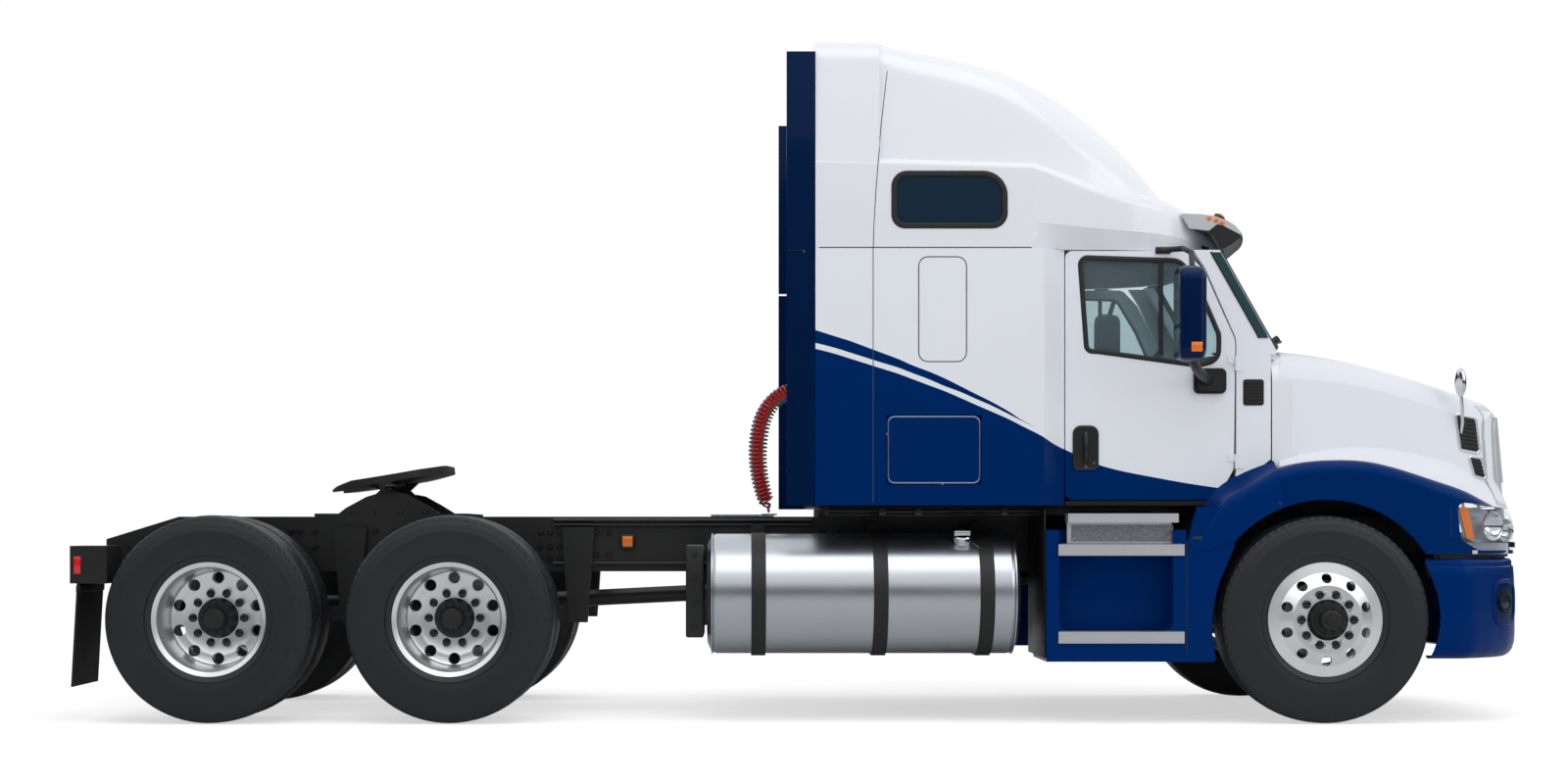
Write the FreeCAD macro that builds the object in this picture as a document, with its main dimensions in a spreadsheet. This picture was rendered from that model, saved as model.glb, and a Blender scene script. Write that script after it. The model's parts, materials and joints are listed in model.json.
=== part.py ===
import FreeCAD, Part
import math
import os
import Sketcher
from FreeCAD import Placement, Rotation, Vector

# Semi truck tractor unit: sleeper cab, bonnet over the steered axle, tandem drive axles.
# Millimetres. +X is forward, +Y is the truck's left side, +Z is up.
# The origin is on the ground, under the middle of the truck.

# name, value, what it is
SIZES = [
    # running gear
    ("front_axle_x", 2827, "steered axle, forward of the origin"),
    ("wheelbase", 5449, "steered axle to the middle of the drive axles"),
    ("tandem_spacing", 1315, "between the two drive axles"),
    ("half_track", 1220, "outer face of the tyres from the centre line"),
    ("tyre_radius", 572, "rolling radius, and the height of every hub"),
    ("tyre_width", 280, "section width"),
    ("tread_width", 216, "flat tread"),
    ("dual_spacing", 335, "between the middles of twin tyres"),
    ("seat_radius", 290, "bead seat of the rim"),
    ("flange_radius", 313, "rim flange"),
    ("rim_width", 230, "over the flanges"),
    ("disc_thickness", 22, "wheel disc"),
    ("barrel_wall", 12, "rim barrel"),
    ("mount_flat_radius", 184, "flat of the disc round the nuts"),
    ("pilot_radius", 110, "hub pilot"),
    ("nut_circle_radius", 142.875, "ten studs"),
    ("nut_radius", 17, "wheel nut"),
    ("nut_length", 30, "wheel nut"),
    ("hand_hole_circle_radius", 226, "ten hand holes"),
    ("hand_hole_radius", 28, "hand hole"),
    ("drum_radius", 212, "brake drum"),
    ("spindle_radius", 40, "spindle in the hub"),
    ("running_fit", 0.05, "radial clearance of a turning fit"),
    ("seat_gap", 0.3, "clearance between pieces that seat on each other"),
    # frame
    ("rail_top_z", 1140, "top of the frame rails"),
    ("rail_height", 317, "frame rail"),
    ("rail_half_width", 430, "outside of the rails from the centre line"),
    ("rail_flange", 90, "frame rail flange"),
    ("rail_wall", 10, "frame rail thickness"),
    ("rail_rear_x", -4040, "rear end of the rails"),
    ("rail_front_x", 3690, "front end of the rails"),
    ("rail_slope_length", 420, "sloped rear end"),
    ("rail_slope_drop", 130, "sloped rear end"),
    # steering
    ("kingpin_y", 900, "kingpin from the centre line"),
    ("kingpin_radius", 20, "kingpin"),
    ("beam_eye_height", 100, "axle beam eye"),
    ("steer_arm_back", 250, "tie rod ball behind the kingpin"),
    ("tie_rod_z", 440, "tie rod height"),
    ("tie_rod_radius", 19, "tie rod"),
    # cab
    ("cab_back_x", 40, "outside of the cab's back wall"),
    ("sleeper_length", 1380, "back wall to the door's rear edge"),
    ("door_length", 937, "door opening"),
    ("cowl_length", 202, "door's front edge to the bonnet's rear edge"),
    ("cab_bottom_z", 1197, "underside of the cab"),
    ("floor_thickness", 25, "cab floor"),
    ("roof_seam_z", 2606, "seam between the walls and the roof"),
    ("roof_top_z", 3768, "top of the roof"),
    ("sleeper_half_width", 1200, "outside of the sleeper"),
    ("cab_half_width", 1090, "outside of the doors"),
    ("cab_wall", 45, "sleeper side wall"),
    ("roof_wall", 40, "roof shell"),
    ("door_thickness", 55, "whole door"),
    ("door_bottom_z", 1228, "lower edge of the door"),
    ("panel_gap", 6, "gap between panels"),
    ("glass_thickness", 6, "glazing"),
    ("extender_length", 158, "side extender behind the back wall"),
    ("extender_thickness", 30, "side extender"),
    # bonnet
    ("hood_front_x", 4025, "lower front of the bonnet"),
    ("hood_bottom_z", 930, "lower edge of the bonnet"),
    ("hood_top_z", 2095, "bonnet at the windscreen"),
    ("hood_wall", 25, "bonnet shell"),
    ("fender_half_width", 1220, "outside of the wings"),
    ("arch_radius", 655, "wheel arch"),
    # bumper
    ("bumper_front_x", 4045, "front of the bumper"),
    ("bumper_bottom_z", 355, "underside of the bumper"),
    ("bumper_top_z", 905, "top of the bumper"),
    ("bumper_wall", 40, "bumper shell"),
    # tanks and steps
    ("tank_radius", 334, "fuel tank"),
    ("tank_length", 1737, "fuel tank"),
    ("tank_rear_x", -562, "rear end of the tanks"),
    ("tank_centre_z", 707, "tank axis"),
    ("tank_centre_y", 886, "tank axis from the centre line"),
    ("strap_width", 80, "tank strap"),
    ("strap_thickness", 6, "tank strap"),
    ("fairing_rear_x", 1300, "rear end of the step fairing"),
    ("fairing_length", 762, "step fairing up to the quarter panel"),
    ("fairing_bottom_z", 342, "underside of the step fairing"),
    ("fairing_top_z", 1062, "top of the step fairing"),
    ("fairing_half_width", 1215, "outside of the step fairing"),
    ("step_recess", 150, "foot room behind the steps"),
    # fifth wheel
    ("plate_pivot_x", -2420, "fifth wheel pivot"),
    ("plate_pivot_z", 1312, "fifth wheel pivot"),
    ("plate_front", 430, "plate forward of the pivot"),
    ("plate_rear", 345, "plate behind the pivot"),
    ("plate_half_width", 457, "fifth wheel plate"),
    ("plate_thickness", 42, "fifth wheel plate"),
    ("plate_tilt", 8.5, "rest tilt, rear end down, in degrees"),
    ("plate_height", 67, "plate top above the pivot"),
    ("kingpin_jaw_radius", 25.4, "trailer kingpin in the closed jaws"),
    ("throat_mouth", 330, "width of the throat at the plate's rear edge"),
    # mirrors
    ("mirror_height", 500, "door mirror head"),
    ("mirror_depth", 150, "door mirror head, along the truck"),
    ("mirror_width", 260, "door mirror head, across the truck"),
    # air lines
    ("coil_diameter", 52, "outside of a coiled air line"),
]

doc = FreeCAD.newDocument("TractorUnit")


class Dim:
    """A size with its value and the sheet expression that gives it."""

    def __init__(self, value, text):
        self.value = float(value)
        self.text = text

    @staticmethod
    def of(item):
        return item if isinstance(item, Dim) else Dim(item, repr(float(item)))

    def _with(self, other, sign, value):
        return Dim(value, f"({self.text} {sign} {Dim.of(other).text})")

    def __add__(self, other):
        return self._with(other, "+", self.value + float(other))

    def __sub__(self, other):
        return self._with(other, "-", self.value - float(other))

    def __mul__(self, other):
        return self._with(other, "*", self.value * float(other))

    def __truediv__(self, other):
        return self._with(other, "/", self.value / float(other))

    def __radd__(self, other):
        return Dim.of(other) + self

    def __rsub__(self, other):
        return Dim.of(other) - self

    def __rmul__(self, other):
        return Dim.of(other) * self

    def __neg__(self):
        return Dim(-self.value, f"(0 - {self.text})")

    def __float__(self):
        return self.value


class Sheet:
    """The spreadsheet of driving sizes; each alias is an attribute that gives a Dim."""

    def __init__(self, rows):
        self._sheet = doc.addObject("Spreadsheet::Sheet", "Sizes")
        self._values = {}
        for number, (name, value, what) in enumerate(rows, 1):
            self._sheet.set(f"A{number}", str(value))
            self._sheet.setAlias(f"A{number}", name)
            self._sheet.set(f"B{number}", what)
            self._values[name] = value
        doc.recompute()

    def __getattr__(self, name):
        return Dim(self._values[name], f"Sizes.{name}")


S = Sheet(SIZES)
RIGHT, LEFT = -1, 1
SIDES = (("right", RIGHT), ("left", LEFT))
NODES = []


# ---------------------------------------------------------------- small tools


def node(thing, label):
    """Names a finished sub-part; its label is the name of its file."""
    thing.Label = label
    NODES.append(thing)
    return thing


def bind(thing, name, size):
    """Binds a property to the sheet."""
    thing.setExpression(name, Dim.of(size).text)


def place(thing, x=0, y=0, z=0):
    for axis, size in zip("xyz", (x, y, z)):
        bind(thing, f"Placement.Base.{axis}", size)
    return thing


def box(x0, x1, y0, y1, z0, z1):
    """A Part::Box between two corners."""
    thing = doc.addObject("Part::Box", "box")
    bind(thing, "Length", x1 - x0)
    bind(thing, "Width", y1 - y0)
    bind(thing, "Height", z1 - z0)
    return place(thing, x0, y0, z0)


def cylinder(axis, x, y, z, radius, length):
    """A Part::Cylinder from (x, y, z) along +X, +Y or +Z."""
    thing = doc.addObject("Part::Cylinder", "cylinder")
    bind(thing, "Radius", radius)
    bind(thing, "Height", length)
    turns = {"x": Rotation(Vector(0, 1, 0), 90), "y": Rotation(Vector(1, 0, 0), -90)}
    thing.Placement = Placement(Vector(), turns.get(axis, Rotation()))
    return place(thing, x, y, z)


def fuse(*things):
    """One solid from pieces that overlap."""
    thing = doc.addObject("Part::MultiFuse", "fuse")
    thing.Shapes = list(things)
    return thing


def cut(base, *tools):
    thing = doc.addObject("Part::Cut", "cut")
    thing.Base = base
    thing.Tool = tools[0] if len(tools) == 1 else fuse(*tools)
    return thing


def mirrored(thing):
    """The same piece on the other side of the truck."""
    other = doc.addObject("Part::Mirroring", "mirrored")
    other.Source = thing
    other.Normal = Vector(0, 1, 0)
    return other


def group(*things):
    """Like pieces of one body that don't touch, in one node."""
    thing = doc.addObject("Part::Compound", "group")
    thing.Links = list(things)
    return thing


def pair(thing):
    return group(thing, mirrored(thing))


def plane_of(body, role):
    return next(o for o in body.Origin.OriginFeatures if o.Role == role)


def sketch(body, role, points, offset=None):
    """A closed polygon on one of the body's planes; its points are bound to the sheet."""
    thing = body.newObject("Sketcher::SketchObject", "outline")
    thing.AttachmentSupport = [(plane_of(body, role), "")]
    thing.MapMode = "FlatFace"
    if offset is not None:
        bind(thing, "AttachmentOffset.Base.z", offset)
    corners = [(Dim.of(a), Dim.of(b)) for a, b in points]
    for (a, b), (c, d) in zip(corners, corners[1:] + corners[:1]):
        start, end = Vector(a.value, b.value, 0), Vector(c.value, d.value, 0)
        thing.addGeometry(Part.LineSegment(start, end), False)
    count = len(corners)
    for i in range(count):
        thing.addConstraint(Sketcher.Constraint("Coincident", i, 2, (i + 1) % count, 1))
    for i, corner in enumerate(corners):
        for kind, size in zip(("DistanceX", "DistanceY"), corner):
            index = thing.addConstraint(Sketcher.Constraint(kind, -1, 1, i, 1, size.value))
            if "Sizes" in size.text:
                bind(thing, f"Constraints[{index}]", size)
    return thing


def round_sketch(body, role, centre, radius, offset=None):
    """A circle on one of the body's planes, bound to the sheet."""
    thing = body.newObject("Sketcher::SketchObject", "circle")
    thing.AttachmentSupport = [(plane_of(body, role), "")]
    thing.MapMode = "FlatFace"
    if offset is not None:
        bind(thing, "AttachmentOffset.Base.z", offset)
    a, b, r = Dim.of(centre[0]), Dim.of(centre[1]), Dim.of(radius)
    thing.addGeometry(Part.Circle(Vector(a.value, b.value, 0), Vector(0, 0, 1), r.value), False)
    for kind, size in (("DistanceX", a), ("DistanceY", b)):
        index = thing.addConstraint(Sketcher.Constraint(kind, -1, 1, 0, 3, size.value))
        bind(thing, f"Constraints[{index}]", size)
    index = thing.addConstraint(Sketcher.Constraint("Radius", 0, r.value))
    bind(thing, f"Constraints[{index}]", r)
    return thing


def feature(body, kind, profile, length=None, symmetric=False, reverse=False):
    """A Pad, Pocket, Revolution or Groove of a profile."""
    thing = body.newObject(f"PartDesign::{kind}", kind)
    thing.Profile = profile
    if length is None:
        thing.ReferenceAxis = (profile, ["H_Axis"])
        thing.Angle = 360
    else:
        bind(thing, "Length", length)
        if symmetric:
            thing.SideType = "Symmetric"
    thing.Reversed = reverse
    return thing


def padded(role, points, length, symmetric=False, offset=None, reverse=False):
    """A body that is one padded outline."""
    body = doc.addObject("PartDesign::Body", "body")
    outline = sketch(body, role, points, offset)
    feature(body, "Pad", outline, length, symmetric, reverse)
    return body


def revolved(*profiles):
    """A body of outlines (y, radius) turned round the Y axis."""
    body = doc.addObject("PartDesign::Body", "body")
    for points in profiles:
        feature(body, "Revolution", sketch(body, "YZ_Plane", points))
    return body


def ring_of_ten(body, kind, circle_radius, radius, start_y, length, symmetric=False):
    """Ten like holes or bosses round the body's Y axis.

    The XZ plane looks along -Y, so a Pad grows to -Y from start_y and a Pocket cuts to +Y.
    """
    start = round_sketch(body, "XZ_Plane", (0, circle_radius), radius, -Dim.of(start_y))
    first = feature(body, kind, start, length, symmetric)
    doc.recompute()
    ring = body.newObject("PartDesign::PolarPattern", "ring")
    ring.Originals = [first]
    ring.Axis = (next(o for o in body.Origin.OriginFeatures if o.Role == "Y_Axis"), [""])
    ring.Angle = 360
    ring.Occurrences = 10
    body.Tip = ring


def solid(shape):
    """A Part::Feature for a form that no profile feature makes."""
    thing = doc.addObject("Part::Feature", "form")
    thing.Shape = shape
    return thing


def wire(points, frame):
    """A closed wire of lines with rounded corners.

    points: (a, b, corner radius); frame turns (a, b) into a Vector.
    """
    flat = [(float(p[0]), float(p[1]), float(p[2]) if len(p) > 2 else 0.0) for p in points]
    edges = []
    ends = []
    for i, (a, b, radius) in enumerate(flat):
        here = Vector(a, b, 0)
        back = Vector(*flat[i - 1][:2], 0) - here
        ahead = Vector(*flat[(i + 1) % len(flat)][:2], 0) - here
        if radius == 0:
            ends.append((here, None, here))
            continue
        half = back.getAngle(ahead) / 2
        reach = min(radius / math.tan(half), 0.49 * back.Length, 0.49 * ahead.Length)
        radius = reach * math.tan(half)
        first = here + back.normalize() * reach
        last = here + ahead.normalize() * reach
        bisector = (back + ahead).normalize()
        middle = here + bisector * (radius / math.sin(half) - radius)
        ends.append((first, middle, last))
    for i, (first, middle, last) in enumerate(ends):
        if middle is not None:
            edges.append(Part.Arc(frame(first), frame(middle), frame(last)).toShape())
        following = ends[(i + 1) % len(ends)][0]
        if last.distanceToPoint(following) > 1e-6:
            edges.append(Part.LineSegment(frame(last), frame(following)).toShape())
    return Part.Wire(Part.__sortEdges__(edges))


def side_prism(points, y0, y1):
    """An outline seen from the side, (x, z), from y0 to y1."""
    y0, y1 = float(y0), float(y1)
    face = Part.Face(wire(points, lambda p: Vector(p.x, y0, p.y)))
    return face.extrude(Vector(0, y1 - y0, 0))


def plan_prism(points, z0, z1):
    """An outline seen from above, (x, y), from z0 to z1."""
    z0, z1 = float(z0), float(z1)
    face = Part.Face(wire(points, lambda p: Vector(p.x, p.y, z0)))
    return face.extrude(Vector(0, 0, z1 - z0))


def front_prism(points, x0, x1):
    """An outline seen from the front, (y, z), from x0 to x1."""
    x0, x1 = float(x0), float(x1)
    face = Part.Face(wire(points, lambda p: Vector(x0, p.x, p.y)))
    return face.extrude(Vector(x1 - x0, 0, 0))


def cross_section(x, half, low, shoulder, top, radius, base=None, lean=0):
    """A closed section across the truck: sides, rounded shoulders and a crowned top.

    base is the half width at the foot, drawn in under the side; lean draws the shoulder in.
    """
    foot = (half if base is None else base, low)
    heel = (half, low + (shoulder - low) * 0.3)
    neck = (half - lean, shoulder - radius)
    bend = (neck[0] - radius * (1 - math.sqrt(0.5)), shoulder - radius * (1 - math.sqrt(0.5)))
    flat = (neck[0] - radius, shoulder)
    right = [Vector(x, -a, b) for a, b in (foot, heel, neck, bend, flat)]
    left = [Vector(x, a, b) for a, b in (foot, heel, neck, bend, flat)]
    edges = [
        Part.makeLine(right[0], right[1]),
        Part.makeLine(right[1], right[2]),
        Part.Arc(right[2], right[3], right[4]).toShape(),
        Part.Arc(right[4], Vector(x, 0, top), left[4]).toShape(),
        Part.Arc(left[4], left[3], left[2]).toShape(),
        Part.makeLine(left[2], left[1]),
        Part.makeLine(left[1], left[0]),
        Part.makeLine(left[0], right[0]),
    ]
    return Part.Wire(edges)


def both_sides(points):
    """A symmetric outline from its points on the right side, (a, -b), given with b > 0."""
    right = [(p[0], -float(p[1]), *p[2:]) for p in points]
    left = [(p[0], float(p[1]), *p[2:]) for p in reversed(points)]
    return right + left


def block(x0, x1, y0, y1, z0, z1):
    """A plain box shape for use as a tool."""
    x0, x1, y0, y1, z0, z1 = (float(v) for v in (x0, x1, y0, y1, z0, z1))
    return Part.makeBox(x1 - x0, y1 - y0, z1 - z0, Vector(x0, y0, z0))


def mirror_shape(shape):
    return shape.mirror(Vector(), Vector(0, 1, 0))


# ---------------------------------------------------------------- wheels

rear_mount_y = S.half_track - (S.tyre_width + S.dual_spacing) / 2
offset = S.dual_spacing / 2
front_wheel_y = S.half_track - S.tyre_width / 2


def tyre_outline(middle):
    """Half section of a tyre, (y, radius), about its middle plane."""
    half_rim = S.rim_width / 2
    right = [
        (half_rim - 13, S.seat_radius + S.seat_gap),
        (half_rim - 13, S.flange_radius + 2),
        (half_rim + 5, S.flange_radius + 20),
        (S.tyre_width / 2, S.flange_radius + 115),
        (S.tyre_width / 2 - 2, S.tyre_radius - 78),
        (S.tread_width / 2 + 20, S.tyre_radius - 24),
        (S.tread_width / 2, S.tyre_radius),
    ]
    return [(middle - a, b) for a, b in right] + [(middle + a, b) for a, b in reversed(right)]


def rim_outline(mount, way):
    """Section of a disc wheel whose rim lies on the way side of its mounting plane."""
    far = offset + S.rim_width / 2
    near = offset - S.rim_width / 2
    well = S.seat_radius - 30
    wall = S.barrel_wall
    points = [
        (0, S.pilot_radius),
        (0, S.mount_flat_radius + 4),
        (near - 10, S.seat_radius - 34),
        (near - 2, S.flange_radius - 12),
        (near, S.flange_radius),
        (near + 12, S.flange_radius),
        (near + 12, S.seat_radius),
        (near + 60, S.seat_radius),
        (near + 78, well),
        (far - 66, well),
        (far - 48, S.seat_radius),
        (far - 12, S.seat_radius),
        (far - 12, S.flange_radius),
        (far, S.flange_radius),
        (far - 2, S.flange_radius - 12),
        (far - 18, S.seat_radius - wall),
        (far - 48, S.seat_radius - wall),
        (far - 66, well - wall),
        (near + 30, well - wall),
        (near + 4, well - 2 * wall),
        (S.disc_thickness, S.mount_flat_radius),
        (S.disc_thickness, S.pilot_radius),
    ]
    return [(mount + a * way, b) for a, b in points]


def hub_outline(outer, inner, nose):
    """Hub with its cap, bored for the spindle from the inner end."""
    bore = S.spindle_radius + S.running_fit
    return [
        (outer - nose, 0),
        (outer - nose, S.pilot_radius / 2 - 6),
        (outer - nose + 14, S.pilot_radius / 2),
        (outer - 24, S.pilot_radius / 2),
        (outer - 20, S.pilot_radius - 16),
        (outer, S.pilot_radius),
        (inner - 120, S.pilot_radius),
        (inner - 120, S.drum_radius),
        (inner, S.drum_radius),
        (inner, S.drum_radius - 14),
        (inner - 108, S.drum_radius - 14),
        (inner - 108, S.pilot_radius - 20),
        (inner - 14, S.pilot_radius - 20),
        (inner - 14, bore),
        (outer + 18, bore),
        (outer + 18, 0),
    ]


def front_wheel():
    """Disc outboard of the rim; origin at the tyre's middle, outboard to -Y."""
    mount = -offset
    body = revolved(rim_outline(mount, 1), hub_outline(mount - 4, mount + 245, 70))
    doc.recompute()
    ring_of_ten(body, "Pocket", S.hand_hole_circle_radius, S.hand_hole_radius, mount - 10, 90)
    ring_of_ten(body, "Pad", S.nut_circle_radius, S.nut_radius, mount, S.nut_length)
    return body


def twin_wheel():
    """Two disc wheels back to back; origin at their mounting plane, outboard to -Y."""
    zero = Dim.of(0)
    discs = rim_outline(zero, -1), rim_outline(zero, 1)
    body = revolved(*discs, hub_outline(Dim.of(-70), Dim.of(245), 70))
    doc.recompute()
    circle, hole = S.hand_hole_circle_radius, S.hand_hole_radius
    ring_of_ten(body, "Pocket", circle, hole, zero, 160, symmetric=True)
    ring_of_ten(body, "Pad", S.nut_circle_radius, S.nut_radius, -S.disc_thickness, S.nut_length)
    return body


def drive_axle_x(row):
    """Place of the front (row 0) or rear (row 1) drive axle."""
    return S.front_axle_x - S.wheelbase + S.tandem_spacing * (0.5 - row)


def on_axle(thing, side, x, y):
    """Sets a wheel piece on its axle; the left one is turned about, outboard to +Y."""
    turned = Rotation(Vector(0, 0, 1), 180 if side == LEFT else 0)
    thing.Placement = Placement(Vector(), turned)
    return place(thing, x, y * side, S.tyre_radius)


ROWS = (("forward", 0), ("rear", 1))

for name, side in SIDES:
    tyre = revolved(tyre_outline(Dim.of(0)))
    node(on_axle(tyre, side, S.front_axle_x, front_wheel_y), f"front_tyre_{name}")
    wheel = front_wheel()
    node(on_axle(wheel, side, S.front_axle_x, front_wheel_y), f"front_wheel_{name}")
    for row_name, row in ROWS:
        x = drive_axle_x(row)
        tyres = [revolved(tyre_outline(offset * way)) for way in (-1, 1)]
        for tyre in tyres:
            on_axle(tyre, side, x, rear_mount_y)
        node(group(*tyres), f"{row_name}_drive_tyres_{name}")
        node(on_axle(twin_wheel(), side, x, rear_mount_y), f"{row_name}_drive_wheel_{name}")


# ---------------------------------------------------------------- frame

rail_bottom_z = S.rail_top_z - S.rail_height
web_inside = S.rail_half_width - S.rail_wall


def frame_rail():
    """Right rail: a C section open to the middle, its rear end sloped."""
    out, flange, wall = S.rail_half_width, S.rail_flange, S.rail_wall
    section = [
        (-out, rail_bottom_z),
        (-out + flange, rail_bottom_z),
        (-out + flange, rail_bottom_z + wall),
        (-out + wall, rail_bottom_z + wall),
        (-out + wall, S.rail_top_z - wall),
        (-out + flange, S.rail_top_z - wall),
        (-out + flange, S.rail_top_z),
        (-out, S.rail_top_z),
    ]
    length = S.rail_front_x - S.rail_rear_x
    body = padded("YZ_Plane", section, length, offset=S.rail_rear_x)
    slope = [
        (S.rail_rear_x - 10, S.rail_top_z - S.rail_slope_drop),
        (S.rail_rear_x, S.rail_top_z - S.rail_slope_drop),
        (S.rail_rear_x + S.rail_slope_length, S.rail_top_z),
        (S.rail_rear_x + S.rail_slope_length, S.rail_top_z + 10),
        (S.rail_rear_x - 10, S.rail_top_z + 10),
    ]
    doc.recompute()
    feature(body, "Pocket", sketch(body, "XZ_Plane", slope), S.half_track * 2, symmetric=True)
    return body


node(pair(frame_rail()), "frame_rails")

# crossmember middle x, half length along the truck
CROSSMEMBERS = (
    (S.rail_rear_x + 60, 40),
    (drive_axle_x(1) + S.tandem_spacing / 2, 60),
    (drive_axle_x(0) + 760, 40),
    (S.cab_back_x + 100, 40),
    (S.front_axle_x + 760, 40),
)


def crossmember(x, half):
    """A channel between the rail webs, open at the back."""
    low, high = rail_bottom_z + 35, S.rail_top_z - 50 - S.rail_wall
    wall = S.rail_wall
    section = [
        (x - half, low),
        (x + half, low),
        (x + half, high),
        (x - half, high),
        (x - half, high - wall),
        (x + half - wall, high - wall),
        (x + half - wall, low + wall),
        (x - half, low + wall),
    ]
    return padded("XZ_Plane", section, (web_inside - S.seat_gap) * 2, symmetric=True)


def low_end(x):
    """A crossmember under the sloped end of the rails is less tall."""
    top = S.rail_top_z - S.rail_slope_drop - 20
    half_y = web_inside - S.seat_gap
    return box(x - 30, x + 30, -half_y, half_y, rail_bottom_z + 35, top)


hanger_ahead = 660
arm_y = S.rail_half_width
arm_half = 38
arm_eye_z = 590


def hanger(x):
    """Right hanger of a trailing arm: a plate on the rail's web, with the arm's pin."""
    near = S.rail_half_width + S.seat_gap
    outline = [
        (x - 95, S.rail_top_z - 60),
        (x + 95, S.rail_top_z - 60),
        (x + 75, rail_bottom_z),
        (x + 55, arm_eye_z - 60),
        (x - 55, arm_eye_z - 60),
        (x - 75, rail_bottom_z),
    ]
    plate = padded("XZ_Plane", outline, 22, offset=arm_y + arm_half + 1)
    flange = box(x - 85, x + 85, -(arm_y + arm_half + 2), -near, rail_bottom_z + 30, S.rail_top_z - 80)
    pin = cylinder("y", x, -(arm_y + arm_half + 2), arm_eye_z, 20, arm_half * 2 + 2)
    return fuse(plate, flange, pin)


brackets = [low_end(CROSSMEMBERS[0][0])]
brackets += [crossmember(x, half) for x, half in CROSSMEMBERS[1:]]
for _, row in ROWS:
    right = hanger(drive_axle_x(row) + hanger_ahead)
    brackets += [right, mirrored(right)]
node(group(*brackets), "frame_crossmembers")


def trailing_arm(x):
    """Right trailing arm under the axle, with its air spring up to the rail."""
    outline = [
        (x + hanger_ahead + 45, arm_eye_z - 35),
        (x + hanger_ahead + 45, arm_eye_z + 35),
        (x + hanger_ahead - 55, arm_eye_z + 40),
        (x + 150, S.tyre_radius - 65 - S.seat_gap),
        (x - 150, S.tyre_radius - 65 - S.seat_gap),
        (x - 260, S.tyre_radius - 20),
        (x - 500, S.tyre_radius - 20),
        (x - 500, S.tyre_radius - 60),
        (x - 290, S.tyre_radius - 70),
        (x - 160, S.tyre_radius - 150),
        (x + 150, S.tyre_radius - 150),
        (x + hanger_ahead - 55, arm_eye_z - 45),
    ]
    arm = padded("XZ_Plane", outline, arm_half * 2, symmetric=True)
    place(arm, 0, -arm_y, 0)
    eye = cylinder("y", x + hanger_ahead, -(arm_y + arm_half + 5), arm_eye_z, 20.05, arm_half * 3)
    base = S.tyre_radius - 40
    bag_x = x - 385
    height = rail_bottom_z - S.seat_gap - base
    piston = cylinder("z", bag_x, -arm_y, base, 75, height)
    bag = cylinder("z", bag_x, -arm_y, base + 90, 112, height - 102)
    return fuse(cut(arm, eye), piston, bag)


arms = []
for _, row in ROWS:
    right = trailing_arm(drive_axle_x(row))
    arms += [right, mirrored(right)]
node(group(*arms), "rear_suspension")


def drive_axle():
    """Axle housing from spindle to spindle, with the differential and its pinion nose."""
    hub_inner = rear_mount_y - 245 + 14
    half = [
        (0, 208),
        (95, 205),
        (150, 170),
        (230, 80),
        (290, 65),
        (hub_inner - 25, 65),
        (hub_inner - 25, S.spindle_radius),
        (rear_mount_y + 40, S.spindle_radius),
        (rear_mount_y + 40, 0),
    ]
    outline = [(-Dim.of(a), b) for a, b in reversed(half[1:])] + half
    return revolved(outline)


axles = []
for _, row in ROWS:
    x = drive_axle_x(row)
    housing = place(drive_axle(), x, 0, S.tyre_radius)
    nose = cylinder("x", x, 0, S.tyre_radius + 60, 85, 330)
    parts = [housing, nose]
    if row == 0:
        parts.append(cylinder("x", x - 270, 0, S.tyre_radius + 60, 70, 290))
    axles.append(fuse(*parts))
node(group(*axles), "drive_axles")


def shaft(x0, z0, x1, z1, radius):
    """A tube between two points of the middle plane."""
    x0, z0, x1, z1 = (float(v) for v in (x0, z0, x1, z1))
    way = Vector(x1 - x0, 0, z1 - z0)
    return Part.makeCylinder(radius, way.Length, Vector(x0, 0, z0), way)


pinion_z = S.tyre_radius + 60
gearbox_rear_x = S.cab_back_x + 1400
shafts = solid(
    Part.makeCompound(
        [
            shaft(drive_axle_x(0) + 332.6, pinion_z + 8, gearbox_rear_x - 3.3, 790, 48),
            shaft(drive_axle_x(1) + 330.3, pinion_z, drive_axle_x(0) - 270.3, pinion_z, 42),
        ]
    )
)
node(shafts, "drive_shafts")

# engine and gearbox: plain blocks at their real size, on mounts between the rails
engine_rear_x = S.door_length + S.sleeper_length + S.cab_back_x + 270
mount_half_y = web_inside - S.seat_gap
engine = fuse(
    box(engine_rear_x, S.front_axle_x + 660, -300, 300, rail_bottom_z - 90, 1700),
    cylinder("x", gearbox_rear_x, 0, 800, 75, 120),
    box(gearbox_rear_x + 100, engine_rear_x + 5, -215, 215, 690, 1120),
    box(engine_rear_x + 60, engine_rear_x + 180, -mount_half_y, mount_half_y, 870, 960),
    box(S.front_axle_x + 520, S.front_axle_x + 620, -mount_half_y, mount_half_y, 870, 960),
)
radiator_x = S.hood_front_x - 460
radiator = fuse(
    box(radiator_x, radiator_x + 60, -500, 500, S.rail_top_z + S.seat_gap, 1640),
    box(radiator_x + 50, radiator_x + 90, -460, 460, S.rail_top_z + 60, 1600),
)
node(group(engine, radiator), "engine_and_radiator")


# ---------------------------------------------------------------- steered axle

eye_z = S.tyre_radius
eye_half = S.beam_eye_height / 2
spring_y = S.rail_half_width


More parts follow.
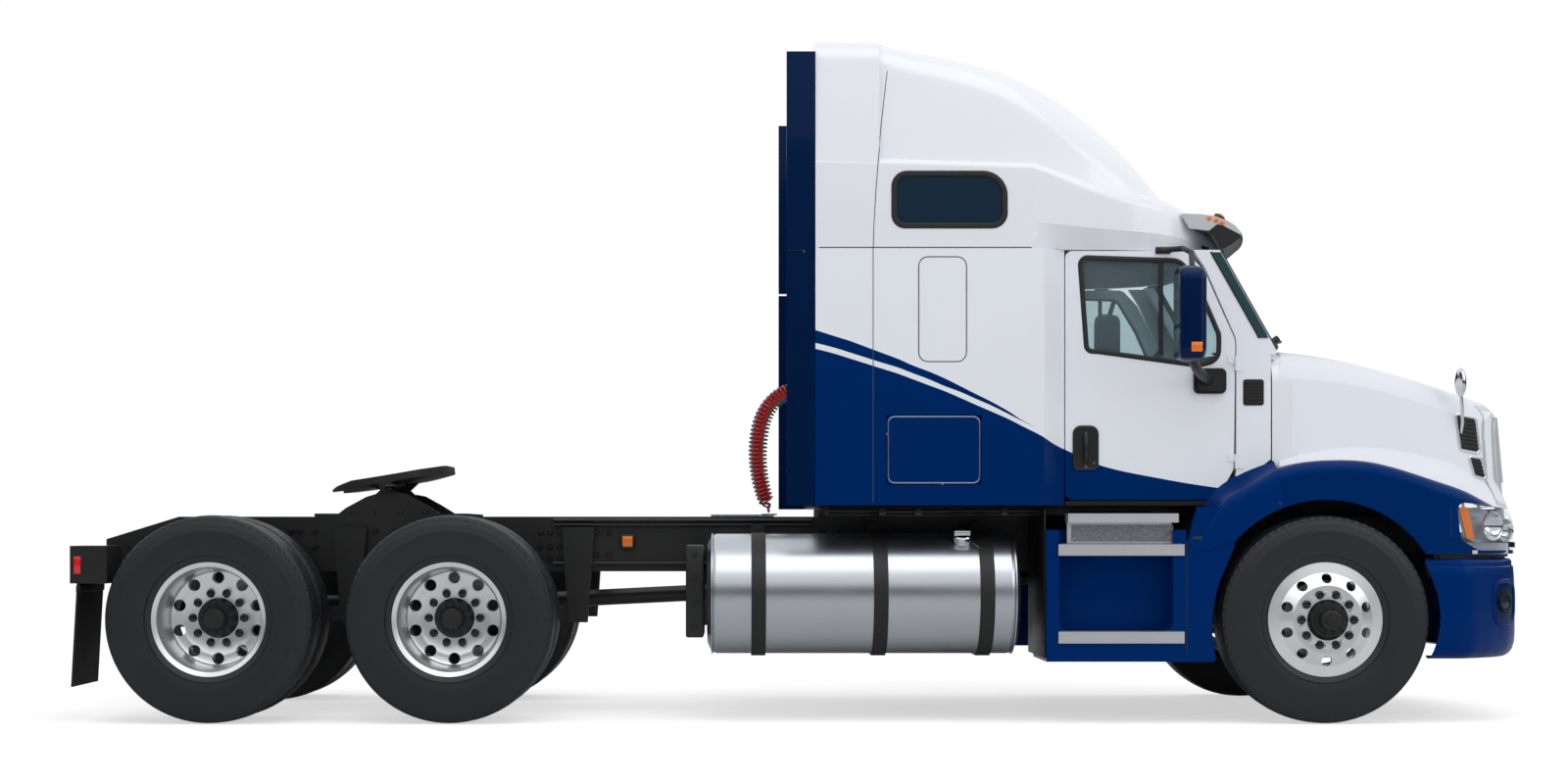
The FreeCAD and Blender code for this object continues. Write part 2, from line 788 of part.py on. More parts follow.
def axle_beam():
    """Dropped beam with an eye at each end for the kingpin."""
    top_mid = S.tyre_radius - 100
    ends = S.kingpin_y
    half = [
        (0, top_mid),
        (600, top_mid),
        (ends - 90, eye_z + eye_half),
        (ends, eye_z + eye_half),
        (ends, eye_z - eye_half),
        (ends - 60, eye_z - eye_half),
        (620, top_mid - 95),
        (0, top_mid - 95),
    ]
    outline = [(-Dim.of(a), b) for a, b in reversed(half[1:-1])] + half
    outline = [p for i, p in enumerate(outline) if i == 0 or p != outline[i - 1]]
    beam = padded("YZ_Plane", outline, 90, symmetric=True)
    place(beam, S.front_axle_x, 0, 0)
    low = eye_z - eye_half
    eyes = [cylinder("z", S.front_axle_x, S.kingpin_y * s, low, 52, eye_half * 2) for s in (-1, 1)]
    bores = [
        cylinder("z", S.front_axle_x, S.kingpin_y * s, low - 20, S.kingpin_radius + 0.05, 200)
        for s in (-1, 1)
    ]
    return cut(fuse(beam, *eyes), *bores)


def leaf_spring():
    """Right spring pack over the beam, with its hangers up to the rail."""
    base = float(S.tyre_radius) - 100 + float(S.seat_gap)
    x, y = float(S.front_axle_x), -float(spring_y)
    top = float(rail_bottom_z) - float(S.seat_gap)
    ends = 720
    rise = 110
    pack = side_prism(
        [
            (x - ends, base + rise + 30),
            (x - 300, base + 70),
            (x, base + 70),
            (x + 300, base + 70),
            (x + ends, base + rise + 30),
            (x + ends, base + rise),
            (x + 120, base),
            (x - 120, base),
            (x - ends, base + rise),
        ],
        y - 42,
        y + 42,
    )
    hangers = [block(x + e - 40, x + e + 40, y - 42, y + 42, base + rise + 5, top) for e in (-ends, ends)]
    return solid(pack.fuse(hangers).removeSplitter())


right_spring = leaf_spring()
node(group(axle_beam(), right_spring, mirrored(right_spring)), "front_axle")


def knuckle():
    """Right knuckle: lugs over and under the beam's eye, kingpin, spindle and steering arm."""
    x, y = S.front_axle_x, -S.kingpin_y
    lug_gap = 2
    top, low = eye_z + eye_half + lug_gap, eye_z - eye_half - lug_gap
    outer = front_wheel_y + offset - 245 + 40
    face = outer - 60
    parts = [
        cylinder("z", x, y, low - 40, S.kingpin_radius, top - low + 80),
        cylinder("z", x, y, top, 48, 40),
        cylinder("z", x, y, low - 40, 48, 40),
        box(x - 60, x + 60, -face - 25, -face, low - 40, top + 40),
        box(x - 45, x + 45, -face - 1, y, top, top + 40),
        box(x - 45, x + 45, -face - 1, y, low - 40, low),
        cylinder("y", x, -(front_wheel_y + offset - 40), S.tyre_radius, S.spindle_radius, 210),
        cylinder("y", x, -face - 26, S.tyre_radius, 60, 26),
    ]
    arm_z = S.tie_rod_z + 24
    arm = plan_prism(
        [
            (x - 40, -float(face) - 20, 10),
            (x + 40, -float(face) - 20, 10),
            (x + 40, y, 20),
            (x - S.steer_arm_back + 40, y + 15, 20),
            (x - S.steer_arm_back - 25, y + 20, 10),
            (x - S.steer_arm_back - 25, y - 25, 20),
        ],
        arm_z,
        arm_z + 26,
    )
    pin = cylinder("z", x - S.steer_arm_back, y, S.tie_rod_z - 24, 11, 60)
    return fuse(*parts, solid(arm), pin)


right_knuckle = knuckle()
node(right_knuckle, "steering_knuckle_right")
node(mirrored(right_knuckle), "steering_knuckle_left")


def tie_rod():
    """Rod between the steering arms, with an eye round each ball pin."""
    x = S.front_axle_x - S.steer_arm_back
    half = S.kingpin_y
    rod = cylinder("y", x, -half + 15, S.tie_rod_z, S.tie_rod_radius, half * 2 - 30)
    low = S.tie_rod_z - 20
    eyes = [cylinder("z", x, half * s, low, 30, 40) for s in (-1, 1)]
    bores = [cylinder("z", x, half * s, low - 10, 11 + S.running_fit, 60) for s in (-1, 1)]
    return cut(fuse(rod, *eyes), *bores)


node(tie_rod(), "tie_rod")


# ---------------------------------------------------------------- cab

door_rear_x = S.cab_back_x + S.sleeper_length
door_front_x = door_rear_x + S.door_length
hood_rear_x = door_front_x + S.cowl_length
wall_top_z = S.roof_seam_z - S.seat_gap
wall_height = wall_top_z - S.cab_bottom_z
flare_x = door_rear_x - 130
belt_z = S.hood_top_z - 45
screen_foot_x = hood_rear_x + 15
screen_head_x = door_front_x - 85
screen_half_width = S.cab_half_width - 110
screen_bulge = 150
hinge_x = door_front_x + S.panel_gap / 2
hinge_y = S.cab_half_width + 9
HINGE_Z = (1440, 1980)
HINGE_HEIGHT = 80

# baggage door: offsets from the back wall and from the underside of the cab
LUGGAGE = {"x0": 394, "x1": 900, "z0": 119, "z1": 487, "corner": 40}
luggage_x0 = S.cab_back_x + LUGGAGE["x0"]
luggage_x1 = S.cab_back_x + LUGGAGE["x1"]
luggage_z0 = S.cab_bottom_z + LUGGAGE["z0"]
luggage_z1 = S.cab_bottom_z + LUGGAGE["z1"]
pivot_x = luggage_x1 - 20
pivot_y = S.sleeper_half_width - 9


def sleeper_side():
    """Right wall of the sleeper, flared in to the door's plane, with the baggage opening."""
    wide, narrow, wall = S.sleeper_half_width, S.cab_half_width, S.cab_wall
    front = door_rear_x - S.panel_gap
    outline = [
        (S.cab_back_x, -wide),
        (flare_x, -wide),
        (door_rear_x - 20, -narrow),
        (front, -narrow),
        (front, -narrow + S.door_thickness),
        (door_rear_x - 45, -narrow + S.door_thickness),
        (flare_x - 20, -wide + wall),
        (S.cab_back_x, -wide + wall),
    ]
    body = padded("XY_Plane", outline, wall_height, offset=S.cab_bottom_z)
    gap = S.panel_gap
    hole = sketch(
        body,
        "XZ_Plane",
        [
            (luggage_x0 - gap, luggage_z0 - gap),
            (luggage_x1 + gap, luggage_z0 - gap),
            (luggage_x1 + gap, luggage_z1 + gap),
            (luggage_x0 - gap, luggage_z1 + gap),
        ],
        offset=wide - wall / 2,
    )
    feature(body, "Pocket", hole, wall * 3, symmetric=True)
    low = cylinder("z", pivot_x, -pivot_y, luggage_z0 - gap - 5, 5, gap + 35)
    high = cylinder("z", pivot_x, -pivot_y, luggage_z1 - 30, 5, gap + 35)
    return fuse(body, low, high)


side_wall = sleeper_side()
node(side_wall, "sleeper_side_right")
node(mirrored(side_wall), "sleeper_side_left")


def luggage_door():
    """Right baggage door, bored for the pivot pins at its front edge."""
    out, depth = S.sleeper_half_width, S.cab_wall - 10
    plan = [
        (luggage_x0, -out),
        (luggage_x1 - 5, -out),
        (luggage_x1, -out + 5),
        (luggage_x1, -out + depth),
        (luggage_x0, -out + depth),
    ]
    panel = padded("XY_Plane", plan, luggage_z1 - luggage_z0, offset=luggage_z0)
    radius = 5 + S.running_fit
    low = cylinder("z", pivot_x, -pivot_y, luggage_z0 - 10, radius, 42)
    high = cylinder("z", pivot_x, -pivot_y, luggage_z1 - 32, radius, 42)
    return cut(panel, low, high)


baggage = luggage_door()
node(baggage, "baggage_door_right")
node(mirrored(baggage), "baggage_door_left")


rail_seat_z = float(S.rail_top_z) + float(S.seat_gap)


def cab_floor():
    """Floor, back wall and bunk shelf of the cab, with its mounts on the rails."""
    inner = S.sleeper_half_width - S.cab_wall - S.seat_gap
    narrow = S.cab_half_width
    low = S.cab_bottom_z
    high = low + S.floor_thickness
    front = door_front_x + 130
    plan = both_sides(
        [
            (S.cab_back_x, inner, 0),
            (flare_x - 30, inner, 0),
            (door_rear_x - 48, narrow - S.door_thickness - 1, 0),
            (door_rear_x + 1, narrow - S.door_thickness - 1, 0),
            (door_rear_x + 1, narrow, 0),
            (front - 131, narrow, 0),
            (front - 131, narrow - S.cab_wall, 0),
            (front, narrow - S.cab_wall, 0),
        ]
    )
    floor = plan_prism(plan, low, high)
    back = block(S.cab_back_x, S.cab_back_x + S.cab_wall, -inner, inner, low, wall_top_z)
    shelf_z = float(luggage_z1) + 40
    shelf = block(S.cab_back_x + 1, luggage_x1 + 40, -inner, inner, shelf_z, shelf_z + 30)
    riser = block(luggage_x1 + 10, luggage_x1 + 40, -inner, inner, high - 1, shelf_z + 1)
    rail = float(S.rail_half_width)
    mounts = [
        block(x, x + 120, -rail, -rail + 85, rail_seat_z, low + 1)
        for x in (float(S.cab_back_x) + 120, float(door_front_x) - 170)
    ]
    mounts += [mirror_shape(mount) for mount in mounts]
    return solid(floor.fuse([back, shelf, riser] + mounts).removeSplitter())


node(cab_floor(), "cab_floor")
shelf_top_z = luggage_z1 + 70

# door outline, offsets along the truck from the opening's rear or front edge
door_outline = [
    (door_rear_x, S.door_bottom_z, 40),
    (door_front_x - 105, S.door_bottom_z, 60),
    (door_front_x - 8, S.door_bottom_z + 170, 80),
    (door_front_x, belt_z + 60, 120),
    (door_front_x - 175, wall_top_z - 110, 120),
    (door_front_x - 275, wall_top_z - S.panel_gap, 60),
    (door_rear_x, wall_top_z - S.panel_gap, 40),
]
window_outline = [
    (door_rear_x + 80, wall_top_z - 42, 40),
    (door_rear_x + 118, belt_z - 2, 60),
    (door_rear_x + 180, belt_z - 5, 60),
    (door_front_x - 210, belt_z - 80, 90),
    (door_front_x - 92, belt_z - 55, 90),
    (door_front_x - 90, belt_z + 90, 90),
    (door_front_x - 175, wall_top_z - 270, 90),
    (door_front_x - 300, wall_top_z - 60, 80),
]


def inset(points, amount):
    """The outline drawn in by an amount, towards its middle."""
    middle_x = sum(float(p[0]) for p in points) / len(points)
    middle_z = sum(float(p[1]) for p in points) / len(points)
    width = max(float(p[0]) for p in points) - min(float(p[0]) for p in points)
    height = max(float(p[1]) for p in points) - min(float(p[1]) for p in points)
    share_x, share_z = 1 - 2 * amount / width, 1 - 2 * amount / height
    return [
        (middle_x + (float(a) - middle_x) * share_x, middle_z + (float(b) - middle_z) * share_z, r)
        for a, b, r in points
    ]


def hinge_leaf(x0, x1, z0, z1):
    """A flat leaf of a door hinge, lying on the right side of the cab."""
    outer = -float(S.cab_half_width)
    return block(x0, x1, outer - 6, outer + 1, z0, z1)


def hinge_barrel(z0, z1, radius):
    """A length of a door hinge's barrel on the right side."""
    return Part.makeCylinder(radius, z1 - z0, Vector(float(hinge_x), -float(hinge_y), z0))


def door():
    """Right door: a thick panel with its window cut and the upper halves of its hinges."""
    outer = -float(S.cab_half_width)
    inner = outer + float(S.door_thickness)
    panel = side_prism(door_outline, outer, inner)
    panel = panel.cut(side_prism(window_outline, outer - 10, inner + 10))
    x, half = float(hinge_x), HINGE_HEIGHT / 2
    for z in HINGE_Z:
        leaf = hinge_leaf(x - 45, x, z, z + half)
        panel = panel.fuse([leaf, hinge_barrel(z, z + half, 8)])
        panel = panel.cut(hinge_barrel(z - 1, z + half + 1, 4 + float(S.running_fit)))
    return solid(panel.removeSplitter())


right_door = door()
node(right_door, "door_right")
node(mirrored(right_door), "door_left")


def door_glass():
    outer = -float(S.cab_half_width) + 18
    pane = inset(window_outline, float(S.seat_gap))
    return solid(side_prism(pane, outer, outer + float(S.glass_thickness)))


right_glass = door_glass()
node(right_glass, "door_glass_right")
node(mirrored(right_glass), "door_glass_left")


def door_mirror():
    """Right mirror: head on a lower arm bolted under the window and an upper stay."""
    face = -float(S.cab_half_width) - float(S.seat_gap)
    x = float(door_front_x) - 377
    head_in = face - 190
    head_out = head_in - float(S.mirror_width)
    foot_z = float(belt_z) - 86
    head_z = foot_z + 4
    top = head_z + float(S.mirror_height)
    depth = float(S.mirror_depth)
    head = front_prism(
        [
            (head_out, head_z, 50),
            (head_in, head_z, 40),
            (head_in, top, 40),
            (head_out, top, 60),
        ],
        x,
        x + depth,
    )
    rounding = plan_prism(
        [
            (x, head_out, 12),
            (x, head_in, 12),
            (x + depth * 0.75, head_in, 50),
            (x + depth, head_in - 60, 60),
            (x + depth, head_out + 60, 60),
            (x + depth * 0.75, head_out, 50),
        ],
        head_z - 1,
        top + 1,
    )
    head = head.common(rounding)
    foot = block(x + 150, x + 325, face - 38, face, foot_z - 160, foot_z - 20)
    post = front_prism(
        [
            (face - 20, foot_z - 150, 10),
            (face - 20, foot_z - 60, 10),
            (head_in - 40, head_z + 12, 10),
            (head_in - 130, head_z + 12, 10),
            (head_in - 110, head_z - 40, 40),
        ],
        x + 70,
        x + 150,
    )
    web = block(x + 100, x + 170, face - 38, face - 8, foot_z - 150, foot_z - 40)
    stay_z = top + 40
    stay = front_prism(
        [
            (face, stay_z - 20, 4),
            (face, stay_z + 15, 4),
            (head_in - 60, stay_z + 15, 20),
            (head_in - 90, top - 8, 10),
            (head_in - 50, top - 8, 10),
            (head_in - 40, stay_z - 20, 20),
        ],
        x + 20,
        x + 60,
    )
    return solid(head.fuse([foot, post, web, stay]).removeSplitter())


right_mirror = door_mirror()
node(right_mirror, "door_mirror_right")
node(mirrored(right_mirror), "door_mirror_left")


def screen_arc(x_side, half, thickness, z):
    """A strip of glass seen from above, bulged forward at its middle."""
    x_side, half, thickness, z = (float(v) for v in (x_side, half, thickness, z))
    front, back = x_side + thickness, x_side
    ends = [Vector(front, -half, z), Vector(front, half, z), Vector(back, half, z), Vector(back, -half, z)]
    return Part.Wire(
        [
            Part.Arc(ends[0], Vector(front + screen_bulge, 0, z), ends[1]).toShape(),
            Part.makeLine(ends[1], ends[2]),
            Part.Arc(ends[2], Vector(back + screen_bulge, 0, z), ends[3]).toShape(),
            Part.makeLine(ends[3], ends[0]),
        ]
    )


screen_low_z = belt_z + 2
screen_high_z = wall_top_z - 4


def screen_slab(thickness, forward, margin):
    """The windscreen's curved slab, moved forward and drawn in at its sides."""
    half = float(screen_half_width) - margin
    foot = screen_arc(float(screen_foot_x) + forward, half, thickness, float(screen_low_z) + margin)
    head = screen_arc(float(screen_head_x) + forward, half - 30, thickness, float(screen_high_z) - margin)
    return Part.makeLoft([foot, head], True, True)


def roof_window(margin, y0, y1):
    """Outline block of the right sleeper window."""
    outline = [
        (S.cab_back_x + 438, S.roof_seam_z + 119, 45),
        (S.cab_back_x + 1035, S.roof_seam_z + 119, 45),
        (S.cab_back_x + 1035, S.roof_seam_z + 404, 110),
        (S.cab_back_x + 438, S.roof_seam_z + 404, 80),
    ]
    return side_prism(inset(outline, margin), y0, y1)


# the roof's wide lower part, front of the sleeper: offset from the back wall,
# half width, half width at the seam, height of the shoulder over the seam, its radius
ROOF_BROW = (
    (1190, 1200, 1200, 470, 40),
    (1420, 1175, 1095, 402, 60),
    (1676, 1135, 1080, 340, 80),
    (1960, 1035, 1000, 285, 90),
    (2160, 880, 865, 200, 90),
    (2290, 700, 690, 140, 60),
    (2375, 420, 420, 90, 30),
)
# the air deflector on it: offset from the back wall, half width,
# drop of its top below the highest point, radius of its edge
ROOF_CAP = (
    (300, 1145, 1, 130),
    (760, 1140, 78, 180),
    (1210, 1105, 205, 240),
    (1560, 1040, 408, 300),
    (1810, 950, 626, 260),
    (2010, 810, 863, 150),
    (2120, 690, 978, 60),
)


def roof_solid(margin):
    """Outer form of the roof drawn in by a margin: wide lower part, rear box and deflector."""
    back, seam = float(S.cab_back_x), float(S.roof_seam_z)
    top = float(S.roof_top_z) - margin
    wide = float(S.sleeper_half_width) - margin
    low = seam - (10 if margin > 0 else 0)
    start, plain = back + margin, margin > 0
    brow_x, _, _, brow_rise, brow_radius = ROOF_BROW[0]
    sides = []
    for x, rise in ((start, 504), (back + brow_x, brow_rise)):
        shoulder = seam + rise - margin
        sides.append(cross_section(x, wide, low, shoulder, shoulder + 12, brow_radius))
    brow = []
    for offset_x, half, base, rise, radius in ROOF_BROW:
        shoulder = seam + rise - margin
        x = back + offset_x - (margin if offset_x > brow_x else 0)
        brow.append(cross_section(x, half - margin, low, shoulder, shoulder + 12, radius, base - margin))
    cap = []
    for offset_x, half, drop, radius in ROOF_CAP:
        x, crown = back + offset_x - margin * drop / 900, top - drop
        cap.append(cross_section(x, half - margin, low + 60, crown - 14, crown, radius, lean=12))
    tall = [cross_section(x, wide, low, top - 12, top, 130, lean=10) for x in (start, back + 350 - margin)]
    form = Part.makeLoft(sides, True, True).fuse(Part.makeLoft(tall, True, True))
    return form.fuse([Part.makeLoft(brow, True, plain), Part.makeLoft(cap, True, plain)])


def roof_fairing():
    shell = roof_solid(0).cut(roof_solid(float(S.roof_wall)))
    for side in (RIGHT, LEFT):
        y = float(S.sleeper_half_width) * side
        shell = shell.cut(roof_window(0, y - 60, y + 60))
    return solid(shell.removeSplitter())


node(roof_fairing(), "roof_fairing")


def windscreen_line(gap):
    """What lies behind the bonnet's rear edge, curved along the foot of the windscreen."""
    rear, half = float(hood_rear_x) - gap, float(S.fender_half_width)
    corners = [Vector(rear, -half, 0), Vector(rear, half, 0)]
    corners += [Vector(rear - 600, half, 0), Vector(rear - 600, -half, 0)]
    edges = [Part.Arc(corners[0], Vector(rear + 200, 0, 0), corners[1]).toShape()]
    edges += [Part.makeLine(a, b) for a, b in zip(corners[1:], corners[2:] + corners[:1])]
    return Part.Face(Part.Wire(edges)).extrude(Vector(0, 0, 3000))


def cab_cowl():
    """Firewall, the panels between doors and bonnet, and the windscreen pillars."""
    gap = float(S.panel_gap)
    narrow = float(S.cab_half_width)
    rear = float(hood_rear_x) - gap
    edge = float(door_front_x) + gap
    top = float(wall_top_z)
    waist = float(belt_z) - 20
    outline = [
        (edge - 8, float(S.door_bottom_z) + 70, 0),
        (rear, float(S.door_bottom_z) + 224, 0),
        (rear, waist, 0),
        (float(screen_foot_x) + 10, waist, 0),
        (float(screen_foot_x) + 10, float(screen_low_z), 0),
        (float(screen_head_x), top, 0),
        (float(door_front_x) - 275 + 45, top, 0),
        (float(door_front_x) - 175 + gap + 4, top - 100, 120),
        (edge, float(belt_z) + 64, 120),
        (edge, float(S.door_bottom_z) + 170, 60),
    ]
    right = side_prism(outline, -narrow, -narrow + float(S.cab_wall))
    pillar_in = float(screen_half_width) - 45
    pillar = side_prism(
        [
            (float(screen_foot_x) + 10, float(screen_low_z), 0),
            (float(screen_head_x), top, 0),
            (float(screen_head_x) - 60, top, 0),
            (float(screen_foot_x) - 60, float(screen_low_z), 0),
        ],
        -narrow,
        -pillar_in,
    )
    low = float(S.cab_bottom_z)
    firewall_x = float(door_front_x) + 105
    inner = narrow - float(S.cab_wall) + 1
    firewall = block(firewall_x, firewall_x + 25, -inner, inner, low + float(S.floor_thickness) + 0.3, waist)
    foot = float(screen_foot_x)
    shelf_plan = both_sides([(firewall_x, inner, 0), (foot + 10, inner, 0)])
    shelf = plan_prism(shelf_plan, waist - 25, waist)
    bulge = Part.Face(screen_arc(foot - 60, float(screen_half_width) + 60, 70, waist - 25))
    shelf = shelf.fuse(bulge.extrude(Vector(0, 0, float(screen_low_z) - waist + 25 - 1)))
    x, half = float(hinge_x), HINGE_HEIGHT / 2
    hinges = []
    for z in HINGE_Z:
        base = z - float(S.seat_gap)
        hinges.append(hinge_leaf(x, x + 45, base - half, base))
        hinges.append(hinge_barrel(base - half, base, 8))
        hinges.append(hinge_barrel(base - half, z + half - 2, 4))
    hinges += [mirror_shape(hinge) for hinge in hinges]
    shape = right.fuse([mirror_shape(right), pillar, mirror_shape(pillar), firewall, shelf])
    glass = screen_slab(60, -24, 0)
    shape = shape.cut(glass).common(windscreen_line(gap))
    return solid(shape.fuse(hinges).removeSplitter())


node(cab_cowl(), "cab_cowl")


def cab_glass():
    """Windscreen and sleeper windows."""
    panes = [screen_slab(float(S.glass_thickness), 0, 1)]
    for side in (RIGHT, LEFT):
        y = (float(S.sleeper_half_width) - 18) * side
        panes.append(roof_window(float(S.seat_gap), y - 3, y + 3))
    return solid(Part.makeCompound(panes))


node(cab_glass(), "cab_glass")


def side_extender():
    """Right air deflector behind the sleeper, upper and lower panels on one frame."""
    near, out = S.cab_back_x - S.seat_gap, S.sleeper_half_width
    rear = S.cab_back_x - S.extender_length
    outline = [
        (near, -out),
        (near, -out + 70),
        (near - 20, -out + 70),
        (near - 30, -out + S.extender_thickness),
        (rear, -out + S.extender_thickness),
        (rear, -out),
    ]
    body = padded("XY_Plane", outline, S.roof_top_z - 90 - S.cab_bottom_z, offset=S.cab_bottom_z)
    doc.recompute()
    slot = sketch(
        body,
        "XZ_Plane",
        [
            (rear - 1, S.roof_seam_z - 28),
            (rear + 100, S.roof_seam_z - 28),
            (rear + 100, S.roof_seam_z - 14),
            (rear - 1, S.roof_seam_z - 14),
        ],
    )
    feature(body, "Pocket", slot, S.half_track * 3, symmetric=True)
    return body


node(pair(side_extender()), "side_extenders")


def sun_visor():
    """Visor across the front of the roof, over the windscreen."""
    x, z = float(screen_head_x), float(S.roof_seam_z)
    half = float(S.cab_half_width) - 90
    outline = [
        (x - 30, z + 210, 20),
        (x + 120, z + 200, 40),
        (x + 235, z + 95, 25),
        (x + 210, z + 70, 20),
        (x + 90, z + 150, 40),
        (x - 30, z + 170, 10),
    ]
    blade = side_prism(outline, -half, half)
    plan = both_sides([(x - 300, half, 0), (x + 20, half, 200), (x + 232, half - 230, 300)])
    blade = blade.common(plan_prism(plan, z - 10, z + 400))
    return solid(blade.cut(roof_solid(-0.3)).Solids[0])


# ---------------------------------------------------------------- inside the cab


def seat(side):
    """A seat on its pedestal, as one upholstered form."""
    x, y = door_rear_x + 130, 480 * side
    floor = S.cab_bottom_z + S.floor_thickness + S.seat_gap
    cushion_z = floor + 330
    outline = [
        (x + 80, floor),
        (x + 420, floor),
        (x + 420, cushion_z),
        (x + 560, cushion_z),
        (x + 570, cushion_z + 125),
        (x + 150, cushion_z + 110),
        (x + 60, cushion_z + 720),
        (x - 60, cushion_z + 720),
        (x + 20, cushion_z),
        (x + 80, cushion_z),
    ]
    body = padded("XZ_Plane", outline, 500, symmetric=True)
    return place(body, 0, y, 0)


node(group(seat(RIGHT), seat(LEFT)), "seats")
bunk_half_y = S.sleeper_half_width - S.cab_wall - 15
bunk = box(
    S.cab_back_x + S.cab_wall + S.seat_gap,
    S.cab_back_x + S.cab_wall + 860,
    -bunk_half_y,
    bunk_half_y,
    shelf_top_z + S.seat_gap,
    shelf_top_z + 160,
)
node(bunk, "bunk_mattress")


def dashboard():
    """Dashboard with the steering column and wheel in front of the left seat."""
    x, z = float(door_front_x) + 105 - 0.3, float(belt_z) - 46
    half = float(S.cab_half_width) - float(S.cab_wall) - 60
    top = side_prism(
        [
            (x, z - 330, 0),
            (x, z, 0),
            (x - 170, z, 40),
            (x - 260, z - 90, 60),
            (x - 200, z - 330, 40),
        ],
        -half,
        half,
    )
    tilt = Rotation(Vector(0, 1, 0), -62)
    hub = Vector(x - 330, 480, z - 20)
    ring = Part.makeTorus(215, 14)
    spokes = Part.makeBox(430, 36, 16, Vector(-215, -18, -8))
    column = Part.makeCylinder(34, 330, Vector(0, 0, -330))
    boss = Part.makeCylinder(60, 40, Vector(0, 0, -20))
    wheel = ring.fuse([spokes, column, boss])
    wheel.Placement = Placement(hub, tilt)
    return solid(top.fuse(wheel).removeSplitter())


node(dashboard(), "dashboard")
node(sun_visor(), "sun_visor")


# ---------------------------------------------------------------- bonnet

arch = {"x": float(S.front_axle_x), "z": float(S.tyre_radius), "r": float(S.arch_radius)}


# the bonnet's top: share of the length from the rear edge, half width drawn in from the cab's,
# drop of the crown below the bonnet's height, crown over the shoulders, radius of the shoulders
HOOD_TOP = (
    (-0.25, -20, -20, 74, 170),
    (0.0, 4, -20, 72, 170),
    (0.25, 53, 10, 70, 168),
    (0.5, 125, 92, 64, 164),
    (0.75, 222, 200, 58, 158),
    (1.0, 345, 322, 52, 150),
    (1.25, 490, 450, 46, 140),
)
# the nose seen from the side: share of the length, drop below the bonnet's height, rounding
HOOD_NOSE = ((0.939, 440, 140), (0.857, 273, 220), (0.574, 85, 0))
# a wing: offset from the wheel's centre, half width, top over the wheel's centre, radius of its edge
WING = (
    (-800, 1220, 610, 60),
    (-465, 1220, 728, 60),
    (-366, 1220, 777, 64),
    (-168, 1220, 852, 70),
    (62, 1220, 874, 70),
    (217, 1220, 868, 70),
    (447, 1218, 815, 70),
    (645, 1205, 751, 66),
    (789, 1172, 703, 60),
    (928, 1105, 640, 54),
    (1033, 1025, 600, 50),
    (1103, 930, 575, 44),
    (1153, 810, 560, 38),
    (1188, 640, 552, 30),
)
NOSE_LEAN = 0.124
NOSE_HALF = 590


def hood_x(share):
    """A place along the bonnet, by its share of the length."""
    return float(hood_rear_x) + share * float(S.hood_front_x - hood_rear_x)


def hood_half(x):
    """Half width of the bonnet's sides at a place along it."""
    wide = float(S.cab_half_width)
    for near, far in zip(HOOD_TOP, HOOD_TOP[1:]):
        x0, x1 = hood_x(near[0]), hood_x(far[0])
        if x <= x1:
            share = max(0.0, (x - x0) / (x1 - x0))
            return wide - near[1] - (far[1] - near[1]) * share
    return wide - HOOD_TOP[-1][1]


def flipped(point):
    """The same point on the other side of the truck."""
    return Vector(point.x, -point.y, point.z)


def spline(points):
    """A smooth edge through points."""
    curve = Part.BSplineCurve()
    curve.interpolate(points)
    return curve.toShape()


def hood_plan(z, start, margin):
    """Closed outline of the bonnet seen from above, at one height."""
    front = float(S.hood_front_x) - margin - (z - float(S.hood_bottom_z)) * NOSE_LEAN
    places = [start] + [hood_x(share) for share in (0.0, 0.25, 0.5, 0.75, 0.85)]
    side = [Vector(x, margin - hood_half(x), z) for x in places]
    turn, corner = side[-1], Vector(front - 14, margin - NOSE_HALF, z)
    chord = corner - turn
    bend = (turn + corner) * 0.5 + Vector(chord.y, -chord.x, 0) * 0.16
    left = [flipped(point) for point in side]
    edges = [
        spline(side),
        Part.Arc(turn, bend, corner).toShape(),
        Part.Arc(corner, Vector(front, 0, z), flipped(corner)).toShape(),
        Part.Arc(flipped(corner), flipped(bend), left[-1]).toShape(),
        spline(left[::-1]),
        Part.makeLine(left[0], side[0]),
    ]
    return Part.Wire(edges)


def hood_top_section(station, low, margin):
    """Closed section across the bonnet: sides leaning out below a rounded, crowned top."""
    share, inward, drop, rise, radius = station
    x = hood_x(share)
    top = float(S.hood_top_z) - drop - margin
    lean = math.radians(15)
    half = float(S.cab_half_width) - inward - margin - 3
    middle_y, middle_z = half - radius * math.cos(lean), top - rise - radius
    angles = (lean, math.radians(52.5), math.pi / 2)
    arc = [(middle_y + radius * math.cos(a), middle_z + radius * math.sin(a)) for a in angles]
    foot = (arc[0][0] + (arc[0][1] - low) * math.tan(lean), low)
    right = [Vector(x, -a, b) for a, b in [foot] + arc]
    left = [flipped(point) for point in right]
    edges = [
        Part.makeLine(right[0], right[1]),
        Part.Arc(right[1], right[2], right[3]).toShape(),
        Part.Arc(right[3], Vector(x, 0, top), left[3]).toShape(),
        Part.Arc(left[3], left[2], left[1]).toShape(),
        Part.makeLine(left[1], left[0]),
        Part.makeLine(left[0], right[0]),
    ]
    return Part.Wire(edges)


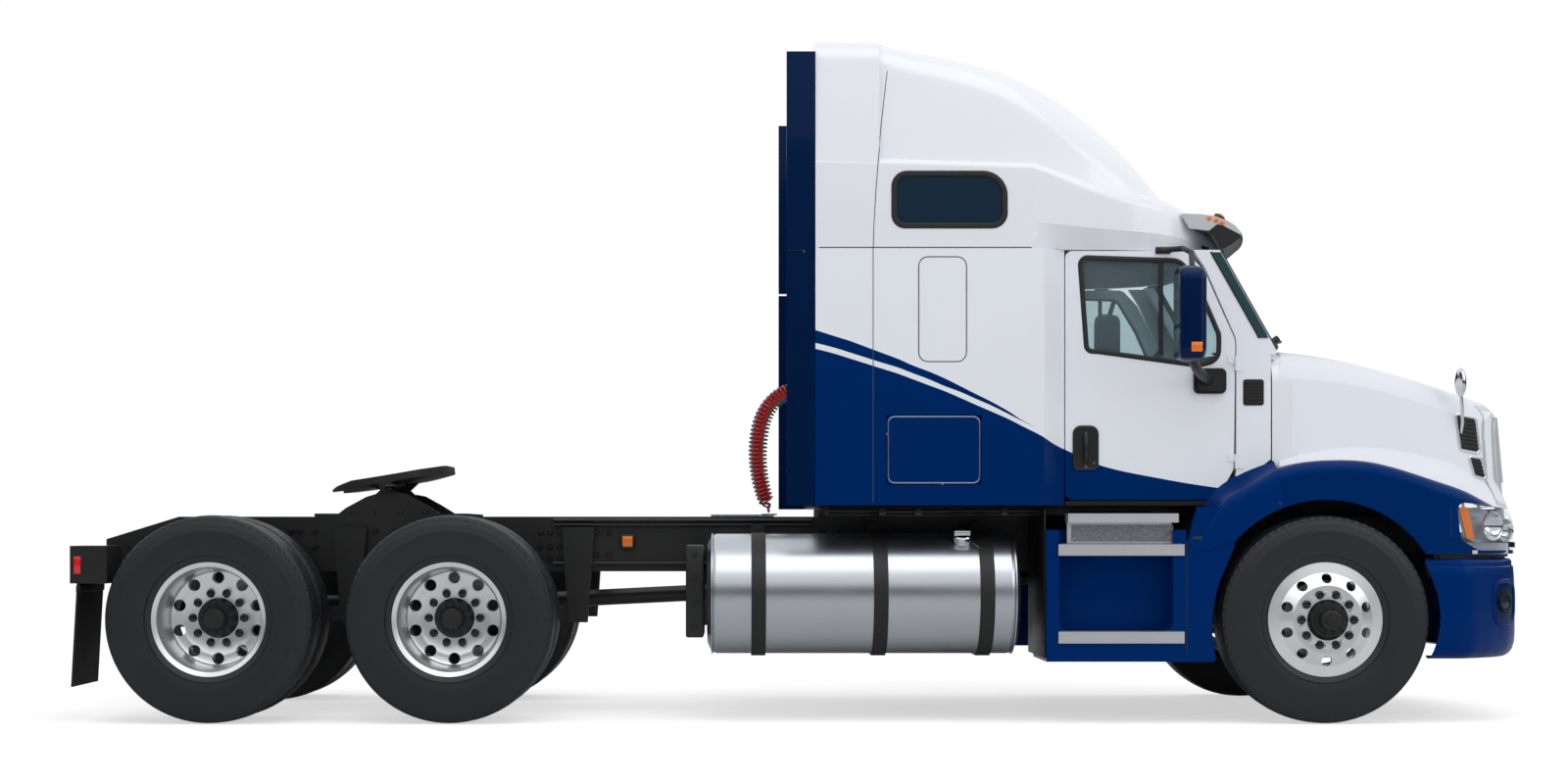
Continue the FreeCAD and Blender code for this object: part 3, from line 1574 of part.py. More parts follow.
def hood_core(margin):
    """The bonnet between the wings: crowned on top, its nose leaning back."""
    low, high = float(S.hood_bottom_z) - max(margin, 0), float(S.hood_top_z) + 120
    start = float(hood_rear_x) - (340 if margin > 0 else 60)
    plans = [hood_plan(z, start, margin) for z in (low, high)]
    tops = [hood_top_section(station, low - 40, margin) for station in HOOD_TOP]
    front = float(S.hood_front_x) - margin
    nose = [(hood_x(share) - margin, float(S.hood_top_z) - drop - margin, r) for share, drop, r in HOOD_NOSE]
    side = [(start - 10, low - 10, 0), (front + 30, low - 10, 0), (front + 30, float(S.hood_bottom_z), 0)]
    side += nose + [(hood_x(0.4), high + 10, 0), (start - 10, high + 10, 0)]
    core = Part.makeLoft(plans, True, True).common(Part.makeLoft(tops, True, False))
    return core.common(side_prism(side, -1300, 1300))


def wing_section(x, half, low, top, radius, inner):
    """Closed section across both wings, each flaring out of the bonnet's side."""
    flare = half - radius - inner
    diagonal = math.sqrt(0.5)
    points = [
        (half, low),
        (half, top - radius),
        (half - radius * (1 - diagonal), top - radius * (1 - diagonal)),
        (half - radius, top),
        (half - radius - flare * diagonal, top + flare * (1 - diagonal)),
        (inner, top + flare),
    ]
    right = [Vector(x, -a, b) for a, b in points]
    left = [flipped(point) for point in right]
    edges = [
        Part.makeLine(right[0], right[1]),
        Part.Arc(right[1], right[2], right[3]).toShape(),
        Part.Arc(right[3], right[4], right[5]).toShape(),
        Part.makeLine(right[5], left[5]),
        Part.Arc(left[5], left[4], left[3]).toShape(),
        Part.Arc(left[3], left[2], left[1]).toShape(),
        Part.makeLine(left[1], left[0]),
        Part.makeLine(left[0], right[0]),
    ]
    return Part.Wire(edges)


def wings(margin):
    """Both wings over the wheels, swept in to the nose."""
    low = float(S.hood_bottom_z) - max(margin, 0)
    sections = []
    for offset_x, half, rise, radius in WING:
        x = arch["x"] + offset_x - (margin if offset_x > 0 else 0)
        inner = min(hood_half(x) - 14, half - radius - 25) - margin
        sections.append(wing_section(x, half - margin, low, arch["z"] + rise - margin, radius, inner))
    form = Part.makeLoft(sections, True, False)
    rear = float(door_front_x) + float(S.panel_gap)
    return form.common(block(rear, rear + 4000, -2000, 2000, low - 10, 3000))


hood_outside = hood_core(0).fuse(wings(0))
hood_inside = hood_core(float(S.hood_wall)).fuse(wings(float(S.hood_wall)))
hood_shell = hood_outside.cut(hood_inside)


def arch_tool(side):
    y0 = -float(S.fender_half_width) - 20
    tool = Part.makeCylinder(arch["r"], 560, Vector(arch["x"], y0, arch["z"]), Vector(0, 1, 0))
    return tool if side == RIGHT else mirror_shape(tool)


GRILLE_FOOT = 500
GRILLE_HALF = 745
LAMP_INNER = 640
grille_top = float(S.hood_bottom_z) + 835
lamp_z0, lamp_z1 = float(S.hood_bottom_z) + 20, float(S.hood_bottom_z) + 285
lamp_x0 = float(S.hood_front_x) - 475


def lamp_tool(side, margin):
    """Block round the headlamp at the front corner of a wing."""
    outline = [
        (lamp_x0 - margin, lamp_z1 + margin, 40),
        (lamp_x0 + 20 - margin, lamp_z0 + 60 - margin, 60),
        (lamp_x0 + 130, lamp_z0 - margin, 80),
        (float(S.hood_front_x) + 50, lamp_z0 - margin, 0),
        (float(S.hood_front_x) + 50, lamp_z1 - 40 + margin, 0),
        (lamp_x0 + 260, lamp_z1 - 20 + margin, 200),
    ]
    tool = side_prism(outline, -1300, -LAMP_INNER + margin)
    return tool if side == RIGHT else mirror_shape(tool)


def cowl_corner():
    """Cuts the bonnet's lower rear corner along the diagonal of the cowl panel."""
    rear, edge = float(hood_rear_x), float(door_front_x) + float(S.panel_gap)
    z = float(S.door_bottom_z)
    return side_prism(
        [
            (edge - 400, z + 65, 0),
            (edge, z + 65, 0),
            (rear, z + 214, 0),
            (rear, 3000, 0),
            (edge - 400, 3000, 0),
        ],
        -2000,
        2000,
    )


def grille_outline(margin, low):
    """Outline of the grille seen from ahead: wide over the lamps, narrower between them."""
    foot, waist, half = GRILLE_FOOT + margin, LAMP_INNER + margin, GRILLE_HALF + margin
    shelf = float(S.hood_bottom_z) + 70 - margin
    side = [
        (foot, low, 0),
        (foot, shelf, 0),
        (waist, shelf, 0),
        (waist, lamp_z1 + 22, 40),
        (half, lamp_z1 + 120, 60),
        (half, grille_top + margin, 150),
    ]
    return [(-y, z, r) for y, z, r in side] + [(y, z, r) for y, z, r in side[::-1]]


# tilting hinge of the bonnet, on top of the bumper
TILT_X = float(S.hood_front_x)
TILT_Z = float(S.hood_bottom_z) - 12
TILT_Y = 415
TILT_PIN = 7


def tilt_rod(radius, y0, y1):
    """A round piece on the bonnet's tilting axis, on the right side."""
    return Part.makeCylinder(radius, y1 - y0, Vector(TILT_X, -y1, TILT_Z), Vector(0, 1, 0))


def hood_hinge():
    """Right hinge pin, on a boss under the bonnet's nose."""
    boss_in, boss_out = GRILLE_FOOT + 20, GRILLE_FOOT + 60
    neck = block(TILT_X - 22, TILT_X, -boss_out, -boss_in, TILT_Z, TILT_Z + 30)
    return neck.fuse([tilt_rod(8, boss_in, boss_out), tilt_rod(TILT_PIN, TILT_Y - 15, boss_out)])


def bumper_lug():
    """Right lug on the bumper round the bonnet's hinge pin."""
    y0, y1 = TILT_Y - 15, TILT_Y + 15
    base = block(TILT_X - 10.5, TILT_X + 10.5, -y1, -y0, float(S.bumper_top_z) - 30, TILT_Z)
    lug = base.fuse(tilt_rod(10.5, y0, y1))
    return lug.cut(tilt_rod(TILT_PIN + float(S.running_fit), y0 - 1, y1 + 1))


def hood():
    inner_x, gap = float(S.front_axle_x) + 700, float(S.seat_gap)
    outline = grille_outline(gap, float(S.hood_bottom_z) - 200)
    grille_hole = front_prism(outline, inner_x, float(S.hood_front_x) + 100)
    tools = [windscreen_line(0), cowl_corner(), grille_hole]
    tools += [arch_tool(side) for side in (RIGHT, LEFT)]
    tools += [lamp_tool(side, gap) for side in (RIGHT, LEFT)]
    shell = hood_shell.cut(tools)
    shell = max(shell.Solids, key=lambda piece: piece.Volume)
    hinge = hood_hinge()
    return solid(shell.fuse([hinge, mirror_shape(hinge)]).removeSplitter())


node(hood(), "hood")


def headlamps():
    left = max(hood_shell.common(lamp_tool(LEFT, 0)).Solids, key=lambda piece: piece.Volume)
    return solid(Part.makeCompound([mirror_shape(left), left]))


node(headlamps(), "headlamps")


def grille():
    """Grille: a bright surround that follows the bonnet's nose, with level bars and posts."""
    front, low = float(S.hood_front_x), float(S.hood_bottom_z)
    outer = front_prism(grille_outline(-float(S.seat_gap), low + 5), front - 400, front + 60)
    half, foot, bar_top = GRILLE_HALF - 160, low + 120, grille_top - 135
    opening = [(-half, foot, 30), (half, foot, 30), (half, bar_top, 50), (-half, bar_top, 50)]
    inner = front_prism(opening, front - 500, front + 70)
    surround = hood_core(-8).cut(hood_core(30)).common(outer).cut(inner)
    count, reach = 8, half + 20
    pitch = (bar_top - foot) / (count + 1)
    heights = [foot + pitch * (i + 1) for i in range(count)]
    bars = [block(front - 44, front - 20, -reach, reach, z - 9, z + 9) for z in heights]
    bars += [block(front - 48, front - 34, y - 7, y + 7, foot - 20, bar_top + 20) for y in (-290, 0, 290)]
    for bar in bars:
        bar.rotate(Vector(front, 0, low), Vector(0, 1, 0), -math.degrees(math.atan(NOSE_LEAN)))
    return solid(surround.fuse(bars).removeSplitter())


node(grille(), "grille")


def hood_mirror():
    """Right bonnet mirror: a round bowl, facing back, on a bent stalk."""
    x, y, z = float(S.hood_front_x) - 290, -905.0, float(S.hood_bottom_z) + 905
    bowl = doc.addObject("PartDesign::Body", "body")
    outline = [(0, 0), (0, 82), (8, 82), (32, 64), (50, 34), (56, 0)]
    feature(bowl, "Revolution", sketch(bowl, "XZ_Plane", outline))
    place(bowl, x - 56, y, z)
    knee = Vector(x - 10, y, z - 95)
    foot = Vector(x - 10, y + 190, z - 225)
    low = Part.makeCylinder(8, foot.distanceToPoint(knee), foot, knee - foot).cut(hood_outside)
    low = max(low.Solids, key=lambda piece: piece.BoundBox.ZMax)
    high = Part.makeCylinder(8, 75, knee, Vector(-0.1, 0, 1))
    return fuse(bowl, solid(low), solid(Part.makeSphere(8, knee)), solid(high))


node(pair(hood_mirror()), "hood_mirrors")


# ---------------------------------------------------------------- bumper and lower body


def bumper_form(margin):
    """Outer form of the bumper, drawn in by a margin."""
    front = float(S.bumper_front_x) - margin
    low, high = float(S.bumper_bottom_z), float(S.bumper_top_z)
    out = float(S.fender_half_width) - 10 - margin
    rear = arch["x"] + 545
    plan = both_sides(
        [
            (rear - margin * 3, out, 0),
            (front - 420, out, 250),
            (front - 120, out - 200, 350),
            (front - 12, out - 560, 500),
            (front, 300, 1500),
        ]
    )
    form = plan_prism(plan, low - margin, high + margin)
    profile = side_prism(
        [
            (rear - 10 - margin * 3, low - 1 - margin, 0),
            (front - 75, low - 1 - margin, 60),
            (front + 1, low + 110, 120),
            (front + 1, high + 1 + margin, 0),
            (rear - 10 - margin * 3, high + 1 + margin, 0),
        ],
        -1300,
        1300,
    )
    return form.common(profile)


def bumper():
    wall = float(S.bumper_wall)
    shell = bumper_form(0).cut(bumper_form(wall))
    clearance = Part.makeCylinder(630, 3000, Vector(arch["x"], -1500, arch["z"]), Vector(0, 1, 0))
    rail_front = float(S.rail_front_x) + float(S.seat_gap)
    inner_front = float(S.bumper_front_x) - wall + 10
    out = float(S.rail_half_width)
    iron = block(rail_front, inner_front, -out, -out + 60, 826, 900)
    lug = bumper_lug()
    irons = [iron, lug, mirror_shape(iron), mirror_shape(lug)]
    intake = block(inner_front - 200, inner_front + 200, -420, 420, 470, 640)
    shell = shell.cut([clearance, intake]).fuse(irons).removeSplitter()
    return solid(max(shell.Solids, key=lambda piece: piece.Volume))


node(bumper(), "bumper")


def fuel_tank():
    """Cylindrical tank with dished ends."""
    r, length = S.tank_radius, S.tank_length
    outline = [
        (0, 0),
        (8, r - 60),
        (30, r - 12),
        (58, r),
        (length - 58, r),
        (length - 30, r - 12),
        (length - 8, r - 60),
        (length, 0),
    ]
    body = doc.addObject("PartDesign::Body", "body")
    feature(body, "Revolution", sketch(body, "XZ_Plane", outline))
    return place(body, S.tank_rear_x, -S.tank_centre_y, S.tank_centre_z)


node(pair(fuel_tank()), "fuel_tanks")


def tank_strap(x):
    """Right strap round the tank, with its bracket to the frame."""
    inner = S.tank_radius + S.seat_gap
    y, z, width = -S.tank_centre_y, S.tank_centre_z, S.strap_width
    ring = cylinder("x", x, y, z, inner + S.strap_thickness, width)
    web = S.rail_half_width + S.seat_gap
    bracket = box(x, x + width, y + 210, -web, z - 300, S.rail_top_z - 40)
    foot = box(x, x + width, y - 40, y + 220, z - 345, z - 290)
    hollow = cylinder("x", x - 10, y, z, inner, width + 20)
    under = box(x - 1, x + width + 1, -S.rail_half_width - 20, 0, 0, rail_bottom_z)
    return cut(fuse(ring, bracket, foot), hollow, under)


straps = []
for share in (0.145, 0.53, 0.865):
    right = tank_strap(S.tank_rear_x + S.tank_length * share)
    straps += [right, mirrored(right)]
node(group(*straps), "tank_straps")


# step: height of its top over the ground, thickness, first and last x, depth from the fairing's side
STEPS = (
    (1152, 49, 118, 720, 120),
    (984, 62, 65, 752, 150),
    (507, 64, 65, 752, 12),
)


fairing_front_x = S.fairing_rear_x + S.fairing_length


def side_fairing():
    """Right step fairing with its foot room, and the quarter panel behind the wheel."""
    out, low, top = float(S.fairing_half_width), float(S.fairing_bottom_z), float(S.fairing_top_z)
    rear, front = float(S.fairing_rear_x), float(fairing_front_x)
    recess, gap = float(S.step_recess), float(S.seat_gap)
    body = block(rear, front, -out, -640, low, top)
    room = side_prism(
        [
            (rear + 70, low + 165, 60),
            (front - 70, low + 165, 60),
            (front - 70, top + 10, 0),
            (rear + 70, top + 10, 0),
        ],
        -out - 10,
        -out + recess,
    )
    notches = [
        block(
            rear + start - gap, rear + end + gap, -out - 10, -out + reach,
            height - thick - gap, height + gap,
        )
        for height, thick, start, end, reach in STEPS[1:]
    ]
    quarter_front = arch["x"] - 500
    quarter = side_prism(
        [
            (front - 5, low, 0),
            (arch["x"] - 600, low, 20),
            (arch["x"] - 632, arch["z"] - 20, 600),
            (arch["x"] - 590, arch["z"] + 190, 400),
            (quarter_front, top - 90, 0),
            (quarter_front, float(S.cab_bottom_z) - 8, 20),
            (front + 62, float(S.cab_bottom_z) - 8, 20),
            (front + 10, top - 60, 30),
            (front - 5, top - 60, 0),
        ],
        -out,
        -out + 42,
    )
    web = float(S.rail_half_width) + float(S.seat_gap)
    arms = [
        block(x, x + 70, -700, -web, float(S.rail_top_z) - 260, float(S.rail_top_z) - 90)
        for x in (rear + 60, front - 130)
    ]
    shape = body.cut([room] + notches).fuse([quarter] + arms)
    return solid(shape.removeSplitter())


node(pair(side_fairing()), "side_fairings")

def steps():
    """Right steps: two joined by their kick plate, and the lowest one."""
    out, rear = S.fairing_half_width, S.fairing_rear_x
    treads = [
        box(rear + start, rear + end, -out - 10, -out + reach - S.seat_gap, top - thick, top)
        for top, thick, start, end, reach in STEPS
    ]
    kick = box(rear + 118, rear + 690, -out + 40, -out + 60, STEPS[1][0], STEPS[0][0] - STEPS[0][1])
    return group(fuse(treads[0], kick, treads[1]), treads[2])


right_steps = steps()
node(group(right_steps, mirrored(right_steps)), "steps")


# ---------------------------------------------------------------- rear of the frame


def fifth_wheel_plate():
    """Coupling plate on its ears, with the throat, the jaw and sloped lead-in ramps."""
    front, rear = float(S.plate_front), -float(S.plate_rear)
    half, top = float(S.plate_half_width), float(S.plate_height)
    thick, jaw = float(S.plate_thickness), float(S.kingpin_jaw_radius)
    mouth = float(S.throat_mouth) / 2
    outline = both_sides(
        [
            (rear, mouth + 60, 50),
            (rear + 60, half - 60, 120),
            (rear + 300, half, 200),
            (front - 220, half, 160),
            (front, half - 210, 160),
        ]
    )
    plate = plan_prism(outline, top - thick, top)
    throat = plan_prism(
        [
            (rear - 40, -mouth - 20, 0),
            (rear - 40, mouth + 20, 0),
            (-70, jaw, 60),
            (0, jaw, 0),
            (0, -jaw, 0),
            (-70, -jaw, 60),
        ],
        top - thick - 60,
        top + 1,
    )
    pin = Part.makeCylinder(jaw, thick + 120, Vector(0, 0, top - thick - 60))
    ramp = side_prism(
        [(rear - 1, top + 1, 0), (rear + 150, top + 1, 0), (rear + 150, top, 0), (rear - 1, top - 30, 0)],
        -half - 1,
        half + 1,
    )
    shape = plate.cut([throat, pin, ramp])
    ears = []
    for side in (RIGHT, LEFT):
        y0, y1 = sorted((300.0 * side, 345.0 * side))
        ears.append(
            side_prism(
                [(-110, top - thick + 1, 0), (110, top - thick + 1, 0), (26, -22, 20), (-26, -22, 20)], y0, y1
            )
        )
        start = min(300.0 * side, 392.0 * side)
        ears.append(Part.makeCylinder(14, 92, Vector(0, start, 0), Vector(0, 1, 0)))
    shape = shape.fuse(ears).removeSplitter()
    thing = solid(shape)
    thing.Placement = Placement(Vector(), Rotation(Vector(0, 1, 0), -float(S.plate_tilt)))
    return place(thing, S.plate_pivot_x, 0, S.plate_pivot_z)


node(fifth_wheel_plate(), "fifth_wheel_plate")


def fifth_wheel_base():
    """Base plate over the rails with a pedestal on each side."""
    x, z = S.plate_pivot_x, S.plate_pivot_z
    low = S.rail_top_z + S.seat_gap
    plate = box(x - 415, x + 470, -S.rail_half_width, S.rail_half_width, low, low + 18)
    pedestals = []
    for side in (RIGHT, LEFT):
        outline = [(x - 190, low + 17), (x + 190, low + 17), (x + 23, z), (x - 23, z)]
        leg = padded("XZ_Plane", outline, 36, symmetric=True)
        place(leg, 0, 370 * side, 0)
        cap = cylinder("y", x, 352 if side == LEFT else -388, z, 23.5, 36)
        pedestals += [leg, cap]
    bore = cylinder("y", x, -500, z, 14.05, 1000)
    return cut(fuse(plate, *pedestals), bore)


node(fifth_wheel_base(), "fifth_wheel_base")


def light_bar():
    """Bar across the rails' rear ends with a tail lamp box at each end."""
    rear = S.rail_rear_x
    z0, z1 = rail_bottom_z - 55, S.rail_top_z - S.rail_slope_drop - 35
    bar = box(rear - 12, rear - S.seat_gap, -1130, 1130, z1 - 150, z1 - 20)
    boxes = []
    for side in (RIGHT, LEFT):
        y0, y1 = sorted((820 * side, 1140 * side))
        boxes.append(box(rear - 12, rear + 190, y0, y1, z0, z1))
    return fuse(bar, *boxes)


node(light_bar(), "rear_light_bar")


def mud_flap():
    x = S.rail_rear_x + 5
    top = rail_bottom_z - 55 - S.seat_gap
    outline = [(x, 195), (x + 22, 195), (x + 150, top), (x + 110, top)]
    body = padded("XZ_Plane", outline, 600)
    return place(body, 0, -540, 0)


node(pair(mud_flap()), "mud_flaps")


def deck_plate():
    """Bright tread plate over the rails behind the cab, with its stiffening edges."""
    x0, x1 = S.cab_back_x - 580, S.cab_back_x - 215
    low = S.rail_top_z + S.seat_gap
    edge = S.rail_half_width
    sheet = box(x0, x1, -edge, edge, low, low + 12)
    lips = [box(x0 + 1, x1 - 1, y, y + 6, low - 50, low + 1) for y in (-230, 224)]
    return fuse(sheet, *lips)


node(deck_plate(), "deck_plate")

# ---------------------------------------------------------------- air lines

# Coiled line from the cab's back wall to the deck: (x, z) down its middle
COIL_ROUTE = (
    (18, 1905),
    (-76, 1897),
    (-173, 1845),
    (-240, 1746),
    (-267, 1619),
    (-272, 1489),
    (-256, 1360),
    (-226, 1254),
    (-197, 1168),
)
# name, place across the truck at the wall and at the deck, how far it hangs back
COILS = (
    ("red_air_coil", -150, -105, 1.0),
    ("green_electric_coil", 0, 0, 0.92),
    ("blue_air_coil", 150, 105, 1.05),
)


def coil_points(y_wall, y_deck, share):
    count = len(COIL_ROUTE) - 1
    first, last = COIL_ROUTE[0], COIL_ROUTE[-1]
    points = []
    for i, (x, z) in enumerate(COIL_ROUTE):
        straight = first[0] + (last[0] - first[0]) * (i / count)
        bulge = x if i in (0, count) else straight + (x - straight) * share
        points.append(Vector(bulge, y_wall + (y_deck - y_wall) * i / count, z))
    return points


def routed_tube(points, diameter):
    """A round tube along straight runs joined by arcs; prints its smallest radius."""
    edges = []
    at = points[0]
    radii = []
    for before, corner, after in zip(points, points[1:], points[2:]):
        back, ahead = before - corner, after - corner
        half = back.getAngle(ahead) / 2
        reach = 0.45 * min(back.Length, ahead.Length)
        radius = reach * math.tan(half)
        radii.append(radius)
        start = corner + back.normalize() * reach
        end = corner + ahead.normalize() * reach
        middle = corner + (back + ahead).normalize() * (radius / math.sin(half) - radius)
        edges.append(Part.LineSegment(at, start).toShape())
        edges.append(Part.Arc(start, middle, end).toShape())
        at = end
    edges.append(Part.LineSegment(at, points[-1]).toShape())
    path = Part.Wire(edges)
    way = points[1] - points[0]
    ring = Part.Wire(Part.makeCircle(diameter / 2, points[0], way))
    tube = path.makePipeShell([ring], True, False)
    section = math.pi * (diameter / 2) ** 2
    share = tube.Volume / (section * path.Length)
    print(f"coil: length {path.Length:.0f} mm, least radius {min(radii):.0f} mm, volume share {share:.3f}")
    return tube


for name, y_wall, y_deck, share in COILS:
    points = coil_points(y_wall, y_deck, share)
    node(solid(routed_tube(points, float(S.coil_diameter))), name)


def air_line_holders():
    """Couplings on the cab's back wall and the bracket on the deck."""
    wall_x = float(S.cab_back_x) - float(S.seat_gap)
    plate = block(wall_x - 12, wall_x, -220, 220, 1860, 1950)
    boss_end = COIL_ROUTE[0][0] + 2.6
    bosses = [
        Part.makeCylinder(22, wall_x - 11 - boss_end, Vector(boss_end, y, COIL_ROUTE[0][1]), Vector(1, 0, 0))
        for _, y, _, _ in COILS
    ]
    deck_top = float(S.rail_top_z) + 12 + 2 * float(S.seat_gap)
    x, z = COIL_ROUTE[-1]
    foot = block(x - 45, x + 45, -190, 190, deck_top, z - 9.3)
    return solid(Part.makeCompound([plate.fuse(bosses), foot]))


node(air_line_holders(), "air_line_holders")


# ---------------------------------------------------------------- files

doc.recompute()
failed = [thing.Label for thing in doc.Objects if {"Invalid", "Error"} & set(thing.State)]
for thing in NODES:
    if thing.Shape.isNull() or not thing.Shape.isValid():
        failed.append(thing.Label)
if failed:
    raise RuntimeError(f"these could not be built: {failed}")
os.makedirs("parts", exist_ok=True)
for thing in NODES:
    thing.Shape.exportStep(f"parts/{thing.Label}.step")
print(f"{len(NODES)} sub-parts written")
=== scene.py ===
"""Semi truck tractor unit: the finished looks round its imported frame.

Metres throughout. +X is forward, +Y is the truck's left side, +Z is up, and the ground is z = 0.
Each sub-assembly is a class: its fields are its sizes, build() makes its meshes and dress() gives
the carried-over nodes their finish. Pieces are drawn on the right side and mirrored to the left.
"""

import json
import logging
import math
from collections.abc import Callable, Iterable, Sequence
from dataclasses import dataclass
from enum import Enum

import bmesh
import bpy
from mathutils import Matrix, Vector
from mathutils.bvhtree import BVHTree


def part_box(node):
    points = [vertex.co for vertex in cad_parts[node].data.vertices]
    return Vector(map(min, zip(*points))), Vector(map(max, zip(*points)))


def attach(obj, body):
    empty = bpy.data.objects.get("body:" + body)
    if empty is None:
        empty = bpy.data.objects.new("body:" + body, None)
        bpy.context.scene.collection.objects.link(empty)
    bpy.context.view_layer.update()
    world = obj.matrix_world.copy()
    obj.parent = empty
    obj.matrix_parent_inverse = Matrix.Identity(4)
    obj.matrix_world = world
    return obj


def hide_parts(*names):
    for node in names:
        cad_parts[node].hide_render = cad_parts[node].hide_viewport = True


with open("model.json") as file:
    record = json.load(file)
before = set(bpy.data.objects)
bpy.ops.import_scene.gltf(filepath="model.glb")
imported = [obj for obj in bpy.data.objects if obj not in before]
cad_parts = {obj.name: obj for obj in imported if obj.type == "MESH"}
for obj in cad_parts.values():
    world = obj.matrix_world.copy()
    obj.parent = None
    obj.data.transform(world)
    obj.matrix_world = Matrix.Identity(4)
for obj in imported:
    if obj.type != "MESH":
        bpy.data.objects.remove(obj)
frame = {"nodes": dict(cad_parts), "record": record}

LOG = logging.getLogger("tractor_unit")
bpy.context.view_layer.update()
Point = tuple[float, float, float]
Flat = tuple[float, float]
Socket = bpy.types.NodeSocket
Tree = bpy.types.NodeTree
MM = 0.001
OUT = (0.0, -1.0, 0.0)  # straight out of the right side
HUB_Z = 0.572  # height of every wheel's middle
FRONT_X = 2.827  # the front axle
DOOR_Y = 1.09  # the doors' outer face
WALL_Y = 1.2008  # just proud of the sleeper's wall
WING_Y = 1.2205  # the wings' outer face


class Side(Enum):
    """A side of the truck; the value is the sign of Y."""

    RIGHT = -1
    LEFT = 1

    @property
    def word(self) -> str:
        """The word in the names of the nodes."""
        return self.name.lower()


# ---------------------------------------------------------------- finishes


def linear(colour: str) -> tuple[float, float, float, float]:
    """Turns an sRGB hex colour into a linear RGBA colour.

    Args:
        colour: Six hex digits after a hash.

    Returns:
        The linear colour with an alpha of 1.
    """
    parts = [int(colour[i : i + 2], 16) / 255 for i in (1, 3, 5)]
    return (*(c / 12.92 if c <= 0.04045 else ((c + 0.055) / 1.055) ** 2.4 for c in parts), 1.0)


def add_node(tree: Tree, kind: str, settings: dict | None = None, **inputs: object) -> bpy.types.Node:
    """Adds a node with its settings and its inputs.

    Args:
        tree: The node tree.
        kind: The node's type without its ShaderNode prefix.
        settings: Properties of the node.
        inputs: Values or sockets by input name, with _ for a space, or i0, i1 by number.

    Returns:
        The new node.
    """
    node = tree.nodes.new(f"ShaderNode{kind}")
    for name, value in (settings or {}).items():
        setattr(node, name, value)
    for name, value in inputs.items():
        socket = node.inputs[int(name[1:]) if name[1:].isdigit() else name.replace("_", " ")]
        if isinstance(value, Socket):
            tree.links.new(value, socket)
        else:
            socket.default_value = value
    return node


def edge_line(tree: Tree, across: Socket, line: Sequence[Flat]) -> Socket:
    """The height of a drawn line over a place.

    Args:
        tree: The node tree.
        across: Socket with the place along the line.
        line: (place, height) points in rising order.

    Returns:
        A socket with the height.
    """
    xs, zs = zip(*line)
    wide, low = xs[-1] - xs[0], min(zs)
    tall = (max(zs) - low) or 1.0
    share = add_node(tree, "MapRange", Value=across, From_Min=xs[0], From_Max=xs[-1]).outputs[0]
    drawn = add_node(tree, "FloatCurve", Value=share)
    curve = drawn.mapping.curves[0]
    spots = [((x - xs[0]) / wide, (z - low) / tall) for x, z in line]
    curve.points[0].location, curve.points[-1].location = spots[0], spots[-1]
    for spot in spots[1:-1]:
        curve.points.new(*spot)
    drawn.mapping.update()
    return add_node(
        tree, "Math", {"operation": "MULTIPLY_ADD"}, i0=drawn.outputs[0], i1=tall, i2=low
    ).outputs[0]


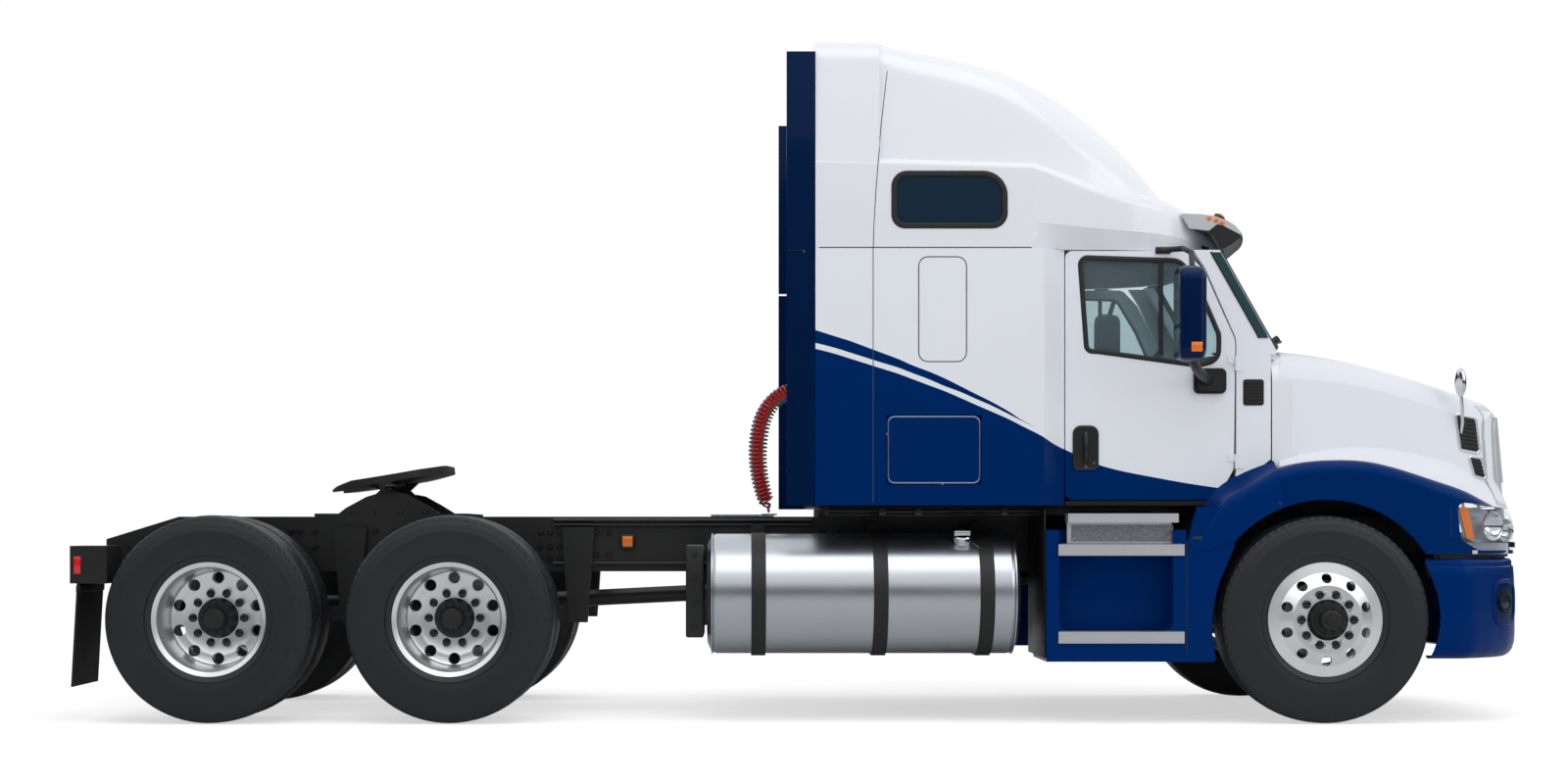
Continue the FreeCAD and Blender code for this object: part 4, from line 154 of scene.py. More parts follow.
@dataclass(frozen=True)
class Finish:
    """A surface as it is made: base colour, gloss and the size of its grain.

    Its shader(), base(), gloss() and grain() each add nodes to a tree, at the place socket that
    shader() is given, and give back the socket of their result.

    Attributes:
        name: The material's common name.
        colour: sRGB hex of the base.
        shade: sRGB hex that the grain and stains drift to.
        roughness: Surface roughness.
        metallic: 1 for bare metal.
        ior: Refractive index; a metal keeps 1.5.
        coat: Weight of a clear coat.
        grain_mm: Size of the grain.
        relief_mm: Depth of the grain.
        drift: How much of the shade shows.
        specular: Strength of the plain reflection; 0.5 is the real one of the refractive index.
        tint: sRGB hex of the plain reflection.
        slot: The record's material slot that its pieces share, if any.
    """

    name: str
    colour: str
    shade: str
    roughness: float
    metallic: float = 0.0
    ior: float = 1.5
    coat: float = 0.0
    grain_mm: float = 2.0
    relief_mm: float = 0.02
    drift: float = 0.4
    specular: float = 0.5
    tint: str = "#ffffff"
    slot: str = ""

    def material(self) -> bpy.types.Material:
        """The material, made the first time it is asked for."""
        found = bpy.data.materials.get(self.name)
        if found:
            return found
        made = bpy.data.materials.new(self.name)
        made.use_nodes = True
        tree = made.node_tree
        tree.nodes.clear()
        place = add_node(tree, "TexCoord").outputs["Object"]
        add_node(tree, "OutputMaterial", Surface=self.shader(tree, place))
        made.diffuse_color = linear(self.colour)
        return made

    def shader(self, tree: Tree, place: Socket) -> Socket:
        """Builds the surface's nodes.

        Args:
            tree: The material's node tree.
            place: Socket with the point on the piece, in metres of the truck's frame.

        Returns:
            The shader's socket.
        """
        height = self.grain(tree, place)
        bump = add_node(tree, "Bump", Strength=1.0, Distance=self.relief_mm * MM, Height=height)
        surface = add_node(
            tree,
            "BsdfPrincipled",
            Base_Color=self.base(tree, place),
            Metallic=self.metallic,
            IOR=self.ior,
            Specular_IOR_Level=self.specular,
            Specular_Tint=linear(self.tint),
            Coat_Weight=self.coat,
            Coat_Roughness=0.03,
            Roughness=self.gloss(tree, place),
            Normal=bump.outputs[0],
        )
        return surface.outputs[0]

    def base(self, tree: Tree, place: Socket) -> Socket:
        """The base colour, drifting slowly to the shade."""
        noise = add_node(tree, "TexNoise", Vector=place, Scale=2.5, Detail=4.0).outputs[0]
        share = add_node(tree, "Math", {"operation": "MULTIPLY"}, i0=noise, i1=self.drift).outputs[0]
        colours = {"i6": linear(self.colour), "i7": linear(self.shade)}
        return add_node(tree, "Mix", {"data_type": "RGBA"}, i0=share, **colours).outputs[2]

    def gloss(self, tree: Tree, place: Socket) -> Socket:
        """The roughness, a little uneven as on any handled surface."""
        noise = add_node(tree, "TexNoise", Vector=place, Scale=6.0, Detail=3.0).outputs[0]
        low, high = self.roughness * 0.85, min(self.roughness * 1.15, 1.0)
        return add_node(tree, "MapRange", Value=noise, To_Min=low, To_Max=high).outputs[0]

    def grain(self, tree: Tree, place: Socket) -> Socket:
        """The height of the grain."""
        scale = 1 / (self.grain_mm * MM)
        return add_node(tree, "TexNoise", Vector=place, Scale=scale, Detail=2.0).outputs[0]


@dataclass(frozen=True)
class Glazing(Finish):
    """Sheet glass: clear with a tint, or dark where only the room behind shows."""

    clear: float = 0.8

    def shader(self, tree: Tree, place: Socket) -> Socket:
        """A gloss over a share of straight-through tinted light."""
        gloss = super().shader(tree, place)
        through = add_node(tree, "BsdfTransparent", Color=linear(self.shade)).outputs[0]
        return add_node(tree, "MixShader", i0=1 - self.clear, i1=through, i2=gloss).outputs[0]


@dataclass(frozen=True)
class Livery(Finish):
    """White body paint with the blue lower band and the wedge over it, or the blue wings.

    Attributes:
        under: sRGB hex of the blue.
        band: (x, z) down the upper edge of the blue, in metres.
        wedge: (x, upper z, lower z) of the wedge over the band.
    """

    under: str = "#002761"
    band: tuple[Flat, ...] = ()
    wedge: tuple[Point, ...] = ()

    def base(self, tree: Tree, place: Socket) -> Socket:
        """White above the band's edge, blue below it and in the wedge."""
        less, more = {"operation": "LESS_THAN"}, {"operation": "GREATER_THAN"}
        x, _, z = add_node(tree, "SeparateXYZ", Vector=place).outputs
        blue = add_node(tree, "Math", less, i0=z, i1=edge_line(tree, x, self.band)).outputs[0]
        if self.wedge:
            top = edge_line(tree, x, [(at, upper) for at, upper, _ in self.wedge])
            low = edge_line(tree, x, [(at, lower) for at, _, lower in self.wedge])
            under = add_node(tree, "Math", less, i0=z, i1=top).outputs[0]
            over = add_node(tree, "Math", more, i0=z, i1=low).outputs[0]
            inside = add_node(tree, "Math", {"operation": "MULTIPLY"}, i0=under, i1=over).outputs[0]
            blue = add_node(tree, "Math", {"operation": "MAXIMUM"}, i0=blue, i1=inside).outputs[0]
        colours = {"i6": super().base(tree, place), "i7": linear(self.under)}
        return add_node(tree, "Mix", {"data_type": "RGBA"}, i0=blue, **colours).outputs[2]


@dataclass(frozen=True)
class WheelAlloy(Finish):
    """Polished disc wheel whose hub, inside the pilot, is painted black."""

    centre_x: float = 0.0
    hub: str = "#141517"
    pilot: float = 0.112

    def shader(self, tree: Tree, place: Socket) -> Socket:
        """Bare metal outside the pilot radius, satin paint inside it."""
        metal = super().shader(tree, place)
        apart = add_node(
            tree, "VectorMath", {"operation": "MULTIPLY_ADD"}, i0=place, i1=(1.0, 0.0, 1.0),
            i2=(-self.centre_x, 0.0, -HUB_Z),
        ).outputs[0]
        radius = add_node(tree, "VectorMath", {"operation": "LENGTH"}, i0=apart).outputs["Value"]
        inside = add_node(tree, "Math", {"operation": "LESS_THAN"}, i0=radius, i1=self.pilot).outputs[0]
        paint = add_node(tree, "BsdfPrincipled", Base_Color=linear(self.hub), Roughness=0.4).outputs[0]
        return add_node(tree, "MixShader", i0=inside, i1=metal, i2=paint).outputs[0]


@dataclass(frozen=True)
class Brushed(Finish):
    """Metal brushed one way: the grain is drawn out round the X axis."""

    stretch: Point = (700.0, 9.0, 9.0)

    def grain(self, tree: Tree, place: Socket) -> Socket:
        """Fine lines round the drum."""
        drawn = add_node(tree, "Mapping", Vector=place, Scale=self.stretch).outputs[0]
        return add_node(tree, "TexNoise", Vector=drawn, Scale=1.0, Detail=3.0).outputs[0]


@dataclass(frozen=True)
class TreadPlate(Finish):
    """Plate rolled with raised lozenges that lean alternately either way."""

    pitch: float = 0.028
    lean: float = math.radians(38)

    def grain(self, tree: Tree, place: Socket) -> Socket:
        """Two rows of lozenges crossed."""
        heights = []
        for turn in (self.lean, -self.lean):
            mapped = add_node(
                tree, "Mapping", Vector=place, Rotation=(turn, turn, turn),
                Scale=(1 / self.pitch, 1 / self.pitch, 2.6 / self.pitch),
            ).outputs[0]
            cell = add_node(
                tree, "TexVoronoi", {"distance": "CHEBYCHEV"}, Vector=mapped, Scale=1.0, Randomness=0.0
            ).outputs["Distance"]
            heights.append(add_node(
                tree, "MapRange", Value=cell, From_Min=0.18, From_Max=0.34, To_Min=1.0, To_Max=0.0
            ).outputs[0])
        return add_node(tree, "Math", {"operation": "MAXIMUM"}, i0=heights[0], i1=heights[1]).outputs[0]


# The upper edge of the cab's blue: (x, z).
BAND = (
    (0.04, 2.052), (0.146, 2.025), (0.232, 1.998), (0.318, 1.971), (0.403, 1.944), (0.489, 1.917),
    (0.575, 1.885), (0.66, 1.853), (0.746, 1.821), (0.832, 1.784), (0.917, 1.746), (1.003, 1.709),
    (1.089, 1.671), (1.174, 1.628), (1.26, 1.585), (1.346, 1.537), (1.42, 1.504), (1.598, 1.423),
    (1.911, 1.352), (2.341, 1.284), (2.56, 1.262),
)
# The wedge over it: (x, upper z, lower z); its tip lies under the band's edge.
WEDGE = (
    (0.04, 2.155, 2.084), (0.146, 2.121, 2.057), (0.232, 2.094, 2.03), (0.318, 2.062, 2.003),
    (0.403, 2.03, 1.976), (0.489, 1.998, 1.95), (0.575, 1.96, 1.917), (0.66, 1.928, 1.885),
    (0.746, 1.891, 1.848), (0.832, 1.848, 1.816), (0.917, 1.805, 1.778), (1.003, 1.762, 1.741),
    (1.089, 1.714, 1.698), (1.19, 1.651, 1.648), (2.56, 1.1, 1.1),
)
# The upper edge of the wings' blue: (x, z).
WING_EDGE = (
    (2.34, 1.286), (2.461, 1.349), (2.659, 1.424), (2.889, 1.446), (3.044, 1.44), (3.274, 1.387),
    (3.472, 1.323), (3.616, 1.272), (3.78, 1.2), (3.92, 1.15), (4.04, 1.12),
)
PAINTED = {"coat": 0.03, "relief_mm": 0.003, "specular": 0.3, "tint": "#1e78d2"}

# Sprayed two-pack paint on the roof: a clean cool white with one broad, soft highlight.
WHITE = Finish(
    "polyurethane_paint_white", "#e8ebf1", "#e1e5ec", 0.22, coat=0.6, relief_mm=0.003, slot="white_paint"
)
# The same paint masked in two tones: crisp edges, white above and a deep, calm blue below.
BODY = Livery("two_tone_cab_paint", "#e8ebf1", "#e1e5ec", 0.3, band=BAND, wedge=WEDGE, **PAINTED)
# As the cab, but the colours part along the wing's crease.
WINGS = Livery("two_tone_bonnet_paint", "#e8ebf1", "#e1e5ec", 0.3, band=WING_EDGE, **PAINTED)
# White walls whose foot is black undercoat, so that the cab seems to float over the frame.
UNDERSIDE = Livery(
    "cab_shell_paint", "#e8ebf1", "#e1e5ec", 0.3, coat=0.3, relief_mm=0.003, under="#121315",
    band=((0.0, 1.236), (1.0, 1.236), (3.0, 1.236)),
)
# Blue two-pack paint: saturated, with a blue rather than white sheen where light grazes it.
BLUE = Finish("polyurethane_paint_blue", "#002968", "#00245e", 0.3, **PAINTED, slot="blue_paint")
# Navy paint of mirrors and extenders: nearly black in shade, blue only in its highlight. On the bumper's fog
# lamp recesses it is painted shade, standing for the bumper's blue in shadow.
NAVY = Finish(
    "polyurethane_paint_navy", "#00173f", "#001236", 0.3, coat=0.1, relief_mm=0.003, tint="#4f7fb0",
    slot="dark_blue_paint",
)
# Brushed-on chassis enamel: flat black with a faint satin edge.
CHASSIS = Finish(
    "chassis_enamel_black", "#121315", "#1d1e20", 0.4, grain_mm=4, relief_mm=0.05, slot="frame_paint"
)
# Sand casting under paint: dull and slightly pebbled.
CAST = Finish(
    "cast_iron_painted", "#121315", "#1e1f22", 0.55, grain_mm=3, relief_mm=0.2, slot="frame_paint"
)
# Phosphated nuts and bolts: dark grey metal that glints on its flats.
BOLT = Finish("phosphated_steel", "#3a3b3e", "#2c2d30", 0.26, metallic=0.75, slot="frame_paint")
# Zinc plate: mid-grey metal with a soft glint.
STEEL = Finish("zinc_plated_steel", "#7d8084", "#6a6d71", 0.32, metallic=1.0, slot="chrome")
# Forged and turned aluminium: bright, with a clear but softened reflection.
ALUMINIUM = Finish("forged_aluminium", "#cfd1d4", "#bcbfc3", 0.2, metallic=1.0, drift=0.3)
# Tank skin brushed round the drum: its highlight spreads into a long band.
TANK = Brushed(
    "brushed_aluminium", "#c2c7ce", "#b2b7be", 0.3, metallic=1.0, relief_mm=0.0015,
    slot="polished_aluminium",
)
# Rolled tread plate: its lozenges, drawn deep enough to show, break the light into sparkle.
TREAD = TreadPlate(
    "aluminium_tread_plate", "#9b9ea4", "#8b8e94", 0.3, metallic=0.9, relief_mm=2.2,
    slot="polished_aluminium",
)
# Extruded step plank: pale, matt metal with drawn lines.
PLANK = Brushed("drawn_aluminium_plank", "#cdd0d6", "#bfc2c8", 0.42, metallic=0.7, relief_mm=0.01)
# Chromium plate: a mirror that takes its dark and light from the surroundings.
CHROME = Finish("chromium_plate", "#d9dadd", "#cfd0d4", 0.07, metallic=1.0, relief_mm=0.002, slot="chrome")
# Satin chromium: bright but misty.
SATIN = Finish(
    "satin_chromium_plate", "#e4e6ea", "#d9dce1", 0.35, metallic=0.85, relief_mm=0.002, slot="chrome"
)
# Anodised trim: light grey from every side, as its oxide scatters the light.
BRIGHT = Finish(
    "anodised_aluminium_trim", "#d3d6db", "#c4c8ce", 0.38, metallic=0.35, relief_mm=0.002, slot="chrome"
)
# Anodised edge strip: a thin cool line round a panel.
STRIP = Finish("anodised_edge_strip", "#9aa4b4", "#8893a5", 0.3, metallic=1.0)
# Tyre compound: blue-black with a waxy sheen on the sidewall.
TYRE = Finish("tyre_rubber", "#14161b", "#1d2027", 0.46, grain_mm=1.5, relief_mm=0.04, slot="tyre")
# Extruded and moulded rubber: dead black and dull.
RUBBER = Finish("moulded_rubber", "#0e0e10", "#171719", 0.55, grain_mm=2, relief_mm=0.05, slot="rubber")
# Grained ABS: black with a broad soft gloss.
PLASTIC = Finish(
    "abs_plastic_black", "#101113", "#17181a", 0.4, grain_mm=1.2, relief_mm=0.04, slot="black_plastic"
)
# Moulded polypropylene of the cab's inside: even dark grey.
TRIM = Finish(
    "polypropylene_grey", "#3b3c3f", "#333437", 0.6, grain_mm=1.2, relief_mm=0.08, slot="interior_plastic"
)
# Woven seat cloth: no gloss at all, with threads that catch a little light.
CLOTH = Finish(
    "woven_upholstery", "#3c3e44", "#34363b", 0.85, grain_mm=1.0, relief_mm=0.2, slot="upholstery"
)
# The shadow in a joint between panels: a thin dark line.
SEAM = Finish("panel_joint_shadow", "#3a3c40", "#2c2e31", 0.7)
# Ribbed acrylic lenses: strong colour under a clear gloss.
AMBER = Finish("acrylic_amber", "#f07808", "#e06a06", 0.18, coat=0.5, grain_mm=4, relief_mm=0.3)
RED = Finish("acrylic_red", "#e81418", "#d01014", 0.18, coat=0.5, grain_mm=4, relief_mm=0.3)
# Hard-coated polycarbonate: all but invisible, save for its sharp reflections.
LAMP = Glazing("polycarbonate_lens", "#c9ced3", "#fafcff", 0.04, clear=0.93, relief_mm=0.0)
# Toughened glass: a faint cool tint over the cab's inside.
GLASS = Glazing(
    "toughened_glass_green", "#8ba3ab", "#e9f2f4", 0.03, clear=0.88, relief_mm=0.0, slot="glass"
)
# Laminated glass seen through its edge: deep grey-green.
EDGE = Glazing("laminated_glass_edge", "#2c4a50", "#3c5c62", 0.05, clear=0.1, relief_mm=0.0, slot="glass")
# Privacy glass: a dark pane that hides the bunk and reflects the sky.
PRIVACY = Glazing("privacy_glass", "#1b3042", "#1c2a3d", 0.08, clear=0.1, relief_mm=0.0, slot="glass")
# Extruded nylon hose: bright, smooth plastic with a narrow highlight down each turn.
HOSES = {
    "red_air_coil": Finish("nylon_hose_red", "#c4141e", "#aa1018", 0.3, grain_mm=1.0),
    "green_electric_coil": Finish("nylon_hose_green", "#0e7458", "#0b6049", 0.3, grain_mm=1.0),
    "blue_air_coil": Finish("nylon_hose_blue", "#1a48c0", "#153ca4", 0.3, grain_mm=1.0),
}


def dress(finish: Finish, *nodes: str) -> None:
    """Gives carried-over nodes a finish.

    Args:
        finish: The finish.
        nodes: The nodes' names.
    """
    for name in nodes:
        slots = frame["nodes"][name].data.materials
        slots.clear()
        slots.append(finish.material())


# ---------------------------------------------------------------- mesh stock


def rounded(corners: Sequence[Point], steps: int = 5) -> list[Flat]:
    """A closed outline with its corners rounded.

    Args:
        corners: (a, b, radius) of each corner in order.
        steps: Points in each arc, less one.

    Returns:
        The outline's points.
    """
    line: list[Flat] = []
    for i, (a, b, radius) in enumerate(corners):
        here = Vector((a, b))
        if radius <= 0:
            line.append((a, b))
            continue
        back = Vector(corners[i - 1][:2]) - here
        ahead = Vector(corners[(i + 1) % len(corners)][:2]) - here
        half = back.angle(ahead) / 2
        reach = min(radius / math.tan(half), 0.49 * back.length, 0.49 * ahead.length)
        size = reach * math.tan(half)
        centre = here + (back.normalized() + ahead.normalized()).normalized() * size / math.sin(half)
        start = here + back.normalized() * reach - centre
        end = here + ahead.normalized() * reach - centre
        turn = math.atan2(start.x * end.y - start.y * end.x, start.dot(end))
        for k in range(steps + 1):
            line.append(tuple(centre + Matrix.Rotation(turn * k / steps, 2) @ start))
    return line


def plate(low: Flat, high: Flat, radius: float) -> list[Flat]:
    """The outline of a plate with rounded corners.

    Args:
        low: Its lower corner.
        high: Its upper corner.
        radius: Radius of its corners.

    Returns:
        The outline's points.
    """
    (a, b), (c, d) = low, high
    return rounded([(a, b, radius), (c, b, radius), (c, d, radius), (a, d, radius)])


class Stock:
    """Raw stock for one piece: forms are added in metres of the truck's frame, then cut loose."""

    def __init__(self, name: str, finish: Finish, body: str = "chassis", slot: str | None = None) -> None:
        """Starts an empty piece.

        Args:
            name: The piece's name.
            finish: Its finish.
            body: The body it rides on.
            slot: A record's material slot; stored but not used.
        """
        self.name, self.finish, self.body = name, finish, body
        self.slot = finish.slot if slot is None else slot
        self.form = bmesh.new()

    def add(self, points: Iterable[Vector], faces: Iterable[Sequence[int]]) -> None:
        """Adds loose faces.

        Args:
            points: Their points.
            faces: Numbers of the points round each face.
        """
        verts = [self.form.verts.new(point) for point in points]
        for face in faces:
            corners = [verts[i] for i in face]
            if len(set(corners)) > 2:
                self.form.faces.new(corners)

    def sheet(
        self, points: Iterable[Vector], wide: int, ring: bool = False, capped: bool = False
    ) -> "Stock":
        """Adds rows of points with the faces between them.

        Args:
            points: The points, row after row.
            wide: Points in a row.
            ring: Whether each row closes on itself.
            capped: Whether a face closes the first and the last row.

        Returns:
            This stock.
        """
        points = list(points)
        last = len(points) - wide
        faces = [
            (row + k, row + (k + 1) % wide, row + wide + (k + 1) % wide, row + wide + k)
            for row in range(0, last, wide) for k in range(wide if ring else wide - 1)
        ]
        if capped:
            faces += [range(wide)[::-1], range(last, last + wide)]
        self.add(points, faces)
        return self

    def lathe(
        self, outline: Sequence[Flat], at: Point, along: Point, steps: int = 48, start: float = 0.0,
        ring: Callable[[int, int], Flat] | None = None,
    ) -> "Stock":
        """Turns an outline round an axis.

        Args:
            outline: (distance along the axis, radius) points.
            at: A point on the axis, where the distance is 0.
            along: The axis, as a unit vector.
            steps: Facets round.
            start: Angle of the first facet's edge.
            ring: Moves a point by (along, out), given its step and its place in the outline.

        Returns:
            This stock.
        """
        turn = Vector((0, 0, 1)).rotation_difference(Vector(along)).to_matrix()
        points = []
        for i in range(steps):
            angle = start + 2 * math.pi * i / steps
            for k, (a, r) in enumerate(outline):
                da, dr = ring(i, k) if ring else (0.0, 0.0)
                local = Vector(((r + dr) * math.cos(angle), (r + dr) * math.sin(angle), a + da))
                points.append(Vector(at) + turn @ local)
        return self.sheet(points + points[: len(outline)], len(outline))

    def drum(self, at: Point, along: Point, radius: float, length: float) -> "Stock":
        """Adds a closed round bar with its end edges broken.

        Args:
            at: The middle of its near end.
            along: Its axis, as a unit vector.
            radius: Its radius.
            length: Its length.

        Returns:
            This stock.
        """
        edge = min(radius, length) * 0.12
        outline = [
            (0, 0), (0, radius - edge), (edge, radius), (length - edge, radius), (length, radius - edge),
            (length, 0),
        ]
        return self.lathe(outline, at, along, 24)

    def bolt(self, at: Point, along: Point, across: float) -> "Stock":
        """Adds a hexagon bolt head on its washer.

        Args:
            at: The middle of the washer's foot.
            along: The bolt's axis, as a unit vector.
            across: Width across the flats.

        Returns:
            This stock.
        """
        r = across / math.sqrt(3)
        self.lathe([(0, 0), (0, r * 1.25), (r * 0.2, r * 1.25), (r * 0.2, 0)], at, along, 16)
        outline = [(r * 0.2, 0), (r * 0.2, r), (r * 1.1, r), (r * 1.3, r * 0.82), (r * 1.3, 0)]
        return self.lathe(outline, at, along, 6)

    def block(self, low: Point, high: Point, edge: float = 0.0) -> "Stock":
        """Adds a box.

        Args:
            low: Its lowest corner.
            high: Its highest corner.
            edge: How much its edges are rounded.

        Returns:
            This stock.
        """
        made = bmesh.ops.create_cube(self.form, size=1.0)["verts"]
        middle, size = (Vector(low) + Vector(high)) / 2, Vector(high) - Vector(low)
        for vert in made:
            vert.co = middle + Vector(a * b for a, b in zip(vert.co, size))
        if edge:
            edges = {e for vert in made for e in vert.link_edges}
            bmesh.ops.bevel(self.form, geom=list(edges), offset=edge, segments=2, affect="EDGES", profile=0.5)
        return self

    def prism(self, outline: Sequence[Flat], near: float, far: float, axis: int = 1) -> "Stock":
        """Extrudes an outline.

        Args:
            outline: Points (x, z), (y, z) or (x, y) for an axis of 1, 0 or 2.
            near: Where it starts on the axis.
            far: Where it ends.
            axis: 0 for X, 1 for Y and 2 for Z.

        Returns:
            This stock.
        """
        points = []
        for depth in (near, far):
            for a, b in outline:
                point = [a, b]
                point.insert(axis, depth)
                points.append(Vector(point))
        return self.sheet(points, len(outline), ring=True, capped=True)

    def tube(
        self, path: Sequence[Point], radius: float, closed: bool = False, sides: int = 8,
        flat: float = 1.0,
    ) -> "Stock":
        """Adds a round bar along a path.

        Args:
            path: The points that its middle follows.
            radius: Its radius.
            closed: Whether its end meets its start.
            sides: Facets round.
            flat: How far it is squeezed across Y; 1 leaves it round.

        Returns:
            This stock.
        """
        line = [Vector(point) for point in path]
        count = len(line)
        points, up = [], Vector((0, 1, 0.001)).normalized()
        for i, here in enumerate(line):
            before = line[i - 1] if closed or i else here
            after = line[(i + 1) % count] if closed or i < count - 1 else here
            way = (after - before).normalized()
            wide = way.cross(up)
            wide = wide.normalized() if wide.length > 0.05 else way.orthogonal().normalized()
            high = wide.cross(way)
            for k in range(sides):
                angle = 2 * math.pi * k / sides
                across, over = radius * math.cos(angle), radius * flat * math.sin(angle)
                points.append(here + wide * across + high * over)
        if closed:
            points += points[:sides]
        return self.sheet(points, sides, ring=True, capped=not closed)

    def mirror(self) -> "Stock":
        """Adds the same forms on the other side of the truck."""
        geometry = self.form.verts[:] + self.form.edges[:] + self.form.faces[:]
        copied = bmesh.ops.duplicate(self.form, geom=geometry)["geom"]
        verts = [item for item in copied if isinstance(item, bmesh.types.BMVert)]
        for vert in verts:
            vert.co.y = -vert.co.y
        faces = [item for item in copied if isinstance(item, bmesh.types.BMFace)]
        bmesh.ops.reverse_faces(self.form, faces=faces)
        return self

    def done(self, *stands_for: str, sharp: float = 32.0) -> bpy.types.Object:
        """Cuts the piece loose.

        Args:
            stands_for: Carried-over nodes that it replaces.
            sharp: Edges over this many degrees stay crisp.

        Returns:
            The piece, riding on its body.
        """
        bmesh.ops.remove_doubles(self.form, verts=self.form.verts, dist=1e-5)
        bmesh.ops.recalc_face_normals(self.form, faces=self.form.faces)
        mesh = bpy.data.meshes.new(self.name)
        self.form.to_mesh(mesh)
        self.form.free()
        mesh.shade_smooth()
        mesh.set_sharp_from_angle(angle=math.radians(sharp))
        mesh.materials.append(self.finish.material())
        piece = shown(self.name, mesh)
        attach(piece, self.body)
        if stands_for:
            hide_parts(*stands_for)
        LOG.info("%s: %d faces", self.name, len(mesh.polygons))
        return piece


class Skin:
    """The outside of carried-over nodes, to lay seams and plates on."""

    def __init__(self, *nodes: str) -> None:
        """Reads the nodes' surfaces."""
        self.trees = [
            BVHTree.FromPolygons(
                [vert.co.copy() for vert in frame["nodes"][name].data.vertices],
                [tuple(face.vertices) for face in frame["nodes"][name].data.polygons],
            )
            for name in nodes
        ]

    def side(self, x: float, z: float, proud: float = 0.0, side: Side = Side.RIGHT) -> Point:
        """The point of the surface seen from one side.

        Args:
            x: Where it is looked for, along the truck.
            z: At what height.
            proud: How far the point is lifted off the surface.
            side: The side that it is seen from.

        Returns:
            The point; |y| is 1 where nothing is there.
        """
        from_y, way = 3.0 * side.value, Vector((0, -side.value, 0))
        hits = [tree.ray_cast(Vector((x, from_y, z)), way)[0] for tree in self.trees]
        y = max((abs(hit.y) for hit in hits if hit), default=1.0)
        return (x, (y + proud) * side.value, z)

    def seen(self, x: float, z: float) -> bool:
        """Whether anything shows at (x, z) from the right side."""
        return any(tree.ray_cast(Vector((x, -3.0, z)), Vector((0, 1, 0)))[0] for tree in self.trees)

    def edge(self, x: float, z: float, least: float, step: float) -> float:
        """Where the surface's front edge is, seen from the right side.

        Args:
            x: A place ahead of it.
            z: The height.
            least: The search ends here.
            step: Width of a step of the search.

        Returns:
            The first place, going back, where something shows.
        """
        while x > least and not self.seen(x, z):
            x -= step
        return x

    def front(self, y: float, z: float, proud: float = 0.0) -> Point:
        """The point of the surface seen from ahead.

        Args:
            y: Where it is looked for, across the truck.
            z: At what height.
            proud: How far the point is lifted off the surface.

        Returns:
            The point; x is 4 where nothing is there.
        """
        hits = [tree.ray_cast(Vector((6.0, y, z)), Vector((-1, 0, 0)))[0] for tree in self.trees]
        return (max((hit.x for hit in hits if hit), default=4.0) + proud, y, z)

    def laid(self, line: Iterable[Flat], proud: float = 0.0) -> list[Point]:
        """Lays a line of (x, z) on the right side."""
        return [self.side(x, z, proud) for x, z in line]


def ring_of(count: int, radius: float, x: float, z: float, first: float = 0.0) -> list[tuple[float, Flat]]:
    """Places round a circle in a plane along the truck.

    Args:
        count: How many places.
        radius: The circle's radius.
        x: Its middle along the truck.
        z: Its middle's height.
        first: Angle of the first place.

    Returns:
        The angle and the (x, z) of each place.
    """
    angles = [first + 2 * math.pi * i / count for i in range(count)]
    return [(angle, (x + radius * math.cos(angle), z + radius * math.sin(angle))) for angle in angles]


def shown(name: str, data: bpy.types.ID) -> bpy.types.Object:
    """Puts a new object with this data in the scene."""
    made = bpy.data.objects.new(name, data)
    bpy.context.scene.collection.objects.link(made)
    return made


def applied(piece: bpy.types.Object) -> bpy.types.Mesh:
    """Applies a piece's modifiers.

    Args:
        piece: The piece, which gets the new mesh.

    Returns:
        The new mesh.
    """
    mesh = bpy.data.meshes.new_from_object(piece.evaluated_get(bpy.context.evaluated_depsgraph_get()))
    piece.modifiers.clear()
    piece.data = mesh
    return mesh


def recut(
    node: str, name: str, finish: Finish, body: str, moved: Callable[[Vector], Vector]
) -> None:
    """Makes a piece from a carried-over node, with its points moved.

    Args:
        node: The node, which the piece replaces.
        name: The piece's name.
        finish: Its finish.
        body: The body it rides on.
        moved: Gives a point's new place.
    """
    mesh = frame["nodes"][node].data.copy()
    mesh.name = name
    for vert in mesh.vertices:
        vert.co = moved(vert.co)
    mesh.materials.clear()
    mesh.materials.append(finish.material())
    piece = shown(name, mesh)
    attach(piece, body)
    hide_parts(node)
    LOG.info("%s: %d faces", name, len(mesh.polygons))


# ---------------------------------------------------------------- running gear

# Half a tyre's section from bead to crown: (distance from its middle, radius).
TYRE_HALF = (
    (0.102, 0.2905), (0.112, 0.318), (0.1215, 0.33), (0.126, 0.345), (0.1245, 0.349), (0.13, 0.352),
    (0.1365, 0.385), (0.1393, 0.42), (0.1385, 0.452), (0.137, 0.476), (0.138, 0.483), (0.1362, 0.489),
    (0.133, 0.515), (0.127, 0.538), (0.1235, 0.546), (0.1235, 0.5485), (0.119, 0.5535),
    (0.1165, 0.5625), (0.108, 0.5668), (0.0775, 0.5685), (0.0765, 0.5555), (0.0665, 0.5555),
    (0.0655, 0.569), (0.0355, 0.5705), (0.0345, 0.5575), (0.0245, 0.5575), (0.0235, 0.5715),
    (0.0, 0.572),
)

